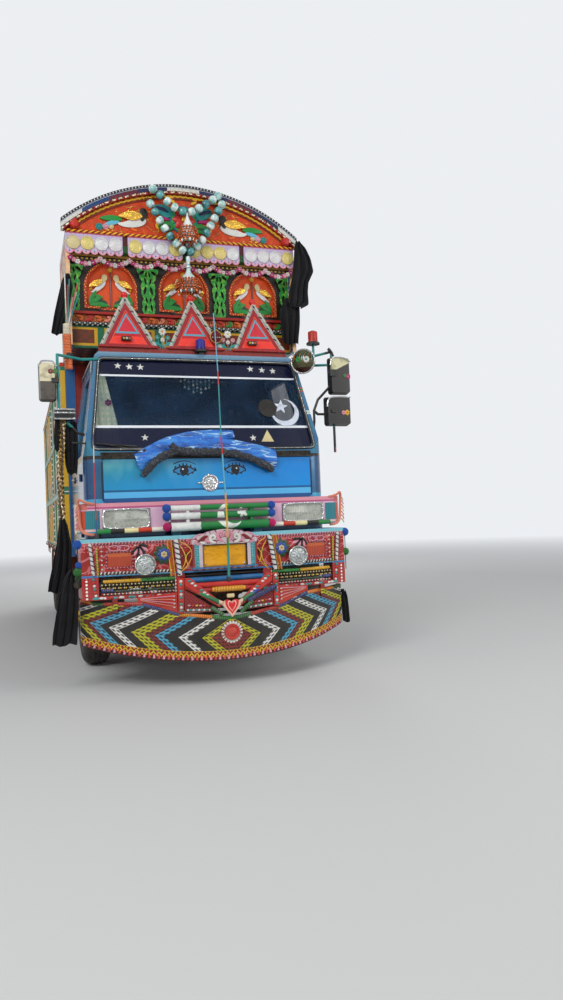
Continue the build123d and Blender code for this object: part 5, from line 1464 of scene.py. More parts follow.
def pediment_birds():
    """Two mirrored birds with long tails, made for this arch, on the orange field."""
    y = PEDIMENT_FRONT
    parts = []
    for side in SIDES:
        x = side * 0.36
        parts += [
            shaped(BODY, (x + side * 0.03, y, 4.57), 0.3, side, 0.016, WHITE),
            shaped(NECK, (x + side * 0.055, y - 0.004, 4.59), 0.34, side, 0.02, BLACK),
            shaped(WING, (x + side * 0.07, y - 0.01, 4.615), 0.27, side, 0.02, GOLD, -0.1),
            shaped(LEAF, (x + side * 0.27, y, 4.56), 0.24, side, 0.018, GREEN, 0.05),
            shaped(LEAF, (x + side * 0.3, y - 0.004, 4.54), 0.2, side, 0.012, SKY, -0.28),
            shaped(CURL, (x + side * 0.13, y, 4.462), 0.12, side, 0.012, ORANGE, -0.1),
            shaped(CURL, (x + side * 0.42, y, 4.44), 0.1, side, 0.012, YELLOW, 0.2),
            boss((x + side * 0.395, y, 4.49), 0.026, 0.016, CREAM),
            boss((x + side * 0.45, y, 4.484), 0.03, 0.018, PINK),
            boss((x + side * 0.515, y, 4.478), 0.034, 0.018, TEAL),
            boss((x, y - 0.016, 4.67), 0.01, 0.012, YELLOW, 10),
        ]
    seat(join(parts), "pediment_birds")


def medallion():
    """Teal and green leaves and a petalled heart at the middle of the arch."""
    y = PEDIMENT_FRONT
    parts = []
    for side in SIDES:
        parts += [
            shaped(BROAD, (side * 0.13, y, 4.65), 0.205, side, 0.02, TEAL, 0.42),
            shaped(LEAF, (side * 0.16, y - 0.018, 4.68), 0.15, side, 0.01, NAVY, 0.4),
            shaped(BROAD, (side * 0.11, y, 4.535), 0.165, side, 0.02, GREEN, -0.1),
            shaped(LEAF, (side * 0.135, y - 0.016, 4.535), 0.11, side, 0.01, DARK_GREEN, -0.05),
            shaped(LEAF, (side * 0.15, y, 4.605), 0.14, side, 0.018, MAGENTA, 0.15),
            shaped(CURL, (side * 0.27, y, 4.5), 0.1, side, 0.014, YELLOW, 0.6),
            shaped(CURL, (side * 0.3, y, 4.62), 0.09, side, 0.014, ORANGE, 1.0),
            shaped(CURL, (side * 0.09, y, 4.79), 0.13, side, 0.014, YELLOW, 0.2),
        ]
    heart = placed(flower_head(0.125, 8, 0.022, RED, GOLD), (0, y - 0.016, 4.62))
    seat(join([*parts, heart]), "medallion_petals")


def wavy_moulding():
    """Yellow wavy moulding under the arch rim, and a red one inside it."""
    lines = []
    for radius, swing, steps in ((1.824, 0.007, 84), (1.8, 0.0, 30)):
        line = []
        for step in range(steps + 1):
            along = (step / steps - 0.5) * 2.57
            x, z, _ = arch_point(along, radius + swing * (1 if step % 2 else -1))
            line.append((x, PEDIMENT_FRONT - 0.008, z))
        lines.append(line)
    wave = tube([lines[0]], 0.012, YELLOW, sides=1)
    plain = tube([lines[1]], 0.008, DEEP_RED, sides=1)
    seat(join([wave, plain]), "arch_moulding")


def arch_tabs():
    """White fringe tabs along the outer edge of the rim, with dark beads between them."""
    tab = pressed(cube_blank((-0.0055, -0.008, -0.0085), (0.0055, 0, 0.0085)), front, (0.003, 0.003))
    spots, count = [], 78
    for index in range(count):
        along = (index / (count - 1) - 0.5) * 2.69
        x, z, angle = arch_point(along, 1.9225)
        spots.append(((x, RIM_FRONT, z), (0, angle, 0)))
    tabs = set_out(tab, spots, (WHITE,))
    stud = pressed(disc_blank((0, -0.006, 0), 0.009, 0.012, 8), front, (0.003, 0.003))
    studs = []
    for index in range(62):
        x, z, angle = arch_point((index / 61 - 0.5) * 2.6, 1.852)
        studs.append(((x, RIM_FRONT, z),))
    seat(join([tabs, set_out(stud, studs, (CREAM, RED))]), "arch_fringe")


def corner_balls():
    ball = lobed_bead(0.05)
    seat(
        set_out(ball, [((side * 1.12, -2.985, 4.475), (math.pi / 2, 0, 0)) for side in SIDES]),
        "arch_corner_balls", finish=RED,
    )


def valance_discs():
    """Sixteen embossed tin discs on the scalloped boards."""
    disc = pressed(
        disc_blank((0, -0.007, 0), 0.068, 0.014, 24), front, (0.006, 0.0), (0.004, -0.005), (0.01, 0.004),
        (0.006, -0.003), (0.022, 0.005),
    )
    spots = []
    for board in (-0.92925, -0.30975, 0.30975, 0.92925):
        for place in (-1.5, -0.5, 0.5, 1.5):
            spots.append(((board + place * 0.1385, -2.969, 4.296),))
    row = (
        CREAM, YELLOW_TIN, WHITE_TIN, WHITE_TIN, YELLOW_TIN, WHITE_TIN, WHITE_TIN, YELLOW_TIN, YELLOW_TIN,
        YELLOW_TIN, YELLOW_TIN, WHITE_TIN, WHITE_TIN, WHITE_TIN, WHITE_TIN, YELLOW_TIN,
    )
    seat(set_out(disc, spots, row), "valance_discs")


@finish
def tin_finish(mix, code):
    """Pressed tin disc, lacquered, with a fine hammered face."""
    spot = mix.cells(55.0).fade(0.05, 0.45)
    colour = mix.pick(code, (spot * 0.25, "#a79a80"), (mix.noise(8.0, 3.0).fade(0.5, 0.7) * 0.3, "#c9a0a8"))
    mix.plain(colour, spot * 0.2 + 0.25)
    mix.give("Metallic", 0.15)
    mix.bump(spot, 0.003)
    mix.coat(0.3, 0.1)


YELLOW_TIN = tin_finish("tin_yellow", "#d8c568")
WHITE_TIN = tin_finish("tin_white", "#d6d8dc")


def swags():
    """Eight swagged garlands of cloth flowers under the valances, sewn on a cord."""
    blossoms = [
        flower_head(0.026, 5, 0.016, petal, heart)
        for petal, heart in ((MAGENTA, WHITE), (PINK, WHITE), (WHITE, PINK))
    ]
    span, spots, lines = 2.34 / 8, ([], [], []), []
    for bay in range(8):
        left = -1.17 + bay * span
        line = []
        for step in range(9):
            share = step / 8
            x = left + share * span
            z = 4.136 - 0.055 * math.sin(math.pi * share)
            line.append((x, -2.975, z))
            spots[(step + bay) % 3].append(((x, -2.985, z), (0, share * 2, 0), 1.0 if step % 2 else 1.15))
        lines.append(line)
    cords = tube(lines, 0.012, MAGENTA, sides=1)
    flowers = [set_out(blossom, kind) for blossom, kind in zip(blossoms, spots)]
    seat(join([*flowers, cords]), "crown_swags")


def niche_motifs():
    """In each niche two facing doves on a red stem over green scrolls, made for this crown."""
    y = FACE_Y + 0.024
    parts = []
    for bay in (-1, 0, 1):
        middle = bay * BAY
        for side in SIDES:
            parts += [
                shaped(BODY, (middle + side * 0.048, y, 3.965), 0.185, side, 0.02, WHITE_TIN, -0.55),
                shaped(NECK, (middle + side * 0.06, y - 0.003, 3.96), 0.22, side, 0.022, CREAM, 0.12),
                shaped(WING, (middle + side * 0.08, y - 0.01, 3.965), 0.165, side, 0.026, GOLD, -0.5),
                shaped(BROAD, (middle + side * 0.222, y + 0.004, 3.716), 0.19, -side, 0.014, DARK_GREEN, 0.1),
                shaped(LEAF, (middle + side * 0.222, y, 3.712), 0.205, -side, 0.018, GREEN, 0.02),
                shaped(LEAF, (middle + side * 0.218, y - 0.002, 3.716), 0.165, -side, 0.018, GREEN, 0.62),
                shaped(LEAF, (middle + side * 0.214, y - 0.004, 3.718), 0.165, -side, 0.018, GREEN, 1.15),
                shaped(CURL, (middle + side * 0.15, y - 0.004, 3.745), 0.12, -side, 0.018, GREEN, 0.45),
                boss((middle + side * 0.2, y, 3.88), 0.014, 0.018, YELLOW, 10),
                boss((middle + side * 0.12, y, 3.7), 0.014, 0.018, YELLOW, 10),
            ]
        parts += [
            tube([[(middle, y, 3.7), (middle + 0.01, y - 0.01, 3.85), (middle, y, 4.1)]], 0.01, DEEP_RED),
            boss((middle, y, 4.085), 0.024, 0.024, YELLOW, 12),
        ]
    seat(join(parts), "niche_motifs")


def face_scrolls():
    """Carved running scroll under the niches and studs on the dotted band."""
    curl = shaped(CURL, (0, 0, 0), 0.12, 1, 0.014, GOLD, -0.15)
    spots = []
    for index in range(25):
        x = -1.12 + index * 0.0925
        spots.append(((x, -2.83, 3.542 if index % 2 else 3.602), (0, 0, 0), (1, 1, 1 if index % 2 else -1)))
    scrolls = set_out(curl, spots, (ORANGE, RED, ORANGE, SALMON, RED, GREEN))
    knob = lobed_bead(0.011)
    knobs = set_out(knob, [((-1.144 + index * 0.052, -2.868, 3.512),) for index in range(45)], (WHITE_TIN,))
    seat(join([scrolls, knobs]), "crown_scrolls")


for make in (
    pediment_birds, medallion, wavy_moulding, arch_tabs, corner_balls, valance_discs, swags, niche_motifs,
    face_scrolls,
):
    make()


# Front end ornament


def wound_line(points, core, wire, pitch, core_finish, wire_finish):
    """A bar wrapped with wire or cord: the core is a tube, the wrapping a helix round it."""
    path = [Vector(p) for p in points]
    lengths = [(b - a).length for a, b in zip(path, path[1:])]
    helix, travelled = [], 0.0
    for a, b, length in zip(path, path[1:], lengths):
        ahead = (b - a).normalized()
        side = ahead.cross(Vector((0, 0, 1)))
        side = side.normalized() if side.length > 0.1 else Vector((1, 0, 0))
        up = side.cross(ahead)
        for step in range(max(int(length / pitch * 6), 2)):
            share = step / max(int(length / pitch * 6), 2)
            turn = (travelled + share * length) / pitch * math.tau
            spot = a + (b - a) * share + (side * math.cos(turn) + up * math.sin(turn)) * core
            helix.append(tuple(spot))
        travelled += length
    bar = tube([[tuple(p) for p in path]], core, core_finish)
    return join([bar, tube([helix], wire, wire_finish, sides=0, detail=2)])


def bead_row(points, size, finishes, turn=0.0, squash=(1, 1, 1)):
    """Beads strung along straight runs between points, a bead's width apart."""
    path = [Vector(p) for p in points]
    spots = []
    for a, b in zip(path, path[1:]):
        count = max(int((b - a).length / (size * 2 * squash[0])), 1)
        for index in range(count):
            spots.append((tuple(a + (b - a) * (index + 0.5) / count), (0, turn, 0), squash))
    bead = squeezed(
        ball_blank(size, 8, 5), lambda centre, normal: centre.z > size * 0.6 or centre.z < -size * 0.6,
        (0.75, 0.75, 1),
    )
    return set_out(bead, spots, finishes)


def on_bumper(x, z, proud=0.0):
    return (x, bumper_y(x) - proud, z)


def bumper_route(*points):
    """A line over the bumper's face through points given as (x, z, proud)."""
    return [on_bumper(*point) for point in points]


def bumper_line(start, end, z_start, z_end, proud, steps=8):
    line = []
    for step in range(steps + 1):
        share = step / steps
        x = start + (end - start) * share
        line.append(on_bumper(x, z_start + (z_end - z_start) * share, proud))
    return line


def bumper_posts():
    """Striped posts, yellow lattice strips and bowed wires either side of the number plate."""
    parts = []
    for top, foot in ((-0.438, -0.412), (0.427, 0.475)):
        side = 1 if top > 0 else -1
        parts.append(wound_line(
            bumper_route((top, 1.302, 0.032), ((top + foot) / 2, 1.14, 0.032), (foot, 0.985, 0.032)), 0.02,
            0.008, 0.046, WHITE, NAVY,
        ))
        rail = 0.055 * side
        outer = 0.018 * side
        left = bumper_route((top + rail - outer, 1.298, 0.012), (foot + rail - outer, 0.98, 0.012))
        right = bumper_route((top + rail + outer, 1.298, 0.012), (foot + rail + outer, 0.98, 0.012))
        zigzag, zagzig = [], []
        for step in range(15):
            share = step / 14
            a = Vector(left[0]).lerp(Vector(left[1]), share)
            b = Vector(right[0]).lerp(Vector(right[1]), share)
            zigzag.append(tuple(a if step % 2 else b))
            zagzig.append(tuple(b if step % 2 else a))
        parts += [
            tube([left, right], 0.005, YELLOW, sides=1), tube([zigzag, zagzig], 0.0045, ORANGE, sides=0),
        ]
        inner = top - 0.03 * side
        bow = bumper_route(
            (inner, 1.285, 0.02), (inner - 0.09 * side, 1.24, 0.03), (inner - 0.115 * side, 1.16, 0.035),
            (inner - 0.07 * side, 1.06, 0.03), (inner + 0.02 * side, 0.99, 0.02),
        )
        chord = bumper_route((inner, 1.25, 0.02), (inner - 0.1 * side, 1.13, 0.034), (inner, 1.02, 0.02))
        star = bumper_route(
            (inner - 0.105 * side, 1.2, 0.034), (inner - 0.02 * side, 1.15, 0.02),
            (inner - 0.08 * side, 1.06, 0.03),
        )
        parts += [
            tube([bow, chord, star], 0.0045, YELLOW, sides=1),
            placed(
                flower_head(0.026, 6, 0.01, DARK_GREEN, ORANGE), on_bumper(inner - 0.055 * side, 1.16, 0.012),
            ),
        ]
    seat(join(parts), "bumper_posts")


def bumper_flowers():
    parts = []
    for side in SIDES:
        middle = 0.545 * side
        for radius, petals, rise, petal_finish, heart_finish, proud in (
            (0.092, 9, 0.012, DARK_GREEN, NAVY, 0.01), (0.06, 8, 0.012, BLUE, TEAL, 0.022),
            (0.03, 6, 0.01, CREAM, ORANGE, 0.034),
        ):
            parts.append(placed(
                flower_head(radius, petals, rise, petal_finish, heart_finish),
                on_bumper(middle, 1.176, proud),
            ))
    seat(join(parts), "bumper_flowers")


def bumper_mouldings():
    """Chain loops over the amber lamps, studded uprights, scallop fans, and rope rows along the edges."""
    parts = []
    for side in SIDES:
        for centre in (0.96, 0.885):
            loop = []
            for step in range(8):
                angle = math.tau * step / 8
                loop.append(on_bumper(
                    side * (centre + 0.052 * math.cos(angle)), 1.248 + 0.024 * math.sin(angle), 0.008,
                ))
            parts.append(tube([loop], 0.006, PINK, closed=True, sides=1))
        for x in (1.068, 0.786):
            parts.append(bead_row(
                bumper_route((side * x, 1.275, 0.006), (side * x, 1.06, 0.006)), 0.009, (WHITE, RED),
            ))
        frame = []
        for x, z in ((0.806, 1.078), (1.03, 1.078), (1.03, 1.216), (0.806, 1.216), (0.806, 1.078)):
            frame.append(on_bumper(side * x, z, 0.006))
        parts.append(bead_row(frame, 0.007, (DEEP_RED, PINK)))
        for index in range(7):
            angle = -0.15 - index * 0.36
            fan = shaped(
                LEAF, (0, 0, 0), 0.115 - index * 0.004, 1, 0.01, (BLACK, PINK)[index % 2],
                angle if side < 0 else math.pi - angle,
            )
            fan.location = on_bumper(side * 0.762, 1.262, 0.002)
            parts.append(fan)
        parts += [
            wound_line(
                bumper_route((side * 1.165, 1.295, 0.012), (side * 1.142, 1.02, 0.012)), 0.014, 0.006, 0.04,
                WHITE, NAVY,
            ),
            wound_line(
                bumper_route((side * 1.11, 1.255, 0.01), (side * 1.103, 1.012, 0.01)), 0.008, 0.005, 0.024,
                YELLOW, GREEN,
            ),
            bead_row(
                bumper_line(side * 0.475, side * 1.1, 1.032, 1.036, 0.008), 0.011, (WHITE, BLACK), 0.5,
                (0.62, 0.7, 1.4),
            ),
            bead_row(
                bumper_line(side * 0.33, side * 1.16, 1.29, 1.29, 0.006, 10), 0.01, (PINK, DEEP_RED), 0.5,
                (0.62, 0.7, 1.3),
            ),
            bead_row(
                bumper_line(side * 0.47, side * 1.1, 1.014, 1.014, 0.006), 0.01, (SKY,), 0.0, (1.8, 0.6, 0.6),
            ),
            bead_row(
                bumper_line(side * 0.47, side * 1.12, 0.822, 0.822, 0.006), 0.015, (TEAL, WHITE, RED, WHITE),
                0.0, (1.5, 0.5, 0.8),
            ),
            bead_row(
                bumper_route((side * 1.145, 1.0, 0.006), (side * 1.125, 0.83, 0.006)), 0.013,
                (TEAL, RED, WHITE), 0.0, (1, 0.5, 1),
            ),
        ]
    seat(join(parts), "bumper_mouldings")


def spring_bars():
    """In each lower slot: a net, two wound bars and two rows of beads."""
    parts = []
    for side in SIDES:
        for x_from, x_to, core in ((1.06, 0.74, YELLOW), (0.74, 0.455, GREEN)):
            parts.append(wound_line(
                bumper_line(side * x_from, side * x_to, 0.962, 0.962, -0.004, 3), 0.013, 0.007, 0.019, core,
                core,
            ))
        parts += [
            wound_line(
                bumper_line(side * 1.075, side * 0.98, 0.884, 0.884, -0.004, 1), 0.016, 0.007, 0.019, BLUE,
                NAVY,
            ),
            wound_line(
                bumper_line(side * 0.98, side * 0.46, 0.874, 0.874, -0.01, 3), 0.009, 0.005, 0.017, BLACK,
                DARK_GREEN,
            ),
        ]
        for z, colours in ((0.932, (BLACK, CREAM)), (0.902, (CREAM, BLACK, YELLOW)), (0.852, (WHITE, RED))):
            parts.append(bead_row(
                bumper_line(side * 0.458, side * 1.08, z, z, -0.006), 0.009, colours, 0.0, (0.8, 0.7, 1.0),
            ))
        mesh_lines = []
        for index in range(22):
            x = side * (0.46 + index * 0.029)
            mesh_lines.append(bumper_route((x, 0.99, -0.016), (x + side * 0.012, 0.845, -0.016)))
        for z in (0.985, 0.955, 0.925, 0.895, 0.865):
            mesh_lines.append(bumper_line(side * 0.455, side * 1.09, z, z, -0.018, 3))
        parts += [
            tube(mesh_lines, 0.003, BLACK, sides=0),
            tube([bumper_line(side * 0.452, side * 1.098, 0.92, 0.92, -0.045, 3)], 0.03, BLACK, sides=1),
        ]
    seat(join(parts), "spring_bars")


def lamp_rims():
    """Bright rims of the round lamps and the oblong headlamps, with pressed glass and a bulb cap."""
    parts = []
    for side in SIDES:
        x, z = side * 0.709, 1.096
        ring = pressed(disc_blank((x, -4.098, z), 0.094, 0.012, 28), front, (0.01, 0.006), (0.01, -0.016))
        parts.append(finish_with(soften(ring, 0.002, 1), CHROME))
        glass = pressed(disc_blank((x, -4.093, z), 0.07, 0.01, 24), front, (0.02, 0.004), (0.02, 0.004))
        parts.append(finish_with(glass, LENS))
        bulb = pressed(disc_blank((x, -4.103, z), 0.016, 0.012, 12), front, (0.005, 0.005))
        parts.append(finish_with(bulb, CHROME))
        loop = []
        for x, z in (
            (0.633, 1.44), (0.66, 1.418), (1.01, 1.418), (1.04, 1.44), (1.04, 1.565), (1.01, 1.586),
            (0.672, 1.586), (0.64, 1.56),
        ):
            loop.append((side * x, -3.946, z))
        parts.append(tube([loop], 0.009, CHROME, closed=True, sides=1))
    seat(join(parts), "lamp_rims")


@finish
def lens_finish(mix):
    """Clear pressed lamp glass over a bright reflector."""
    x, y, z = mix.place()
    rib = (x / 0.011 * math.tau).sine() * 0.5 + 0.5
    cell = mix.cells(60.0).fade(0.1, 0.6)
    mix.plain(mix.pick("#8d9494", (rib * 0.6, "#2e3437"), (cell * 0.55, "#e3e8e6")), 0.1)
    mix.give("Metallic", 0.6)
    mix.bump(rib + cell, 0.003)
    mix.coat(1.0, 0.03)


LENS = lens_finish("pressed_glass")


@finish
def plate_finish(mix):
    """Blank yellow number plate, scratched and dusty towards the edges."""
    x, y, z = mix.place()
    edge = (abs(x) > 0.19).most(abs(z - 1.1395) > 0.086)
    scratch = abs(mix.noise(30.0, 2.0, (0.3, 1, 3)) - 0.5) < 0.008
    colour = mix.pick(
        "#e9a40c", (mix.noise(8.0, 4.0).fade(0.45, 0.7) * 0.4, "#c98205"), (edge * 0.6, "#b07a10"),
        (scratch * 0.5, "#8a6414"),
    )
    mix.paint(colour, 0.35, 0.6, 0.4, "#8f8c84")
    mix.bump(mix.noise(25.0, 3.0) * 0.6 + scratch * -0.5, 0.002)


def number_plate():
    """Bare yellow plate with a pressed border and corner bolts."""
    plate = pressed(
        cube_blank((-0.2, -4.1135, 1.044), (0.2, -4.11, 1.235)), front, (0.008, 0.0), (0.003, 0.003),
        (0.006, 0.0), (0.003, -0.003),
    )
    finish_with(soften(plate, 0.0015, 1), plate_finish("plate_yellow"))
    bolts = pressed(disc_blank((0, -4.116, 0), 0.008, 0.006, 6), front, (0.002, 0.002))
    bolts = set_out(bolts, [((x, 0, z),) for x in (-0.178, 0.178) for z in (1.065, 1.214)], (CHROME,))
    seat(join([plate, bolts]), "number_plate")


def plate_crest():
    """Pink and white scrolls over the number plate, wound teal side bars and a zigzag foot."""
    y = -4.13
    parts = []
    for side in SIDES:
        parts += [
            shaped(SCROLL, (side * 0.012, y, 1.272), 0.105, side, 0.012, PINK, 0.0),
            shaped(SCROLL, (side * 0.08, y - 0.004, 1.262), 0.09, side, 0.012, WHITE, -0.25),
            shaped(CURL, (side * 0.128, y, 1.258), 0.105, side, 0.012, PINK, 0.0),
            shaped(CURL, (side * 0.185, y - 0.004, 1.252), 0.09, side, 0.012, WHITE, -0.15),
            shaped(CURL, (side * 0.232, y, 1.246), 0.07, side, 0.012, PINK, -0.25),
            shaped(LEAF, (side * 0.15, y - 0.005, 1.318), 0.11, side, 0.012, DEEP_RED, -0.45),
            wound_line(
                [(side * 0.262, -4.128, 1.268), (side * 0.262, -4.128, 1.05)], 0.012, 0.006, 0.02, TEAL, SKY,
            ),
        ]
    rim = []
    for step in range(61):
        x = -0.285 + 0.57 * step / 60
        z = 1.272 + 0.078 * math.sqrt(max(1 - (x / 0.3) ** 2, 0)) + 0.012 * abs(math.sin(step * math.pi / 10))
        rim.append((x, -4.126, z))
    parts += [
        tube([rim], 0.008, PINK, sides=1),
        tube([[(x, y - 0.004, z - 0.014) for x, y, z in rim]], 0.005, WHITE, sides=1),
    ]
    for a, b in (
        ((-0.216, 1.03), (-0.216, 1.25)), ((-0.216, 1.25), (0.216, 1.25)), ((0.216, 1.25), (0.216, 1.03)),
    ):
        parts.append(tube([[(a[0], -4.128, a[1]), (b[0], -4.128, b[1])]], 0.007, PINK, sides=1))
    parts += [
        bead_row(
            [(-0.29, -4.128, 1.03), (0.29, -4.128, 1.03)], 0.01, (ORANGE, BLACK, RED, YELLOW), 0.7,
            (0.8, 0.5, 1.3),
        ), boss((0, -4.128, 1.345), 0.02, 0.008, WHITE, 12),
    ]
    seat(join(parts), "plate_crest")


def leaning(piece, y, z, lean):
    """Leans an upright cut-out about a level line at y, z and settles it there."""
    settled(piece)
    turn = Matrix.Rotation(lean, 4, "X")
    piece.data.transform(Matrix.Translation((0, y, z)) @ turn @ Matrix.Translation((0, 0, -z)))
    return piece


def v_boards():
    """Red boards with teal and white studs that run down to the heart, with woven panels behind."""
    parts = []
    for side in SIDES:
        upright = [(side * 0.405, 0.965), (side * 0.455, 0.965), (side * 0.462, 0.665), (side * 0.412, 0.665)]
        slope = [
            (side * 0.395, 0.965), (side * 0.35, 0.965), (side * 0.055, 0.715), (side * 0.1, 0.69),
            (side * 0.4, 0.9),
        ]
        woven = [(side * 0.405, 0.87), (side * 0.405, 0.7), (side * 0.14, 0.69)]
        foot = [(side * 0.405, 0.705), (side * 0.405, 0.672), (side * 0.13, 0.655), (side * 0.13, 0.692)]
        for outline, thick, finish in (
            (upright, 0.014, RED), (slope, 0.016, RED), (woven, 0.005, NETTING), (foot, 0.012, DEEP_RED),
        ):
            board = square_cut(outline, thick)
            parts.append(leaning(finish_with(board, finish), -4.224, 0.893, 0.0))
        beads = bead_row(
            [(side * 0.432, -4.24, 0.955), (side * 0.437, -4.24, 0.675)], 0.014, (WHITE, TEAL, RED, TEAL),
            0.0, (1.0, 0.5, 1.0),
        )
        slope_beads = bead_row(
            [(side * 0.372, -4.242, 0.95), (side * 0.085, -4.242, 0.712)], 0.014, (TEAL, WHITE, WHITE, RED),
            0.0, (1.2, 0.5, 0.8),
        )
        foot_beads = bead_row(
            [(side * 0.39, -4.238, 0.69), (side * 0.15, -4.238, 0.674)], 0.01, (WHITE, TEAL), 0.0,
            (1.2, 0.5, 1.0),
        )
        flower_beads = bead_row(
            [(side * 0.385, -4.236, 0.73), (side * 0.215, -4.236, 0.716)], 0.009, (PINK, RED, YELLOW), 0.0,
            (1.6, 0.5, 1.0),
        )
        parts += [beads, slope_beads, foot_beads, flower_beads]
    parts += [
        wound_line(
            [(0.43, -4.246, 0.842), (0.3, -4.25, 0.8), (0.165, -4.254, 0.735)], 0.02, 0.009, 0.022, BLUE,
            NAVY,
        ), wound_line([(0.2, -4.256, 0.728), (0.085, -4.262, 0.64)], 0.018, 0.008, 0.022, GREEN, DARK_GREEN),
        wound_line([(-0.175, -4.256, 0.7), (-0.07, -4.262, 0.625)], 0.018, 0.008, 0.022, GREEN, DARK_GREEN),
        finish_with(soften(cube_blank((-0.03, -4.262, 0.772), (0.036, -4.236, 0.806)), 0.006), CREAM),
        wound_line([(-0.128, -4.2, 0.848), (0.132, -4.2, 0.848)], 0.0245, 0.007, 0.014, ORANGE, YELLOW),
    ]
    seat(join(parts), "v_boards")


def skirt_gussets():
    """Red gussets between the uprights and the top of the skirt, rayed in pink and white."""
    parts = []
    for side in SIDES:
        board = square_cut(
            [(side * 0.462, 0.845), (side * 0.462, 0.668), (side * 0.79, 0.768), (side * 0.79, 0.812)], 0.01,
        )
        for corner in board.data.vertices:
            corner.co.y += skirt_y(corner.co.x) + 0.012
        parts.append(finish_with(board, RED))
        for index, z in enumerate((0.828, 0.796, 0.764, 0.732)):
            ray = [(side * 0.765, 0.802 - 0.004 * index), (side * 0.48, z - 0.01)]
            parts += [
                tube([skirt_line(ray, 0.0, 0.003)], 0.0045, (PINK, SALMON)[index % 2], sides=0),
                bead_row(
                    [
                        (side * 0.5, skirt_y(0.5) - 0.004, z - 0.012),
                        (side * 0.478, skirt_y(0.478) - 0.004, z - 0.014),
                    ], 0.009, (WHITE,), 0.0, (1.2, 0.6, 0.8),
                ),
            ]
    seat(join(parts), "skirt_gussets")


def square_cut(outline, thick):
    """A flat board with straight sides, its back on y = 0: an outline filled and pushed out to thickness."""
    board = blank(
        bpy.ops.mesh.primitive_circle_add, vertices=len(outline), radius=1, fill_type="NGON",
        rotation=(math.pi / 2, 0, 0),
    )
    for corner, (x, z) in zip(board.data.vertices, outline):
        corner.co = (x, 0, z)
    edit_faces(board, whole)
    bpy.ops.mesh.extrude_region_move(TRANSFORM_OT_translate={"value": (0, -thick, 0)})
    bpy.ops.object.mode_set(mode="OBJECT")
    return soften(face_out(board), thick * 0.2, 1)


@finish
def netting_finish(mix, code, under):
    x, y, z = mix.place()
    a = abs(((x + z) / 0.03).share() - 0.5) < 0.22
    b = abs(((x - z) / 0.03).share() - 0.5) < 0.22
    hole = a * b
    # painted shade: the holes of the net take the dark under colour
    mix.plain(mix.over(hole, code, under), 0.6)
    mix.bump(hole.off(), 0.006)


NETTING = netting_finish("dark_red_netting", "#8a2022", "#1a0b0c")


def skirt_line(points, drop, proud):
    return [(x, skirt_y(x) - proud, z - drop) for x, z in points]


def skirt_top():
    """Wound tubes in coloured lengths along the top edge of the skirt."""
    lengths = (
        (((-1.238, 0.806), (-1.15, 0.78)), YELLOW, ORANGE),
        (((-1.15, 0.78), (-1.06, 0.764)), GREEN, DARK_GREEN),
        (((-1.06, 0.768), (-0.9, 0.766), (-0.742, 0.762)), DEEP_RED, RED),
        (((-0.742, 0.754), (-0.6, 0.708), (-0.45, 0.656)), BLUE, NAVY),
        (((-0.45, 0.656), (-0.3, 0.638), (-0.17, 0.618)), YELLOW, ORANGE),
        (((-0.17, 0.622), (-0.09, 0.604), (0.0, 0.6)), DARK_GREEN, GREEN),
        (((0.0, 0.6), (0.09, 0.604), (0.18, 0.622)), DARK_GREEN, GREEN),
        (((0.18, 0.618), (0.32, 0.64), (0.46, 0.656)), DEEP_RED, RED),
        (((0.46, 0.656), (0.62, 0.704), (0.78, 0.752)), BLUE, NAVY),
        (((0.78, 0.752), (0.95, 0.758), (1.12, 0.762)), YELLOW, ORANGE),
        (((1.12, 0.762), (1.18, 0.764), (1.238, 0.766)), GREEN, DARK_GREEN),
    )
    parts = []
    for line, core, wire in lengths:
        parts.append(wound_line(skirt_line(line, 0.004, -0.01), 0.016, 0.006, 0.018, core, wire))
    seat(join(parts), "skirt_top_tubes")


def skirt_fringe():
    """Pink and red tassels along the bottom edge, a beaded braid over them and the red disc."""
    tassel = blank(bpy.ops.mesh.primitive_cone_add, vertices=8, radius1=0.013, radius2=0.004, depth=0.03)
    pressed(tassel, underside, (0.004, 0.006))
    spots, braid = [], []
    for index in range(63):
        x = -1.225 + 2.45 * index / 62
        z = foot_z(x)
        spots.append(((x, skirt_y(x) - 0.004, z + 0.03),))
    tassels = set_out(tassel, spots, (PINK, RED))
    for step in range(41):
        x = -1.24 + 2.48 * step / 40
        braid.append((x, skirt_y(x) - 0.004, foot_z(x) + 0.037))
    edge = bead_row(braid, 0.01, (YELLOW, RED), 0.6, (0.7, 0.6, 1.1))
    upper = bead_row([(x, y, z + 0.04) for x, y, z in braid], 0.007, (YELLOW, DEEP_RED), 0.0, (1, 0.6, 1))
    disc = boss((0, SKIRT_NOSE, 0.473), 0.066, 0.018, RED, 28)
    teeth = set_out(
        cube_blank((-0.006, -0.008, -0.008), (0.006, 0, 0.008)),
        [
            (
                (
                    0.08 * math.sin(i * math.tau / 22), SKIRT_NOSE + 0.002,
                    0.473 + 0.08 * math.cos(i * math.tau / 22),
                ), (0, i * math.tau / 22, 0),
            )
            for i in range(22)
        ], (WHITE,),
    )
    seat(join([tassels, edge, upper, disc, teeth]), "skirt_fringe")


def foot_z(x):
    """Height of the skirt's bottom edge at x."""
    half, low, high = 1.251, 0.232, 0.4
    rise = high - low
    radius = (half * half + rise * rise) / (2 * rise)
    return low + radius - math.sqrt(radius * radius - x * x)


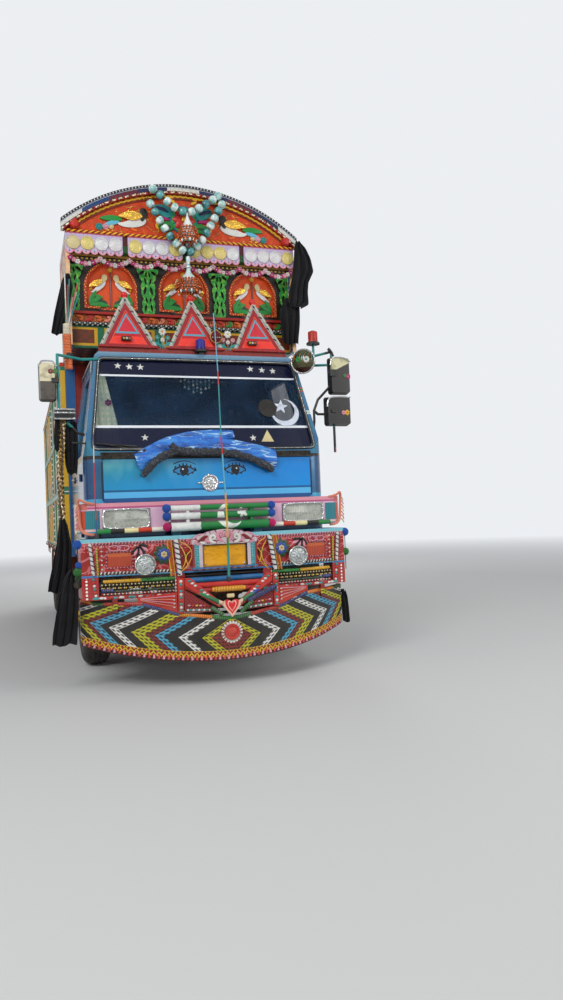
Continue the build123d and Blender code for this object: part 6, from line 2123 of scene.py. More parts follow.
def pompoms():
    """Yarn pompoms at the ends of the three tubes and down both corners of the bumper."""
    ball = blank(bpy.ops.mesh.primitive_ico_sphere_add, subdivisions=3, radius=0.03)
    pressed(ball, whole, (0.0012, 0.004), each=True)
    blue = plain_paint("yarn_blue", "#2f66c0", 0.7, 0.2, 0.1)
    pink = plain_paint("yarn_pink", "#d62a78", 0.7, 0.2, 0.1)
    spots, colours = [], []
    for side in SIDES:
        for z, colour in ((1.579, blue), (1.506, blue), (1.412, pink)):
            spots.append(((side * 0.492, -4.012, z), (0, 0, side), 1.15))
            colours.append(colour)
    for x, y, z, size, colour in (
        (-1.262, -3.93, 1.292, 1.2, blue), (-1.258, -3.935, 1.115, 0.9, blue),
        (-1.266, -3.925, 1.055, 1.2, GREEN), (-1.262, -3.92, 1.0, 1.0, DARK_GREEN),
        (-1.27, -3.915, 0.945, 1.1, BLACK), (1.262, -3.93, 1.292, 1.2, blue), (1.262, -3.93, 1.1, 1.1, GREEN),
    ):
        spots.append(((x, y, z), (0, 0, z), size))
        colours.append(colour)
    yarn = set_out(ball, spots, colours)
    strings = tube(
        [
            [(side * 1.262, -3.93, 1.31), (side * 1.262, -3.93, 1.1), (side * 1.268, -3.915, 0.93)]
            for side in SIDES
        ], 0.004, BLACK, sides=1,
    )
    knots = bead_row(
        [(-0.47, -4.01, 1.595), (-0.466, -4.01, 1.395)], 0.012, (WHITE, NAVY), 0.5, (0.8, 0.8, 1.2),
    )
    knots_right = bead_row(
        [(0.47, -4.01, 1.595), (0.466, -4.01, 1.395)], 0.012, (WHITE, NAVY), 0.5, (0.8, 0.8, 1.2),
    )
    seat(join([yarn, strings, knots, knots_right]), "yarn_pompoms")


def lamp_panel_ears():
    """Curved salmon bars round the ends of the lamp panel, hung with short strips."""
    parts = []
    for side in SIDES:
        line = (
            (1.11, -3.938, 1.64), (1.185, -3.938, 1.65), (1.235, -3.91, 1.69), (1.252, -3.895, 1.655),
            (1.242, -3.898, 1.58), (1.238, -3.898, 1.5), (1.228, -3.905, 1.42), (1.19, -3.93, 1.376),
            (1.11, -3.938, 1.37),
        )
        parts.append(tube([[(side * x, y, z) for x, y, z in line]], 0.013, SALMON, sides=1))
        for index in range(7):
            z = 1.64 - 0.036 * index
            strip = tube(
                [[
                    (side * 1.244, -3.9, z), (side * (1.266 + 0.004 * (index % 2)), -3.906, z - 0.014),
                    (side * 1.27, -3.908, z - 0.042),
                ]], 0.006, sides=0,
            )
            parts.append(finish_with(strip, (CREAM, PINK, SALMON)[index % 3]))
    seat(join(parts), "lamp_panel_ears")


for make in (
    bumper_posts, bumper_flowers, bumper_mouldings, spring_bars, lamp_rims, number_plate, plate_crest,
    v_boards, skirt_top, skirt_gussets, skirt_fringe, pompoms, lamp_panel_ears,
):
    make()


# Garlands, screen details and the things on the cab


def points_along(curve, pitch):
    """Places a pitch apart along a cord's own smooth line, each with its direction."""
    depth, curve.data.bevel_depth = curve.data.bevel_depth, 0
    bpy.context.view_layer.update()
    line = bpy.data.meshes.new_from_object(curve)
    curve.data.bevel_depth = depth
    walk = [corner.co.copy() for corner in line.vertices]
    bpy.data.meshes.remove(line)
    spots, ahead = [], pitch / 2
    for a, b in zip(walk, walk[1:]):
        run = (b - a).length
        while ahead < run:
            spots.append((tuple(a.lerp(b, ahead / run)), (b - a).to_track_quat("Z", "Y").to_euler()))
            ahead += pitch
        ahead -= run
    return spots


KNOT = 0.05  # each knot's own radius, which Blender adds to a curve's box


def free_cord(name, points, radius, finish, with_pieces):
    """A cord as one smooth spline from its exit."""
    string = new_curve([[(*point, KNOT) for point in points]], False, False)
    string.data.bevel_depth = radius / KNOT
    string.data.bevel_resolution = 1
    string.data.use_fill_caps = True
    string.name = name
    string.data.materials.append(finish)
    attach(string, "chassis")
    made = [build(string) for build in with_pieces]


GARLANDS = (
    (
        "garland_upper",
        (
            (-0.342, -3.006, 4.905), (-0.338, -3.034, 4.897), (-0.318, -3.05, 4.878), (-0.27, -3.054, 4.84),
            (-0.198, -3.056, 4.773), (-0.126, -3.058, 4.715), (-0.043, -3.062, 4.674), (0.032, -3.062, 4.662),
            (0.129, -3.058, 4.711), (0.207, -3.056, 4.766), (0.287, -3.054, 4.821), (0.345, -3.05, 4.868),
            (0.366, -3.034, 4.888), (0.37, -3.006, 4.898),
        ), 0.91,
    ),
    (
        "garland_lower",
        (
            (-0.412, -2.972, 4.8), (-0.408, -3.01, 4.796), (-0.396, -3.046, 4.78), (-0.348, -3.052, 4.705),
            (-0.297, -3.05, 4.614), (-0.254, -3.046, 4.535), (-0.201, -3.042, 4.462), (-0.148, -3.04, 4.386),
            (-0.076, -3.042, 4.31), (-0.02, -3.044, 4.252), (0.03, -3.044, 4.246), (0.113, -3.042, 4.32),
            (0.173, -3.04, 4.394), (0.225, -3.042, 4.48), (0.272, -3.046, 4.563), (0.318, -3.05, 4.644),
            (0.36, -3.052, 4.724), (0.402, -3.046, 4.795), (0.412, -3.01, 4.815), (0.416, -2.972, 4.82),
        ), 1.5,
    ),
)


def garlands():
    """Two hanging strings of lobed pearly beads, hooked to the arch at both ends."""
    for name, points, length in GARLANDS:

        def strung(string):
            spots = [spot for spot in points_along(string, 0.093) if spot[0][1] < -3.03]
            return seat(
                set_out(lobed_bead(0.046), spots, (PEARL, PEARL_DARK, PEARL)), name + "_beads",
            )

        free_cord(name, points, 0.004, BLACK, (strung,))
    hooks = [
        ((x, y, z),)
        for x, y, z in (
            (-0.342, -3.01, 4.905), (0.37, -3.01, 4.898), (-0.412, -2.966, 4.802), (0.416, -2.966, 4.822),
        )
    ]
    knob = pressed(disc_blank((0, 0, 0), 0.012, 0.02, 10), front, (0.003, 0.004))
    seat(set_out(knob, hooks, (GOLD,)), "garland_hooks")


def bells():
    """Two hanging bells: a pearly cone under a slim neck, hung with rows of copper drops and end pendants."""
    parts = []
    drop = lobed_drop(0.015)
    for x, y, profile, rows in (
        (
            0.005, -3.118,
            (
                (4.64, 0.006), (4.6, 0.012), (4.56, 0.026), (4.51, 0.052), (4.46, 0.078), (4.4, 0.098),
                (4.375, 0.078),
            ), ((4.478, 0.078), (4.446, 0.09), (4.414, 0.1), (4.384, 0.098), (4.362, 0.084)),
        ),
        (
            0.001, -3.09,
            (
                (4.19, 0.02), (4.16, 0.024), (4.11, 0.016), (4.06, 0.018), (4.02, 0.03), (3.975, 0.072),
                (3.93, 0.098), (3.88, 0.122), (3.856, 0.104),
            ), ((3.94, 0.106), (3.912, 0.12), (3.884, 0.132), (3.858, 0.134), (3.838, 0.112)),
        ),
    ):
        widest = max(radius for z, radius in profile)
        parts.append(tube(
            [[(x, y, z, radius / widest) for z, radius in profile]], widest, PEARL_WHITE, sides=5,
        ))
        spots = []
        for z, radius in rows:
            count = int(math.tau * radius / 0.031)
            for index in range(count):
                angle = math.tau * (index + 0.5 * (z * 31 % 1)) / count
                spots.append(((x + radius * math.cos(angle), y + radius * math.sin(angle), z),))
        parts.append(set_out(copy_of(drop), spots, (COPPER,)))
        foot, reach = rows[-1]
        pendants = []
        for index in range(12):
            angle = math.tau * index / 12
            pendants.append((
                (x + reach * math.cos(angle), y + reach * math.sin(angle), foot - 0.02), (0, 0, 0),
                (0.7, 0.7, 1.5),
            ))
        parts.append(set_out(copy_of(drop), pendants, (COPPER, PEARL_WHITE)))
    bpy.data.objects.remove(drop)
    parts.append(set_out(
        lobed_bead(0.02), [((0.001, -3.09, z),) for z in (4.175, 4.14, 4.105, 4.07)], (PEARL, PEARL_DARK),
    ))
    seat(join(parts), "garland_bells")


def lobed_drop(radius):
    """A small drop bead of few faces."""
    return squeezed(
        ball_blank(radius, 6, 4), lambda centre, normal: centre.z > radius * 0.5, (0.6, 0.6, 1.15),
    )


def copy_of(piece):
    twin = piece.copy()
    twin.data = piece.data.copy()
    bpy.context.scene.collection.objects.link(twin)
    return twin


SCREEN_LEAN = -math.atan(0.29 / 0.935)


def screen_y(z, skin=False):
    """The windscreen's outer face at a height, or the cab skin round it."""
    return -3.69 + 0.31016 * (z - 2.125) + (0.0 if skin else 0.0194)


def on_screen(x, z, proud, skin=False):
    return (x, screen_y(z, skin) - proud * math.cos(SCREEN_LEAN), z + proud * math.sin(SCREEN_LEAN))


def on_glass(outline, thick, finish, lift):
    """A flat board or sticker laid on the windscreen."""
    z = sum(v for u, v in outline) / len(outline)
    return leaning(finish_with(square_cut(outline, thick), finish), screen_y(z) - lift, z, SCREEN_LEAN)


def star_outline(x, z, radius, turn):
    points = []
    for index in range(10):
        reach = radius if index % 2 == 0 else radius * 0.42
        angle = turn + math.pi * index / 5
        points.append((x + reach * math.sin(angle), z + reach * math.cos(angle)))
    return points


def screen_stars():
    """White stars and a pale triangle on the dark bands, a silver crescent and star on the clear glass."""
    parts = []
    for x, z, turn in (
        (-0.797, 2.97, 0.1), (-0.688, 2.963, -0.1), (-0.581, 2.962, 0.0), (0.528, 2.972, -0.1),
        (0.651, 2.963, 0.1), (0.766, 2.957, 0.0), (-0.597, 2.255, 0.05), (0.461, 2.247, -0.05),
    ):
        parts.append(on_glass(star_outline(x, z, 0.037, turn), 0.002, WHITE, -0.0005))
    parts.append(on_glass([(0.542, 2.207), (0.672, 2.206), (0.616, 2.334)], 0.002, CREAM, -0.0005))
    centre, inner, opening, half = (0.83, 2.512), (0.814, 2.538), math.radians(121), math.radians(27)
    crescent = []
    for step in range(27):
        angle = opening + half + (math.tau - 2 * half) * step / 26
        crescent.append((centre[0] + 0.149 * math.cos(angle), centre[1] + 0.149 * math.sin(angle)))
    for step in range(1, 22):
        angle = opening - 0.52 - (math.tau - 1.04) * step / 22
        crescent.append((inner[0] + 0.121 * math.cos(angle), inner[1] + 0.121 * math.sin(angle)))
    parts += [
        on_glass(crescent, 0.004, SILVER, 0.004),
        on_glass(star_outline(0.792, 2.572, 0.08, 0.15), 0.004, SILVER, 0.006),
    ]
    pad = pressed(
        disc_blank((0, -0.006, 0), 0.096, 0.012, 28), front, (0.012, 0.003), (0.02, -0.005), (0.03, 0.004),
    )
    pad.location = (0.65, 0, 2.552)
    parts.append(leaning(finish_with(soften(pad, 0.002, 1), BLACK), screen_y(2.552), 2.552, SCREEN_LEAN))
    seat(join(parts), "screen_stickers")


SILVER = metal_finish("silver_foil", "#c4cad6", 0.3, 90.0)


@finish
def rubber_finish(mix):
    """Perished black rubber, dusty in patches."""
    grey = mix.noise(9.0, 5.0).fade(0.45, 0.7)
    mix.plain(mix.over(grey * 0.4, "#121313", "#58564f"), grey * 0.25 + 0.5)
    mix.bump(mix.noise(190.0, 3.0), 0.001)


RUBBER = rubber_finish("window_rubber")


def screen_surround():
    """Rubber seal round the windscreen with a thin bright strip, a black cowl and two parked wipers."""
    seal = []
    for x, z in (
        (-1.01, 2.142), (-0.4, 2.14), (0.4, 2.14), (1.01, 2.142), (1.078, 2.15), (1.08, 2.215), (1.028, 2.6),
        (0.984, 2.965), (0.974, 3.036), (0.9, 3.042), (0.4, 3.044), (-0.4, 3.044), (-0.9, 3.042),
        (-0.974, 3.036), (-0.984, 2.965), (-1.028, 2.6), (-1.08, 2.215), (-1.078, 2.15),
    ):
        seal.append(on_screen(x, z, 0.0, True))
    parts = [tube([seal], 0.017, RUBBER, closed=True, sides=2)]
    parts.append(tube([[(x, y - 0.014, z) for x, y, z in seal]], 0.004, CHROME, closed=True, sides=1))
    cowl = cube_blank((-1.02, -3.73, 2.052), (1.02, -3.708, 2.112))
    divided(cowl, front, 7)
    pressed(
        cowl, lambda centre, normal: normal.y < -0.7 and abs(centre.z - 2.082) < 0.024, (0.002, -0.006),
        each=True,
    )
    parts.append(finish_with(soften(cowl, 0.0015, 1), BLACK))
    for x, reach, tip in ((-0.62, -0.36, 2.196), (0.52, -0.4, 2.19)):
        pivot = on_screen(x, 2.118, 0.02, True)
        end = on_screen(x + reach, tip, 0.014)
        parts += [
            tube([[pivot, on_screen(x + reach * 0.4, 2.165, 0.03), end]], 0.006, BLACK, sides=1),
            tube(
                [[on_screen(x + reach + 0.3, 2.172, 0.006), end, on_screen(x + reach - 0.28, 2.212, 0.006)]],
                0.008, RUBBER, sides=1,
            ),
        ]
        hub = pressed(disc_blank((0, -0.008, 0), 0.02, 0.016, 14), front, (0.006, 0.006))
        hub.location = (x, 0, 2.118)
        parts.append(leaning(finish_with(hub, BLACK), screen_y(2.118, True) - 0.012, 2.118, SCREEN_LEAN))
    seat(join(parts), "screen_surround")


def hung_cloth(name, edges, y_at, folds, depth, finish, thick=0.003):
    """Cloth hung in upright folds about y_at(share, z): its edges are (left x, right x, z), top down."""
    columns, rows = folds * 8, (len(edges) - 1) * 4
    cloth = blank(bpy.ops.mesh.primitive_grid_add, x_subdivisions=columns, y_subdivisions=rows, size=1)
    cloth.name = name
    for corner in cloth.data.vertices:
        u, v = corner.co.x + 0.5, 0.5 - corner.co.y
        stop = min(int(v * (len(edges) - 1)), len(edges) - 2)
        share = v * (len(edges) - 1) - stop
        left, right, z = (a + (b - a) * share for a, b in zip(edges[stop], edges[stop + 1]))
        turn = u * folds * math.tau
        wave = math.sin(turn + 1.3 * math.sin(v * 5 + u * 3)) + 0.45 * math.sin(turn * 2.3 + v * 9)
        z += 0.01 * math.sin(turn * 0.5 + 1)
        corner.co = (left + (right - left) * u, y_at(u, z) + depth * wave * (0.55 + 0.45 * v), z)
    return finish_with(as_cloth(cloth, thick), finish)


@finish
def lace_finish(mix):
    """Pale green lace: a thread net with flowers."""
    x, y, z = mix.place()
    net = (abs((x / 0.01).share() - 0.5) < 0.14).most(abs((z / 0.01).share() - 0.5) < 0.14)
    bloom = dots(x, z, 0.055, 0.055, 0.016)
    mix.plain(mix.pick("#c9dcc4", (net * 0.5, "#f0f4e6"), (bloom, "#f4efd0")), 0.85)
    # painted light: a faint emission makes the lace glow as if lit
    mix.give("Emission Color", (0.62, 0.74, 0.58, 1))
    mix.give("Emission Strength", 0.25)
    mix.bump(net.most(bloom), 0.001)


def cab_curtain():
    """Lace curtain gathered behind the windscreen at the truck's right, with a cloth flower tied on it."""
    edges = [
        (-0.985, -0.925, 2.93), (-1.005, -0.9, 2.78), (-1.02, -0.87, 2.6), (-1.035, -0.83, 2.4),
        (-1.045, -0.8, 2.2),
    ]
    lace = hung_cloth(
        "cab_curtain", edges, lambda u, z: screen_y(z) + 0.075, 4, 0.012, lace_finish("curtain_lace"), 0.0015,
    )
    seat(lace, "cab_curtain")
    bloom = placed(flower_head(0.034, 6, 0.016, MAGENTA, PINK), (-0.905, screen_y(2.606) + 0.05, 2.606))
    rail = tube(
        [[(-1.01, screen_y(2.965) + 0.075, 2.97), (-0.91, screen_y(2.965) + 0.075, 2.97)]], 0.006, CHROME,
        sides=1,
    )
    seat(join([bloom, rail]), "curtain_flower")


def glass_drops():
    """A cluster of glass drops hung on threads from the cab roof behind the screen."""
    threads, spots = [], []
    for column in range(9):
        x = -0.184 + 0.0414 * column
        foot = 2.86 - 0.115 * math.sin(math.pi * (column + 0.5) / 9) - 0.018 * (column % 2)
        y = screen_y(2.85) + 0.07 + 0.012 * (column % 3)
        threads.append([(x, y, 2.955), (x, y, foot)])
        rows = max(int((2.905 - foot) / 0.036), 1)
        for row in range(rows):
            spots.append(((x, y, foot + row * 0.036),))
    parts = [
        tube(threads, 0.0015, WHITE, sides=0),
        set_out(lobed_drop(0.013), spots, (PEARL_WHITE, PEARL, PEARL_DARK)),
    ]
    parts.append(tube(
        [[(-0.21, screen_y(2.85) + 0.08, 2.958), (0.17, screen_y(2.85) + 0.08, 2.958)]], 0.006, CHROME,
        sides=1,
    ))
    seat(join(parts), "cab_glass_drops")


@finish
def tarp_finish(mix):
    """Wrinkled blue vinyl: painted highlights on its folds and creases, painted shade in the hollows."""
    fold = mix.noise(6.5, 4.0, (1.0, 1, 2.6))
    fine = mix.noise(34.0, 4.0, (1, 1, 1.5))
    long_crease_highlight = abs(mix.noise(5.0, 2.0, (0.35, 1, 3.0)) - 0.5) < 0.014
    short_crease_highlight = abs(mix.noise(8.0, 1.0, (0.35, 1, 2.6)) - 0.47) < 0.009
    crease = long_crease_highlight.most(short_crease_highlight * 0.4)
    # painted light: fold ridges lightened, hollows shaded, crease lines as pale painted highlights
    colour = mix.pick(
        "#1767c4", (fold.fade(0.52, 0.66) * 0.55, "#49a0e6"), (fold.fade(0.47, 0.34) * 0.7, "#0a2f74"),
        (crease * 0.75, "#b4dcf6"),
    )
    mix.plain(colour, fine * 0.3 + 0.16)
    mix.bump(fold * 0.8 + fine * 0.3 + crease * 0.5, 0.01)
    mix.coat(0.9, 0.12)


def smooth_row(points, count):
    """Points spaced evenly along a polyline."""
    runs = [math.dist(a, b) for a, b in zip(points, points[1:])]
    total, out = sum(runs), []
    for index in range(count):
        ahead = total * index / (count - 1)
        for (a, b), run in zip(zip(points, points[1:]), runs):
            if ahead <= run + 1e-9:
                out.append([p + (q - p) * ahead / run for p, q in zip(a, b)])
                break
            ahead -= run
    for _ in range(3):
        out = [out[0]] + [
            [(p + 2 * q + r) / 4 for p, q, r in zip(a, b, c)]
            for a, b, c in zip(out, out[1:], out[2:])
        ] + [out[-1]]
    return out


def cab_front_y(z):
    """The cab's front skin at a height, in metres."""
    if z < 2.045:
        return -3.7405
    return screen_y(z, True) if z > 2.125 else -3.7405 + (z - 2.045) / 0.08 * 0.0505


def folded_brow(name, top, foot, lift, seed, fold):
    """A long flat fold of tarpaulin laid over the cowl: top and foot edges as (x, z), lift off the cab."""
    columns, rows = 84, 14
    upper, lower = smooth_row(top, columns + 1), smooth_row(foot, columns + 1)
    cloth = blank(bpy.ops.mesh.primitive_grid_add, x_subdivisions=columns, y_subdivisions=rows, size=1)
    for corner in cloth.data.vertices:
        u, v = corner.co.x + 0.5, corner.co.y + 0.5
        a, b = lower[round(u * columns)], upper[round(u * columns)]
        x, z = a[0] + (b[0] - a[0]) * v, a[1] + (b[1] - a[1]) * v
        belly = math.sin(math.pi * min(max(v, 0.0), 1.0)) ** 0.6
        waves = ((21, 34, 1, 0.5), (47, -29, 2, 0.3), (12, -61, 1, 0.4))
        crease = sum(math.sin(x * a + z * b + seed * shift) * size for a, b, shift, size in waves)
        corner.co = (x, cab_front_y(z) - lift - belly * (fold + 0.007 * crease) - 0.004, z)
    return seat(finish_with(as_cloth(cloth, 0.004), TARP), name)


TARP = tarp_finish("tarpaulin_blue")
BROW_TOP = (
    (-0.72, 2.094), (-0.628, 2.15), (-0.511, 2.21), (-0.409, 2.256), (-0.299, 2.286), (-0.187, 2.31),
    (-0.067, 2.323), (0.038, 2.328), (0.16, 2.328), (0.248, 2.319),
)
BROW_FOOT = (
    (-0.69, 1.96), (-0.64, 1.925), (-0.58, 1.99), (-0.5, 2.05), (-0.415, 2.095), (-0.32, 2.125), (-0.2, 2.16),
    (-0.067, 2.19), (0.09, 2.215), (0.262, 2.24),
)
FOLD_TOP = (
    (-0.4, 2.16), (-0.329, 2.208), (-0.244, 2.231), (-0.141, 2.244), (-0.037, 2.251), (0.067, 2.248),
    (0.251, 2.227), (0.383, 2.201), (0.527, 2.165), (0.653, 2.12),
)
FOLD_FOOT = (
    (-0.35, 2.085), (-0.25, 2.09), (-0.148, 2.095), (-0.028, 2.098), (0.094, 2.092), (0.199, 2.08),
    (0.339, 2.045), (0.463, 1.998), (0.561, 1.96), (0.64, 1.95),
)


def tarpaulin():
    """Blue tarpaulin folded along the cowl in two overlapping lengths, with two dark foam rolls under it."""
    brow = folded_brow("tarpaulin_upper", BROW_TOP, BROW_FOOT, 0.006, 1.0, 0.026)
    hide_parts("blue_sheet")
    fold = folded_brow("tarpaulin_lower", FOLD_TOP, FOLD_FOOT, 0.02, 2.7, 0.028)
    for name, line in (
        (
            "foam_roll_right",
            (
                (-0.655, -3.79, 1.88, 0.7), (-0.628, -3.79, 1.92, 0.95), (-0.59, -3.792, 1.965),
                (-0.54, -3.794, 2.015, 1.05), (-0.485, -3.794, 2.054), (-0.42, -3.794, 2.088, 1.1),
                (-0.35, -3.792, 2.108), (-0.285, -3.79, 2.118, 0.95),
            ),
        ),
        (
            "foam_roll_left",
            (
                (-0.392, -3.8, 2.172, 0.85), (-0.362, -3.806, 2.14, 1.05), (-0.3, -3.806, 2.108),
                (-0.189, -3.8, 2.1, 1.1), (-0.067, -3.8, 2.1), (0.051, -3.8, 2.1, 1.05), (0.155, -3.8, 2.09),
                (0.26, -3.8, 2.07, 1.1), (0.365, -3.798, 2.04), (0.471, -3.796, 1.995, 1.05),
                (0.56, -3.794, 1.945), (0.6, -3.792, 1.915, 0.8),
            ),
        ),
    ):
        roll = tube([line], 0.034, sides=4)
        for corner in roll.data.vertices:
            x, y, z = corner.co
            swell = 0.0035 * (math.sin(x * 95 + z * 60) + math.sin(x * 41 - y * 130))
            swell += 0.002 * math.sin(z * 260 + x * 130)
            corner.co.z += swell
            corner.co.y -= swell * 0.6
        seat(roll, name, finish=FOAM)


@finish
def foam_finish(mix):
    """Old dark grey foam lagging, torn open in small pits."""
    pit = mix.cells(75.0).fade(0.15, 0.4)
    fleck = mix.noise(55.0, 5.0).fade(0.48, 0.66)
    # painted shade darkens the pits
    mix.plain(mix.pick("#2f3237", (fleck * 0.55, "#6a6d72"), (pit.off() * 0.5, "#15171a")), 0.95)
    mix.bump(pit + fleck * 0.6, 0.004)


FOAM = foam_finish("foam_lagging")


def front_rosette():
    """A plain chrome rosette with eight rays in the middle of the front panel."""
    ring = pressed(
        disc_blank((-0.017, -3.7455, 1.812), 0.08, 0.011, 36), front, (0.012, 0.003), (0.01, -0.008),
    )
    parts = [finish_with(soften(ring, 0.002, 2), CHROME)]
    petals = placed(petal_round(0.056, 8, 0.007), (-0.017, -3.747, 1.812))
    parts += [finish_with(petals, CHROME), boss((-0.017, -3.748, 1.812), 0.017, 0.01, CHROME, 18)]
    bars = [
        finish_with(soften(cube_blank((x - 0.028, -3.75, 1.806), (x + 0.028, -3.7395, 1.818)), 0.003), CHROME)
        for x in (-0.112, 0.078)
    ]
    seat(join(parts + bars), "front_rosette")


for make in (
    garlands, bells, screen_stars, screen_surround, cab_curtain, glass_drops, tarpaulin, front_rosette,
):
    make()


# Hanging cloths, mirrors, beacons and whips


COTTON = cloth_finish("black_cotton", "#09090c", 0.0015, 0.08, "#26262b")
CLOTHS = (
    (
        "cloth_crown_left", -3.04, 3, 0.02, (0.34, 0.74), "arch_rim",
        (
            (1.228, 1.264, 4.47), (1.205, 1.33, 4.4), (1.195, 1.385, 4.29), (1.18, 1.415, 4.154),
            (1.16, 1.352, 4.03), (1.13, 1.345, 3.93), (1.095, 1.352, 3.79), (1.13, 1.25, 3.735),
        ),
    ),
    (
        "cloth_crown_low", -3.012, 3, 0.018, (0.34, 0.5), "crown_box",
        (
            (1.085, 1.235, 3.84), (1.035, 1.242, 3.74), (1.014, 1.235, 3.6), (1.018, 1.23, 3.46),
            (1.04, 1.228, 3.345),
        ),
    ),
    (
        "cloth_crown_right", -2.995, 3, 0.015, (0.22, 0.63), "crown_box",
        (
            (-1.217, -1.183, 3.966), (-1.259, -1.165, 3.89), (-1.282, -1.15, 3.8), (-1.304, -1.16, 3.71),
            (-1.346, -1.2, 3.534), (-1.38, -1.246, 3.352),
        ),
    ),
    (
        "cloth_arm_right", -3.548, 3, 0.016, (0.24, 0.48), "mirrors",
        (
            (-1.3, -1.205, 2.412), (-1.31, -1.2, 2.33), (-1.318, -1.2, 2.2), (-1.322, -1.204, 2.09),
            (-1.318, -1.208, 2.01), (-1.302, -1.216, 1.93),
        ),
    ),
    (
        "cloth_arm_end", -3.6, 2, 0.01, (0.09, 0.27), "mirrors",
        ((-1.398, -1.362, 2.416), (-1.408, -1.356, 2.33), (-1.412, -1.36, 2.24), (-1.414, -1.368, 2.141)),
    ),
    (
        "cloth_strand_foot", -3.6, 3, 0.016, (0.2, 0.66), "mirrors",
        (
            (-1.382, -1.34, 1.53), (-1.396, -1.32, 1.47), (-1.42, -1.29, 1.292), (-1.47, -1.296, 1.07),
            (-1.5, -1.31, 0.95), (-1.512, -1.322, 0.866),
        ),
    ),
    (
        "cloth_bumper_right", -3.905, 3, 0.018, (0.24, 0.66), "bumper",
        (
            (-1.33, -1.272, 1.075), (-1.372, -1.27, 1.02), (-1.412, -1.27, 0.9), (-1.458, -1.274, 0.7),
            (-1.492, -1.282, 0.52), (-1.5, -1.29, 0.43),
        ),
    ),
    (
        "cloth_skirt_left", -3.8, 2, 0.012, (0.13, 0.32), "skirt",
        ((1.264, 1.3, 0.705), (1.258, 1.322, 0.64), (1.257, 1.336, 0.55), (1.26, 1.348, 0.395)),
    ),
)


def black_rags():
    """Black cloths at the crown's corners, on the right mirror arm and at the bumper's and skirt's ends."""
    for index, (name, y, folds, depth, flat, holder, edges) in enumerate(CLOTHS):
        rag = seat(
            hung_cloth(name, edges, lambda u, z: y - 0.012 * math.sin(z * 9), folds, depth, COTTON), name,
        )
        if not index:
            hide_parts("black_cloths")
    knots = []
    for x, y, z in (
        (1.244, -3.03, 4.452), (1.16, -3.01, 3.838), (-1.198, -2.99, 3.95), (-1.252, -3.545, 2.402),
        (-1.38, -3.6, 2.412), (-1.361, -3.6, 1.526), (-1.29, -3.905, 1.076), (1.268, -3.8, 0.707),
    ):
        knots.append(wound_line([(x - 0.018, y, z), (x + 0.018, y, z)], 0.016, 0.006, 0.012, COTTON, COTTON))
    seat(join(knots), "rag_knots")


def tinsel_strand():
    """A limp strand wound with brass, brown and pale tinsel, hung from the right mirror to a black cloth."""
    points = (
        (-1.336, -3.6, 2.414), (-1.34, -3.597, 2.33), (-1.344, -3.6, 2.22), (-1.362, -3.604, 2.06),
        (-1.371, -3.602, 1.88), (-1.365, -3.598, 1.72), (-1.367, -3.6, 1.6), (-1.361, -3.6, 1.53),
    )

    tinsel = (
        metal_finish("tinsel_brass", "#94763c", 0.4), plain_paint("tinsel_brown", "#4e3822", 0.5),
        metal_finish("tinsel_pale", "#b9a888", 0.4),
    )

    def twist(string):
        spots = [
            (place, (turn.x + 0.5 * math.sin(i * 2.4), turn.y, i * 1.1))
            for i, (place, turn) in enumerate(points_along(string, 0.014))
        ]
        return seat(
            set_out(petal_round(0.032, 4, 0.011), spots, tinsel), "tinsel_strand_twist",
        )

    free_cord("tinsel_strand", points, 0.004, COTTON, (twist,))


def coloured_sticks():
    """A sheaf of coloured sticks bound with white twine and orange cord on the right mirror arm."""
    parts = []
    for index, (x, z) in enumerate((
        (-1.262, 3.64), (-1.262, 3.8), (-1.238, 3.7), (-1.22, 3.76), (-1.196, 3.588), (-1.18, 3.7),
        (-1.16, 3.64), (-1.146, 3.726), (-1.134, 3.625), (-1.236, 3.56),
    )):
        foot = (-1.268 + 0.006 * (index % 4), -3.478 + 0.008 * (index % 3), 3.18)
        neck = (-1.266 + 0.005 * (index % 5), -3.474 + 0.006 * (index % 3), 3.33)
        parts.append(tube(
            [[foot, neck, (x, -3.47 - 0.01 * (index % 3), z)]], 0.0055,
            (GREEN, WHITE, RED, TEAL, PINK)[index % 5], sides=0,
        ))
    parts += [
        wound_line([(-1.259, -3.472, 3.335), (-1.262, -3.472, 3.235)], 0.032, 0.007, 0.016, CREAM, WHITE),
        wound_line(
            [(-1.262, -3.472, 3.235), (-1.256, -3.472, 3.06), (-1.252, -3.472, 2.915)], 0.036, 0.009, 0.026,
            ORANGE, ORANGE,
        ), wound_line([(-1.268, -3.472, 3.045), (-1.238, -3.472, 3.02)], 0.046, 0.006, 0.012, RUBBER, RUBBER),
    ]
    seat(join(parts), "stick_sheaf")


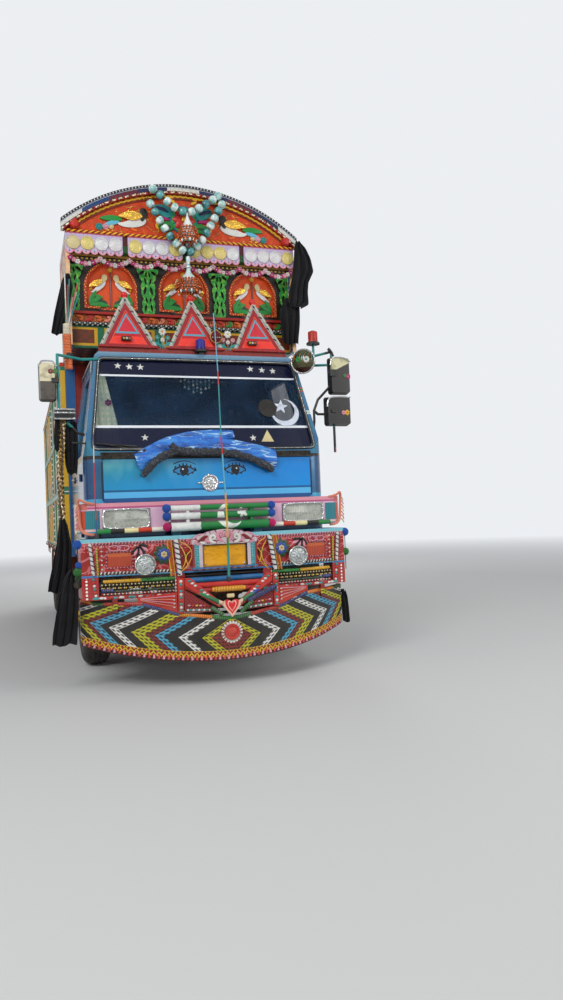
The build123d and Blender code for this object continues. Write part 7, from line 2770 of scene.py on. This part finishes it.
def mirror_trim():
    """Chrome edges, clamps and flower stickers on the mirror heads, and a bowl-backed round mirror."""
    parts = []
    y = -3.657
    for outline in (
        ((-1.53, 2.9), (-1.518, 2.946), (-1.45, 2.95), (-1.388, 2.946), (-1.376, 2.9)),
        ((1.31, 2.99), (1.318, 3.058), (1.38, 3.068), (1.47, 3.066), (1.526, 3.025)),
        ((1.256, 2.56), (1.26, 2.645), (1.33, 2.662), (1.43, 2.663), (1.514, 2.658)),
        ((-1.41, 2.51), (-1.32, 2.514), (-1.222, 2.51)), ((-1.41, 2.48), (-1.32, 2.484), (-1.222, 2.48)),
        ((-1.406, 2.428), (-1.32, 2.424), (-1.226, 2.428)),
    ):
        parts.append(tube([[(x, y + 0.004, z) for x, z in outline]], 0.008, CHROME, sides=1))
    for x, z, radius, petals, heart in (
        (-1.424, 2.855, 0.024, DEEP_RED, PINK), (-1.384, 2.856, 0.026, GREEN, RED),
        (1.496, 2.872, 0.03, MAGENTA, PINK), (1.462, 2.88, 0.022, GREEN, TEAL),
        (1.431, 2.5, 0.024, PINK, MAGENTA), (1.47, 2.5, 0.03, YELLOW, ORANGE),
    ):
        parts.append(placed(flower_head(radius, 6, 0.006, petals, heart), (x, y, z)))
    for low, high in (
        ((-1.42, -3.668, 2.755), (-1.352, -3.628, 2.795)), ((1.296, -3.668, 2.872), (1.372, -3.628, 2.94)),
        ((1.3, -3.668, 2.5), (1.35, -3.628, 2.535)),
    ):
        clamp = pressed(cube_blank(low, high), front, (0.008, -0.003))
        parts.append(finish_with(soften(clamp, 0.004), RUBBER))
    lash = ((1.312, -3.6, 3.166), (1.345, -3.6, 3.13), (1.362, -3.6, 3.085))
    parts.append(wound_line(lash, 0.015, 0.005, 0.011, RUBBER, RUBBER))
    seat(join(parts), "mirror_trim")
    bowl = pressed(
        disc_blank((0, 0, 0), 0.125, 0.03, 32), front, (0.01, 0.004), (0.016, 0.02), (0.04, 0.022),
        (0.03, 0.008),
    )
    pressed(bowl, back_side, (0.01, -0.006))
    finish_with(soften(bowl, 0.004), bowl_finish("mirror_bowl"))
    ring = tube(
        [[
            (0.124 * math.sin(i * math.tau / 20), -0.014, 0.124 * math.cos(i * math.tau / 20))
            for i in range(20)
        ]], 0.009, CHROME, closed=True,
    )
    bloom = placed(flower_head(0.036, 8, 0.01, WHITE, TEAL), (0.05, -0.064, 0.004))
    leaf = placed(flower_head(0.03, 6, 0.01, GREEN, GREEN), (-0.036, -0.068, 0.01))
    head = join([bowl, ring, bloom, leaf])
    head.location, head.rotation_euler = (1.05, -3.56, 3.034), (0, 0, math.radians(-38))
    settled(head)
    stem = tube([[(1.08, -3.5, 3.035), (1.11, -3.47, 3.04), (1.14, -3.46, 3.092)]], 0.009, RUBBER)
    seat(join([head, stem]), "round_mirror")


@finish
def bowl_finish(mix):
    """Black mirror bowl with gold and copper swirls."""
    x, y, z = mix.place()
    swirl = abs(((z - x) * 85.0 + (z * 40.0).sine() * 2.0).sine())
    colour = mix.pick("#121413", (swirl < 0.22, "#c48a3a"), (swirl > 0.93, "#1d6a52"), (z < 2.965, "#3a1c14"))
    mix.plain(colour, 0.22)
    mix.give("Metallic", 0.4)


def beacon(place, radius, height, lens, name):
    """A beacon: black base plate and ring, ribbed lens with a stepped top."""
    x, y, z = place
    base = pressed(
        disc_blank((x, y, z + 0.008), radius * 1.38, 0.016, 28, "z"), top_side, (radius * 0.22, 0.01),
    )
    body = pressed(
        disc_blank((x, y, z + 0.016 + height / 2), radius, height, 28, "z"), top_side, (radius * 0.1, 0.006),
        (radius * 0.34, 0.004), (radius * 0.1, 0.006),
    )
    soften(body, 0.002, 2, 50)
    seat(join([finish_with(base, RUBBER), finish_with(body, lens)]), name)


@finish
def beacon_lens(mix, code, light):
    x, y, z = mix.place()
    rib = (z * 420.0).sine() * 0.5 + 0.5
    mix.plain(mix.pick(code, (rib * 0.45, light)), 0.14)
    mix.give("Transmission Weight", 0.25)
    mix.bump(rib, 0.002)


def roof_lamps():
    """Red beacon on the mirror post, blue one on the roof edge, and two clusters of small lamps."""
    beacon((1.205, -3.46, 3.234), 0.05, 0.112, beacon_lens("beacon_red", "#b3170f", "#f0563a"), "beacon_red")
    beacon((0.043, -3.318, 3.15), 0.046, 0.1, beacon_lens("beacon_blue", "#121a80", "#3a4ae0"), "beacon_blue")
    parts = [finish_with(soften(cube_blank((0.02, -3.345, 3.1), (0.066, -3.292, 3.152)), 0.004), RUBBER)]
    for middle in (-0.688, 0.595):
        case = pressed(
            cube_blank((middle - 0.048, -3.318, 3.244), (middle + 0.048, -3.262, 3.282)), front,
            (0.004, -0.004),
        )
        parts.append(finish_with(soften(case, 0.003), RUBBER))
        for step in (-1, 0, 1):
            parts.append(boss(
                (middle + step * 0.028, -3.313, 3.263), 0.011, 0.008, (YELLOW, WHITE, ORANGE)[step + 1], 12,
            ))
    seat(join(parts), "lamp_clusters")


def roof_flowers():
    """Painted tin flowers and leaves between the feet of the roof triangles, and a stuffed red charm."""
    parts = []
    for middle, kinds in ((-0.335, (WHITE, TEAL)), (0.335, (WHITE, PINK))):
        for dx, z, radius, petals in (
            (0.0, 3.345, 0.04, kinds[0]), (-0.052, 3.285, 0.026, kinds[1]), (0.052, 3.285, 0.026, kinds[1]),
            (0.0, 3.262, 0.024, kinds[0]),
        ):
            parts += [
                placed(flower_head(radius, 7, 0.01, petals, YELLOW), (middle + dx, -3.302, z)),
                tube([[(middle + dx * 0.4, -3.293, 3.18), (middle + dx, -3.298, z)]], 0.005, TEAL, sides=1),
            ]
        for side in SIDES:
            parts.append(shaped(LEAF, (middle + side * 0.012, -3.288, 3.2), 0.12, side, 0.008, TEAL, 0.42))
    seat(join(parts), "roof_flowers")
    charm = ball_blank(1, 24, 16)
    for corner in charm.data.vertices:
        u, v, w = corner.co
        narrow = 1.0 - 0.55 * max(w, 0) ** 2
        pleat = 1 + 0.05 * math.cos(8 * math.atan2(v, u)) * max(w, 0)
        corner.co = (
            0.208 + u * 0.06 * narrow * pleat, -3.322 + v * 0.026 * narrow * pleat, 3.316 + w * 0.066,
        )
    stuffed = seat(
        finish_with(charm, cloth_finish("charm_cloth", "#5e0f17", 0.002, 0.2, "#8f1c30")), "charm_pouch",
    )
    trim = [tube(
        [[(0.208, -3.318, 3.378), (0.196, -3.296, 3.42), (0.178, -3.262, 3.452)]], 0.004, RED, sides=1,
    )]
    seam = []
    for step in range(24):
        angle = math.tau * step / 24
        narrow = 1.0 - 0.55 * max(math.cos(angle), 0) ** 2
        seam.append((0.208 + 0.061 * narrow * math.sin(angle), -3.322, 3.316 + 0.067 * math.cos(angle)))
    trim += [
        tube([seam], 0.004, YELLOW, closed=True, sides=1),
        bead_row([(0.158, -3.343, 3.3), (0.258, -3.343, 3.3)], 0.006, (WHITE, TEAL)),
    ]
    seat(join(trim), "charm_trim")


def whip(name, runs, foot):
    """A wound whip in coloured lengths, standing on a collar: runs of (points, radius, finish)."""
    parts = [tube([list(points)], radius, finish, sides=1) for points, radius, finish in runs]
    collar = pressed(disc_blank(foot, 0.02, 0.03, 16, "z"), top_side, (0.006, 0.014))
    seat(join([*parts, finish_with(collar, RUBBER)]), name)


def whips():
    y = -4.2
    whip(
        "whip_middle",
        (
            (((0.006, y, 0.9), (0.01, y, 1.04), (0.01, y, 1.2)), 0.012, TEAL),
            (((0.01, y, 1.2), (0.01, y, 1.3)), 0.01, GREEN),
            (((0.01, y, 1.3), (0.011, y, 1.486), (0.006, y, 1.7)), 0.008, YELLOW),
            (((0.006, y, 1.7), (-0.005, y, 1.884), (-0.008, y, 2.04)), 0.007, SKY),
            (((-0.008, y, 2.04), (-0.014, y, 2.2)), 0.007, RED),
            (((-0.014, y, 2.2), (-0.016, y, 2.4), (-0.018, y, 2.66)), 0.006, TEAL),
            (((-0.018, y, 2.66), (-0.02, y, 2.78)), 0.006, RED),
            (((-0.02, y, 2.78), (-0.034, y, 3.193), (-0.04, y, 3.3)), 0.005, SKY),
        ), (0.005, y, 0.925),
    )
    y = -3.966
    whip(
        "whip_right",
        (
            (((-1.101, y, 1.34), (-1.102, y, 1.5)), 0.006, BLUE),
            (((-1.102, y, 1.5), (-1.102, y, 2.0)), 0.005, RED),
            (((-1.102, y, 2.0), (-1.1, y, 2.15)), 0.005, WHITE),
            (((-1.1, y, 2.15), (-1.1, y, 2.25)), 0.004, BLUE),
        ), (-1.101, y, 1.352),
    )


# Inside the cab


def cushion(name, low, high, facing, crown, pleats, lean=0.0):
    """A stuffed cushion with rounded edges, a crowned face in stitched pleats and piping round it."""
    pad = cube_blank(low, high)
    divided(pad, whole, 9)
    middle = [(a + b) / 2 for a, b in zip(low, high)]
    half = [(b - a) / 2 for a, b in zip(low, high)]
    wide = 0
    long = 3 - facing
    hinge = (middle[1], low[2])

    def leaned(point):
        y, z = point[1] - hinge[0], point[2] - hinge[1]
        return (
            point[0], hinge[0] + y * math.cos(lean) + z * math.sin(lean),
            hinge[1] - y * math.sin(lean) + z * math.cos(lean),
        )

    for corner in pad.data.vertices:
        share = [(c - m) / h for c, m, h in zip(corner.co, middle, half)]
        round_off = max(abs(s) for s in share) / sum(abs(s) ** 7 for s in share) ** (1 / 7)
        share = [s * round_off for s in share]
        swell = (1 - share[wide] ** 4) * (1 - share[long] ** 4)
        groove = sum(
            math.exp(-(((share[wide] - (2 * i / pleats - 1)) * half[wide] / 0.014) ** 2))
            for i in range(1, pleats)
        )
        share[facing] *= 1 + (crown * swell - 0.01 * groove * swell) / half[facing]
        corner.co = leaned([m + s * h for m, s, h in zip(middle, share, half)])
    smooth_out(pad)
    seat(pad, name, finish=SEAT_VINYL, smooth=60)
    edge = []
    for step in range(32):
        angle = math.tau * step / 32
        u, v = math.cos(angle), math.sin(angle)
        reach = 1 / (abs(u) ** 7 + abs(v) ** 7) ** (1 / 7)
        point = list(middle)
        point[wide] += u * reach * half[wide] * 0.995
        point[long] += v * reach * half[long] * 0.995
        point[facing] += half[facing] * (0.55 if facing == 2 else -0.55)
        edge.append(leaned(point))
    return tube([edge], 0.006, DEEP_RED, closed=True, sides=1)


@finish
def vinyl_finish(mix, code, light):
    grain = mix.cells(240.0)
    mix.plain(mix.pick(code, (mix.noise(5.0, 3.0).fade(0.45, 0.65) * 0.5, light)), 0.42)
    mix.bump(grain, 0.001)


SEAT_VINYL = vinyl_finish("seat_vinyl_red", "#571a1e", "#7a2a2a")


def cab_seats():
    """Driver's seat and bench: boxed steel bases, with stuffed cushions and backs."""
    edges, bases = [], []
    for name, left, right, pleats in (("driver", -0.83, -0.3, 6), ("bench", -0.06, 0.98, 12)):
        edges += [
            cushion(f"{name}_seat", (left, -2.76, 1.47), (right, -2.27, 1.605), 2, 0.016, pleats),
            cushion(
                f"{name}_back", (left + 0.01, -2.3, 1.61), (right - 0.01, -2.18, 2.195), 1, 0.012, pleats,
                0.115,
            ),
        ]
        base = pressed(
            cube_blank((left + 0.03, -2.73, 1.196), (right - 0.03, -2.2, 1.475)), lambda centre,
            normal: abs(normal.y) > 0.7 or abs(normal.x) > 0.7, (0.03, -0.01), each=True,
        )
        bases.append(finish_with(soften(base, 0.008), STEEL))
    frame_made = seat(join([*bases, *edges]), "seat_bases")
    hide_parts("seats")


def cab_fittings():
    """Drip rails over the doors, door handles, and a box, a cloth flower and a fringe on the dashboard."""
    rails = []
    for side in SIDES:
        rails.append(tube(
            [[
                (side * 1.046, -3.395, 2.9), (side * 1.034, -3.345, 2.99), (side * 1.024, -3.27, 3.06),
                (side * 1.022, -2.7, 3.066), (side * 1.022, -2.0, 3.066),
            ]], 0.01, CHROME,
        ))
    seat(join(rails), "drip_rails")
    for side, door in ((1, "door_left"), (-1, "door_right")):
        case = pressed(
            cube_blank(
                (side * 1.15 if side > 0 else -1.182, -2.66, 1.895),
                (1.182 if side > 0 else -1.15, -2.53, 1.955),
            ), outward(side), (0.01, 0), (0.002, -0.008),
        )
        bar = tube(
            [[
                (side * 1.172, -2.64, 1.926), (side * 1.194, -2.63, 1.928), (side * 1.196, -2.59, 1.928),
                (side * 1.194, -2.55, 1.928), (side * 1.172, -2.54, 1.926),
            ]], 0.008,
        )
        seat(
            join([finish_with(soften(case, 0.003), RUBBER), finish_with(bar, CHROME)]), f"{door}_handle",
            body=door,
        )
    box = pressed(cube_blank((-0.78, -3.64, 2.088), (-0.56, -3.56, 2.15)), front, (0.01, -0.006))
    pot = placed(flower_head(0.05, 8, 0.02, RED, YELLOW), (0.06, -3.58, 2.2))
    stalk = tube([[(0.06, -3.57, 2.086), (0.06, -3.572, 2.2)]], 0.008)
    fringe = []
    for step in range(40):
        x = -0.96 + 1.92 * step / 39
        fringe.append(((x, -3.36, 2.06 + 0.004 * (step % 2)),))
    tassel = blank(bpy.ops.mesh.primitive_cone_add, vertices=7, radius1=0.012, radius2=0.004, depth=0.045)
    pressed(tassel, underside, (0.003, 0.005))
    tassels = set_out(tassel, fringe, (PINK, YELLOW, GREEN))
    seat(
        join([finish_with(soften(box, 0.006), TEAL), pot, finish_with(stalk, GREEN), tassels]), "dash_trim",
    )


black_rags()
tinsel_strand()
coloured_sticks()
mirror_trim()
roof_lamps()
roof_flowers()
whips()
cab_seats()
cab_fittings()


# Wheels


def tyre_piece(middle_x, axle_y):
    """A tyre worked from a ring: flat ribbed tread, rounded shoulders, rolled sidewalls with a rim strip."""
    around, across = 72, 40
    ring = blank(
        bpy.ops.mesh.primitive_torus_add, major_segments=around, minor_segments=across, major_radius=0.39,
        minor_radius=0.13, rotation=(0, math.pi / 2, 0),
    )
    for corner in ring.data.vertices:
        x, y, z = corner.co
        reach = math.hypot(y, z)
        angle = math.atan2(z, y)
        u, v = x / 0.13, (reach - 0.39) / 0.13
        size = max((abs(u) ** 2.9 + abs(v) ** 2.9) ** (1 / 2.9), 0.001)
        u, v = u / size, v / size
        wide = 0.14 if v < 0.2 else 0.14 - 0.01 * (v - 0.2) / 0.8
        x = u * wide
        reach = 0.3885 + v * 0.1315
        if v < -0.75:
            x *= 0.8
        if v > 0.7:
            step = round((angle / math.tau) * around)
            zigzag = 0.0045 if step % 2 else -0.0045
            for rib in (-0.062, -0.021, 0.021, 0.062):
                if abs(x - zigzag - rib) < 0.0065:
                    reach -= 0.01
            if abs(x) > 0.098 and step % 3 == 0:
                reach -= 0.007
        elif abs(v + 0.28) < 0.07:
            x *= 1.012
        corner.co = (x, reach * math.cos(angle), reach * math.sin(angle))
    ring.location = (middle_x, axle_y, AXLE_Z)
    return ring


def tyres():
    for place_name, wheel_x, axle_y, shifts in (
        ("front_left", 1.02, FRONT_AXLE, (0,)), ("front_right", -1.02, FRONT_AXLE, (0,)),
        ("rear_left", 0.925, REAR_AXLE, (-0.1625, 0.1625)),
        ("rear_right", -0.925, REAR_AXLE, (-0.1625, 0.1625)),
    ):
        name = f"tyre_{place_name}"
        finish = NODES[name].data.materials[0]
        rings = [finish_with(tyre_piece(wheel_x + shift, axle_y), finish) for shift in shifts]
        made = seat(join(rings), f"{name}_ribbed", body=f"wheel_{place_name}", smooth=50)
        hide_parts(name)


def wheel_nuts():
    """Ten nuts on every wheel disc, a beaded ring and a dome on the hub cap."""
    for place_name, face_x, axle_y, cap_x, cap_r in (
        ("front_left", 1.159, FRONT_AXLE, 1.198, 0.06), ("front_right", -1.159, FRONT_AXLE, -1.198, 0.06),
        ("rear_left", 0.939, REAR_AXLE, 1.043, 0.09), ("rear_right", -0.939, REAR_AXLE, -1.043, 0.09),
    ):
        side = 1 if face_x > 0 else -1
        nut = pressed(
            disc_blank((0, 0, 0), 0.0165, 0.026, 6, "x"), outward(side), (0.005, 0.003), (0.002, 0.008),
        )
        spots = []
        for index in range(10):
            angle = math.tau * (index + 0.5) / 10
            spots.append((
                (face_x + side * 0.011, axle_y + 0.112 * math.sin(angle), AXLE_Z + 0.112 * math.cos(angle)),
            ))
        nuts = set_out(nut, spots, (STEEL,))
        dome = pressed(
            disc_blank((cap_x + side * 0.004, axle_y, AXLE_Z), cap_r * 0.86, 0.012, 28, "x"), outward(side),
            (0.008, 0.01), (cap_r * 0.28, 0.014), (cap_r * 0.18, 0.004),
        )
        stud = pressed(ball_blank(0.008, 8, 5), lambda centre, normal: abs(normal.z) > 0.8, (0.001, 0.001))
        ring = [
            (
                (
                    cap_x + side * 0.002, axle_y + cap_r * 0.94 * math.sin(i * math.tau / 18),
                    AXLE_Z + cap_r * 0.94 * math.cos(i * math.tau / 18),
                ),
            )
            for i in range(18)
        ]
        studs = set_out(stud, ring, (YELLOW, RED, WHITE))
        seat(
            join([nuts, finish_with(soften(dome, 0.002), CHROME), studs]), f"wheel_nuts_{place_name}",
            body=f"wheel_{place_name}",
        )


# Body sides and rear


def side_rails():
    """Rope hooks and rails along both sides, with small plates hung on short links below."""
    parts = []
    for side in SIDES:
        x = side * 1.252
        for row in (1.128, 3.282):
            rail = pressed(
                cube_blank(
                    (x - 0.002 if side > 0 else x - 0.008, -1.915, row - 0.011),
                    (x + 0.008 if side > 0 else x + 0.002, 4.27, row + 0.011),
                ), outward(side), (0.004, 0), (0.001, -0.002),
            )
            parts.append(finish_with(rail, YELLOW))
        hook = tube(
            [[
                (0, 0, 0), (side * 0.03, 0, -0.002), (side * 0.034, 0, -0.045), (side * 0.016, 0, -0.058),
                (side * 0.012, 0, -0.036),
            ]], 0.007, sides=1,
        )
        first, pitch = -1.5, 0.7632
        spots = [((side * HALF_BODY, first + pitch * index, 1.18),) for index in range(8)]
        parts.append(set_out(hook, spots, (STEEL,)))
        leaf = pressed(disc_blank((0, 0, -0.034), 0.03, 0.004, 10, "x"), outward(side), (0.006, 0.002))
        plates, links = [], []
        for index in range(60):
            y = -1.86 + 0.1035 * index
            if 1.85 < y < 3.2:
                continue
            plates.append(((side * 1.236, y, 1.066), (0, 0, 0), (1, 1, 1.25)))
            links.append([(side * 1.236, y, 1.112), (side * 1.236, y, 1.056)])
        parts += [set_out(leaf, plates, (CHROME, YELLOW, RED)), tube(links, 0.003, STEEL, sides=0)]
    seat(join(parts), "side_rails")


def rear_trim():
    """Tail lamps, blank number plate, latch bars and mud flaps."""
    lamps = []
    for side in SIDES:
        for dx, finish in (
            (0.0, beacon_lens(f"tail_red_{side + 2}", "#a3120e", "#e8402a")),
            (0.115, beacon_lens(f"tail_amber_{side + 2}", "#c4661a", "#f0a63a")),
        ):
            lens = pressed(
                disc_blank((side * (0.985 + dx), 4.232, 0.57), 0.047, 0.03, 24), back_side, (0.008, 0.006),
                (0.014, 0.004),
            )
            lamps.append(finish_with(soften(lens, 0.002), finish))
    plate = pressed(
        cube_blank((-0.26, 4.222, 0.515), (0.26, 4.236, 0.625)), back_side, (0.01, 0.003), (0.003, -0.003),
    )
    lamps.append(finish_with(soften(plate, 0.002), YELLOW))
    seat(join(lamps), "tail_lamps")
    for side, door in ((1, "rear_door_left"), (-1, "rear_door_right")):
        parts = []
        x = side * 0.08
        parts.append(tube([[(x, 4.292, 2.3), (x, 4.292, 3.12)]], 0.01, STEEL))
        for z in (2.34, 2.7, 3.07):
            keep = pressed(
                cube_blank((x - 0.026, 4.274, z - 0.018), (x + 0.026, 4.294, z + 0.018)), back_side,
                (0.006, 0.003),
            )
            parts.append(finish_with(soften(keep, 0.003), STEEL))
        parts.append(tube(
            [[(x, 4.29, 2.64), (x, 4.297, 2.56), (x + side * 0.014, 4.297, 2.48)]], 0.009, RED, sides=1,
        ))
        seat(join(parts), f"{door}_bolt", body=door)
    parts = []
    for side in SIDES:
        x = side * 1.12
        case = pressed(
            cube_blank((x - 0.02, 4.272, 2.04), (x + 0.02, 4.296, 2.18)), back_side, (0.006, 0.003),
        )
        parts += [
            finish_with(soften(case, 0.003), STEEL),
            tube([[(x, 4.294, 2.16), (x, 4.298, 2.12), (x, 4.294, 2.06)]], 0.007, RED, sides=1),
        ]
    seat(join(parts), "tailgate_latches", body="tailgate")
    parts = []
    for side in SIDES:
        flap = pressed(
            cube_blank((side * 0.925 - 0.29, 3.15, 0.18), (side * 0.925 + 0.29, 3.16, 0.64)), back_side,
            (0.02, 0), (0.004, -0.003),
        )
        parts.append(finish_with(flap, RUBBER))
        bloom = flower_head(0.09, 8, 0.01, WHITE, RED)
        bloom.rotation_euler, bloom.location = (0, 0, math.pi), (side * 0.925, 3.164, 0.4)
        settled(bloom)
        parts.append(bloom)
        for dx in (-0.22, 0.22):
            parts.append(tube(
                [[(side * 0.925 + dx, 3.155, 0.63), (side * 0.925 + dx, 3.15, 0.8)]], 0.008, STEEL, sides=1,
            ))
    seat(join(parts), "mud_flaps")


tyres()
wheel_nuts()
side_rails()
rear_trim()


# Camera, floor and light


def set_camera():
    turn, tip, tilt = (math.radians(a) for a in (19.207, 1.234, -2.359))
    right = Vector((math.cos(turn), -math.sin(turn), 0))
    ahead = Vector((math.sin(turn), math.cos(turn), 0))
    look = math.cos(tip) * ahead + math.sin(tip) * Vector((0, 0, 1))
    up = -math.sin(tip) * ahead + math.cos(tip) * Vector((0, 0, 1))
    across = math.cos(tilt) * right + math.sin(tilt) * up
    above = -math.sin(tilt) * right + math.cos(tilt) * up
    data = bpy.data.cameras.new("photo_camera")
    data.sensor_fit = "AUTO"
    data.sensor_width = 36.0
    data.lens = 27.04
    data.clip_end = 200.0
    camera = bpy.data.objects.new("photo_camera", data)
    bpy.context.scene.collection.objects.link(camera)
    matrix = Matrix((across, above, -look)).transposed().to_4x4()
    matrix.translation = Vector((-1.722, -10.666, 1.468))
    camera.matrix_world = matrix
    bpy.context.scene.camera = camera


BACKDROP = (0.84, 0.86, 0.89, 1)


def pale_floor():
    floor = blank(bpy.ops.mesh.primitive_plane_add, size=120)
    floor.name = "studio_floor"
    mix = Mix("studio_floor")
    mix.plain((0.62, 0.62, 0.61, 1), 0.9)
    x, y, z = mix.place()
    far = middle_of(x, y).fade(9.0, 30.0)
    pale = mix.node("Emission", {"Color": BACKDROP})
    blend = mix.node("MixShader", {0: far * mix.seen(), 1: mix.shader.outputs[0], 2: pale.outputs[0]})
    mix.fill(mix.tree.nodes["Material Output"].inputs["Surface"], blend.outputs[0])
    finish_with(floor, mix.made)


def soft_light(name, place, aim, size, power):
    data = bpy.data.lights.new(name, "AREA")
    data.shape = "RECTANGLE"
    data.size, data.size_y = size
    data.energy = power
    lamp = bpy.data.objects.new(name, data)
    bpy.context.scene.collection.objects.link(lamp)
    lamp.location = place
    lamp.rotation_mode = "QUATERNION"
    lamp.rotation_quaternion = (Vector(aim) - Vector(place)).to_track_quat("-Z", "Y")


def pale_world():
    """White seen directly and in mirrors and glass; an even soft grey light on everything else."""
    world = bpy.data.worlds.new("studio")
    bpy.context.scene.world = world
    world.use_nodes = True
    world.node_tree.nodes.clear()
    bench = Bench(world.node_tree)
    light = bench.node("Background", {"Color": (0.92, 0.96, 1.0, 1), "Strength": 0.42})
    white = bench.node("Background", {"Color": BACKDROP, "Strength": 1.0})
    blend = bench.node("MixShader", {0: bench.seen(), 1: light.outputs[0], 2: white.outputs[0]})
    bench.node("OutputWorld", {0: blend.outputs[0]})


set_camera()
pale_floor()
pale_world()
soft_light("key", (-7.0, -12.0, 9.0), (0, -2.5, 2.5), (6, 5), 900)
soft_light("fill", (8.0, -11.0, 5.0), (0, -2.5, 2.2), (6, 5), 400)
soft_light("rear", (3.0, 12.0, 8.0), (0, 2.0, 2.0), (7, 5), 500)
bpy.context.scene.view_settings.view_transform = "Standard"
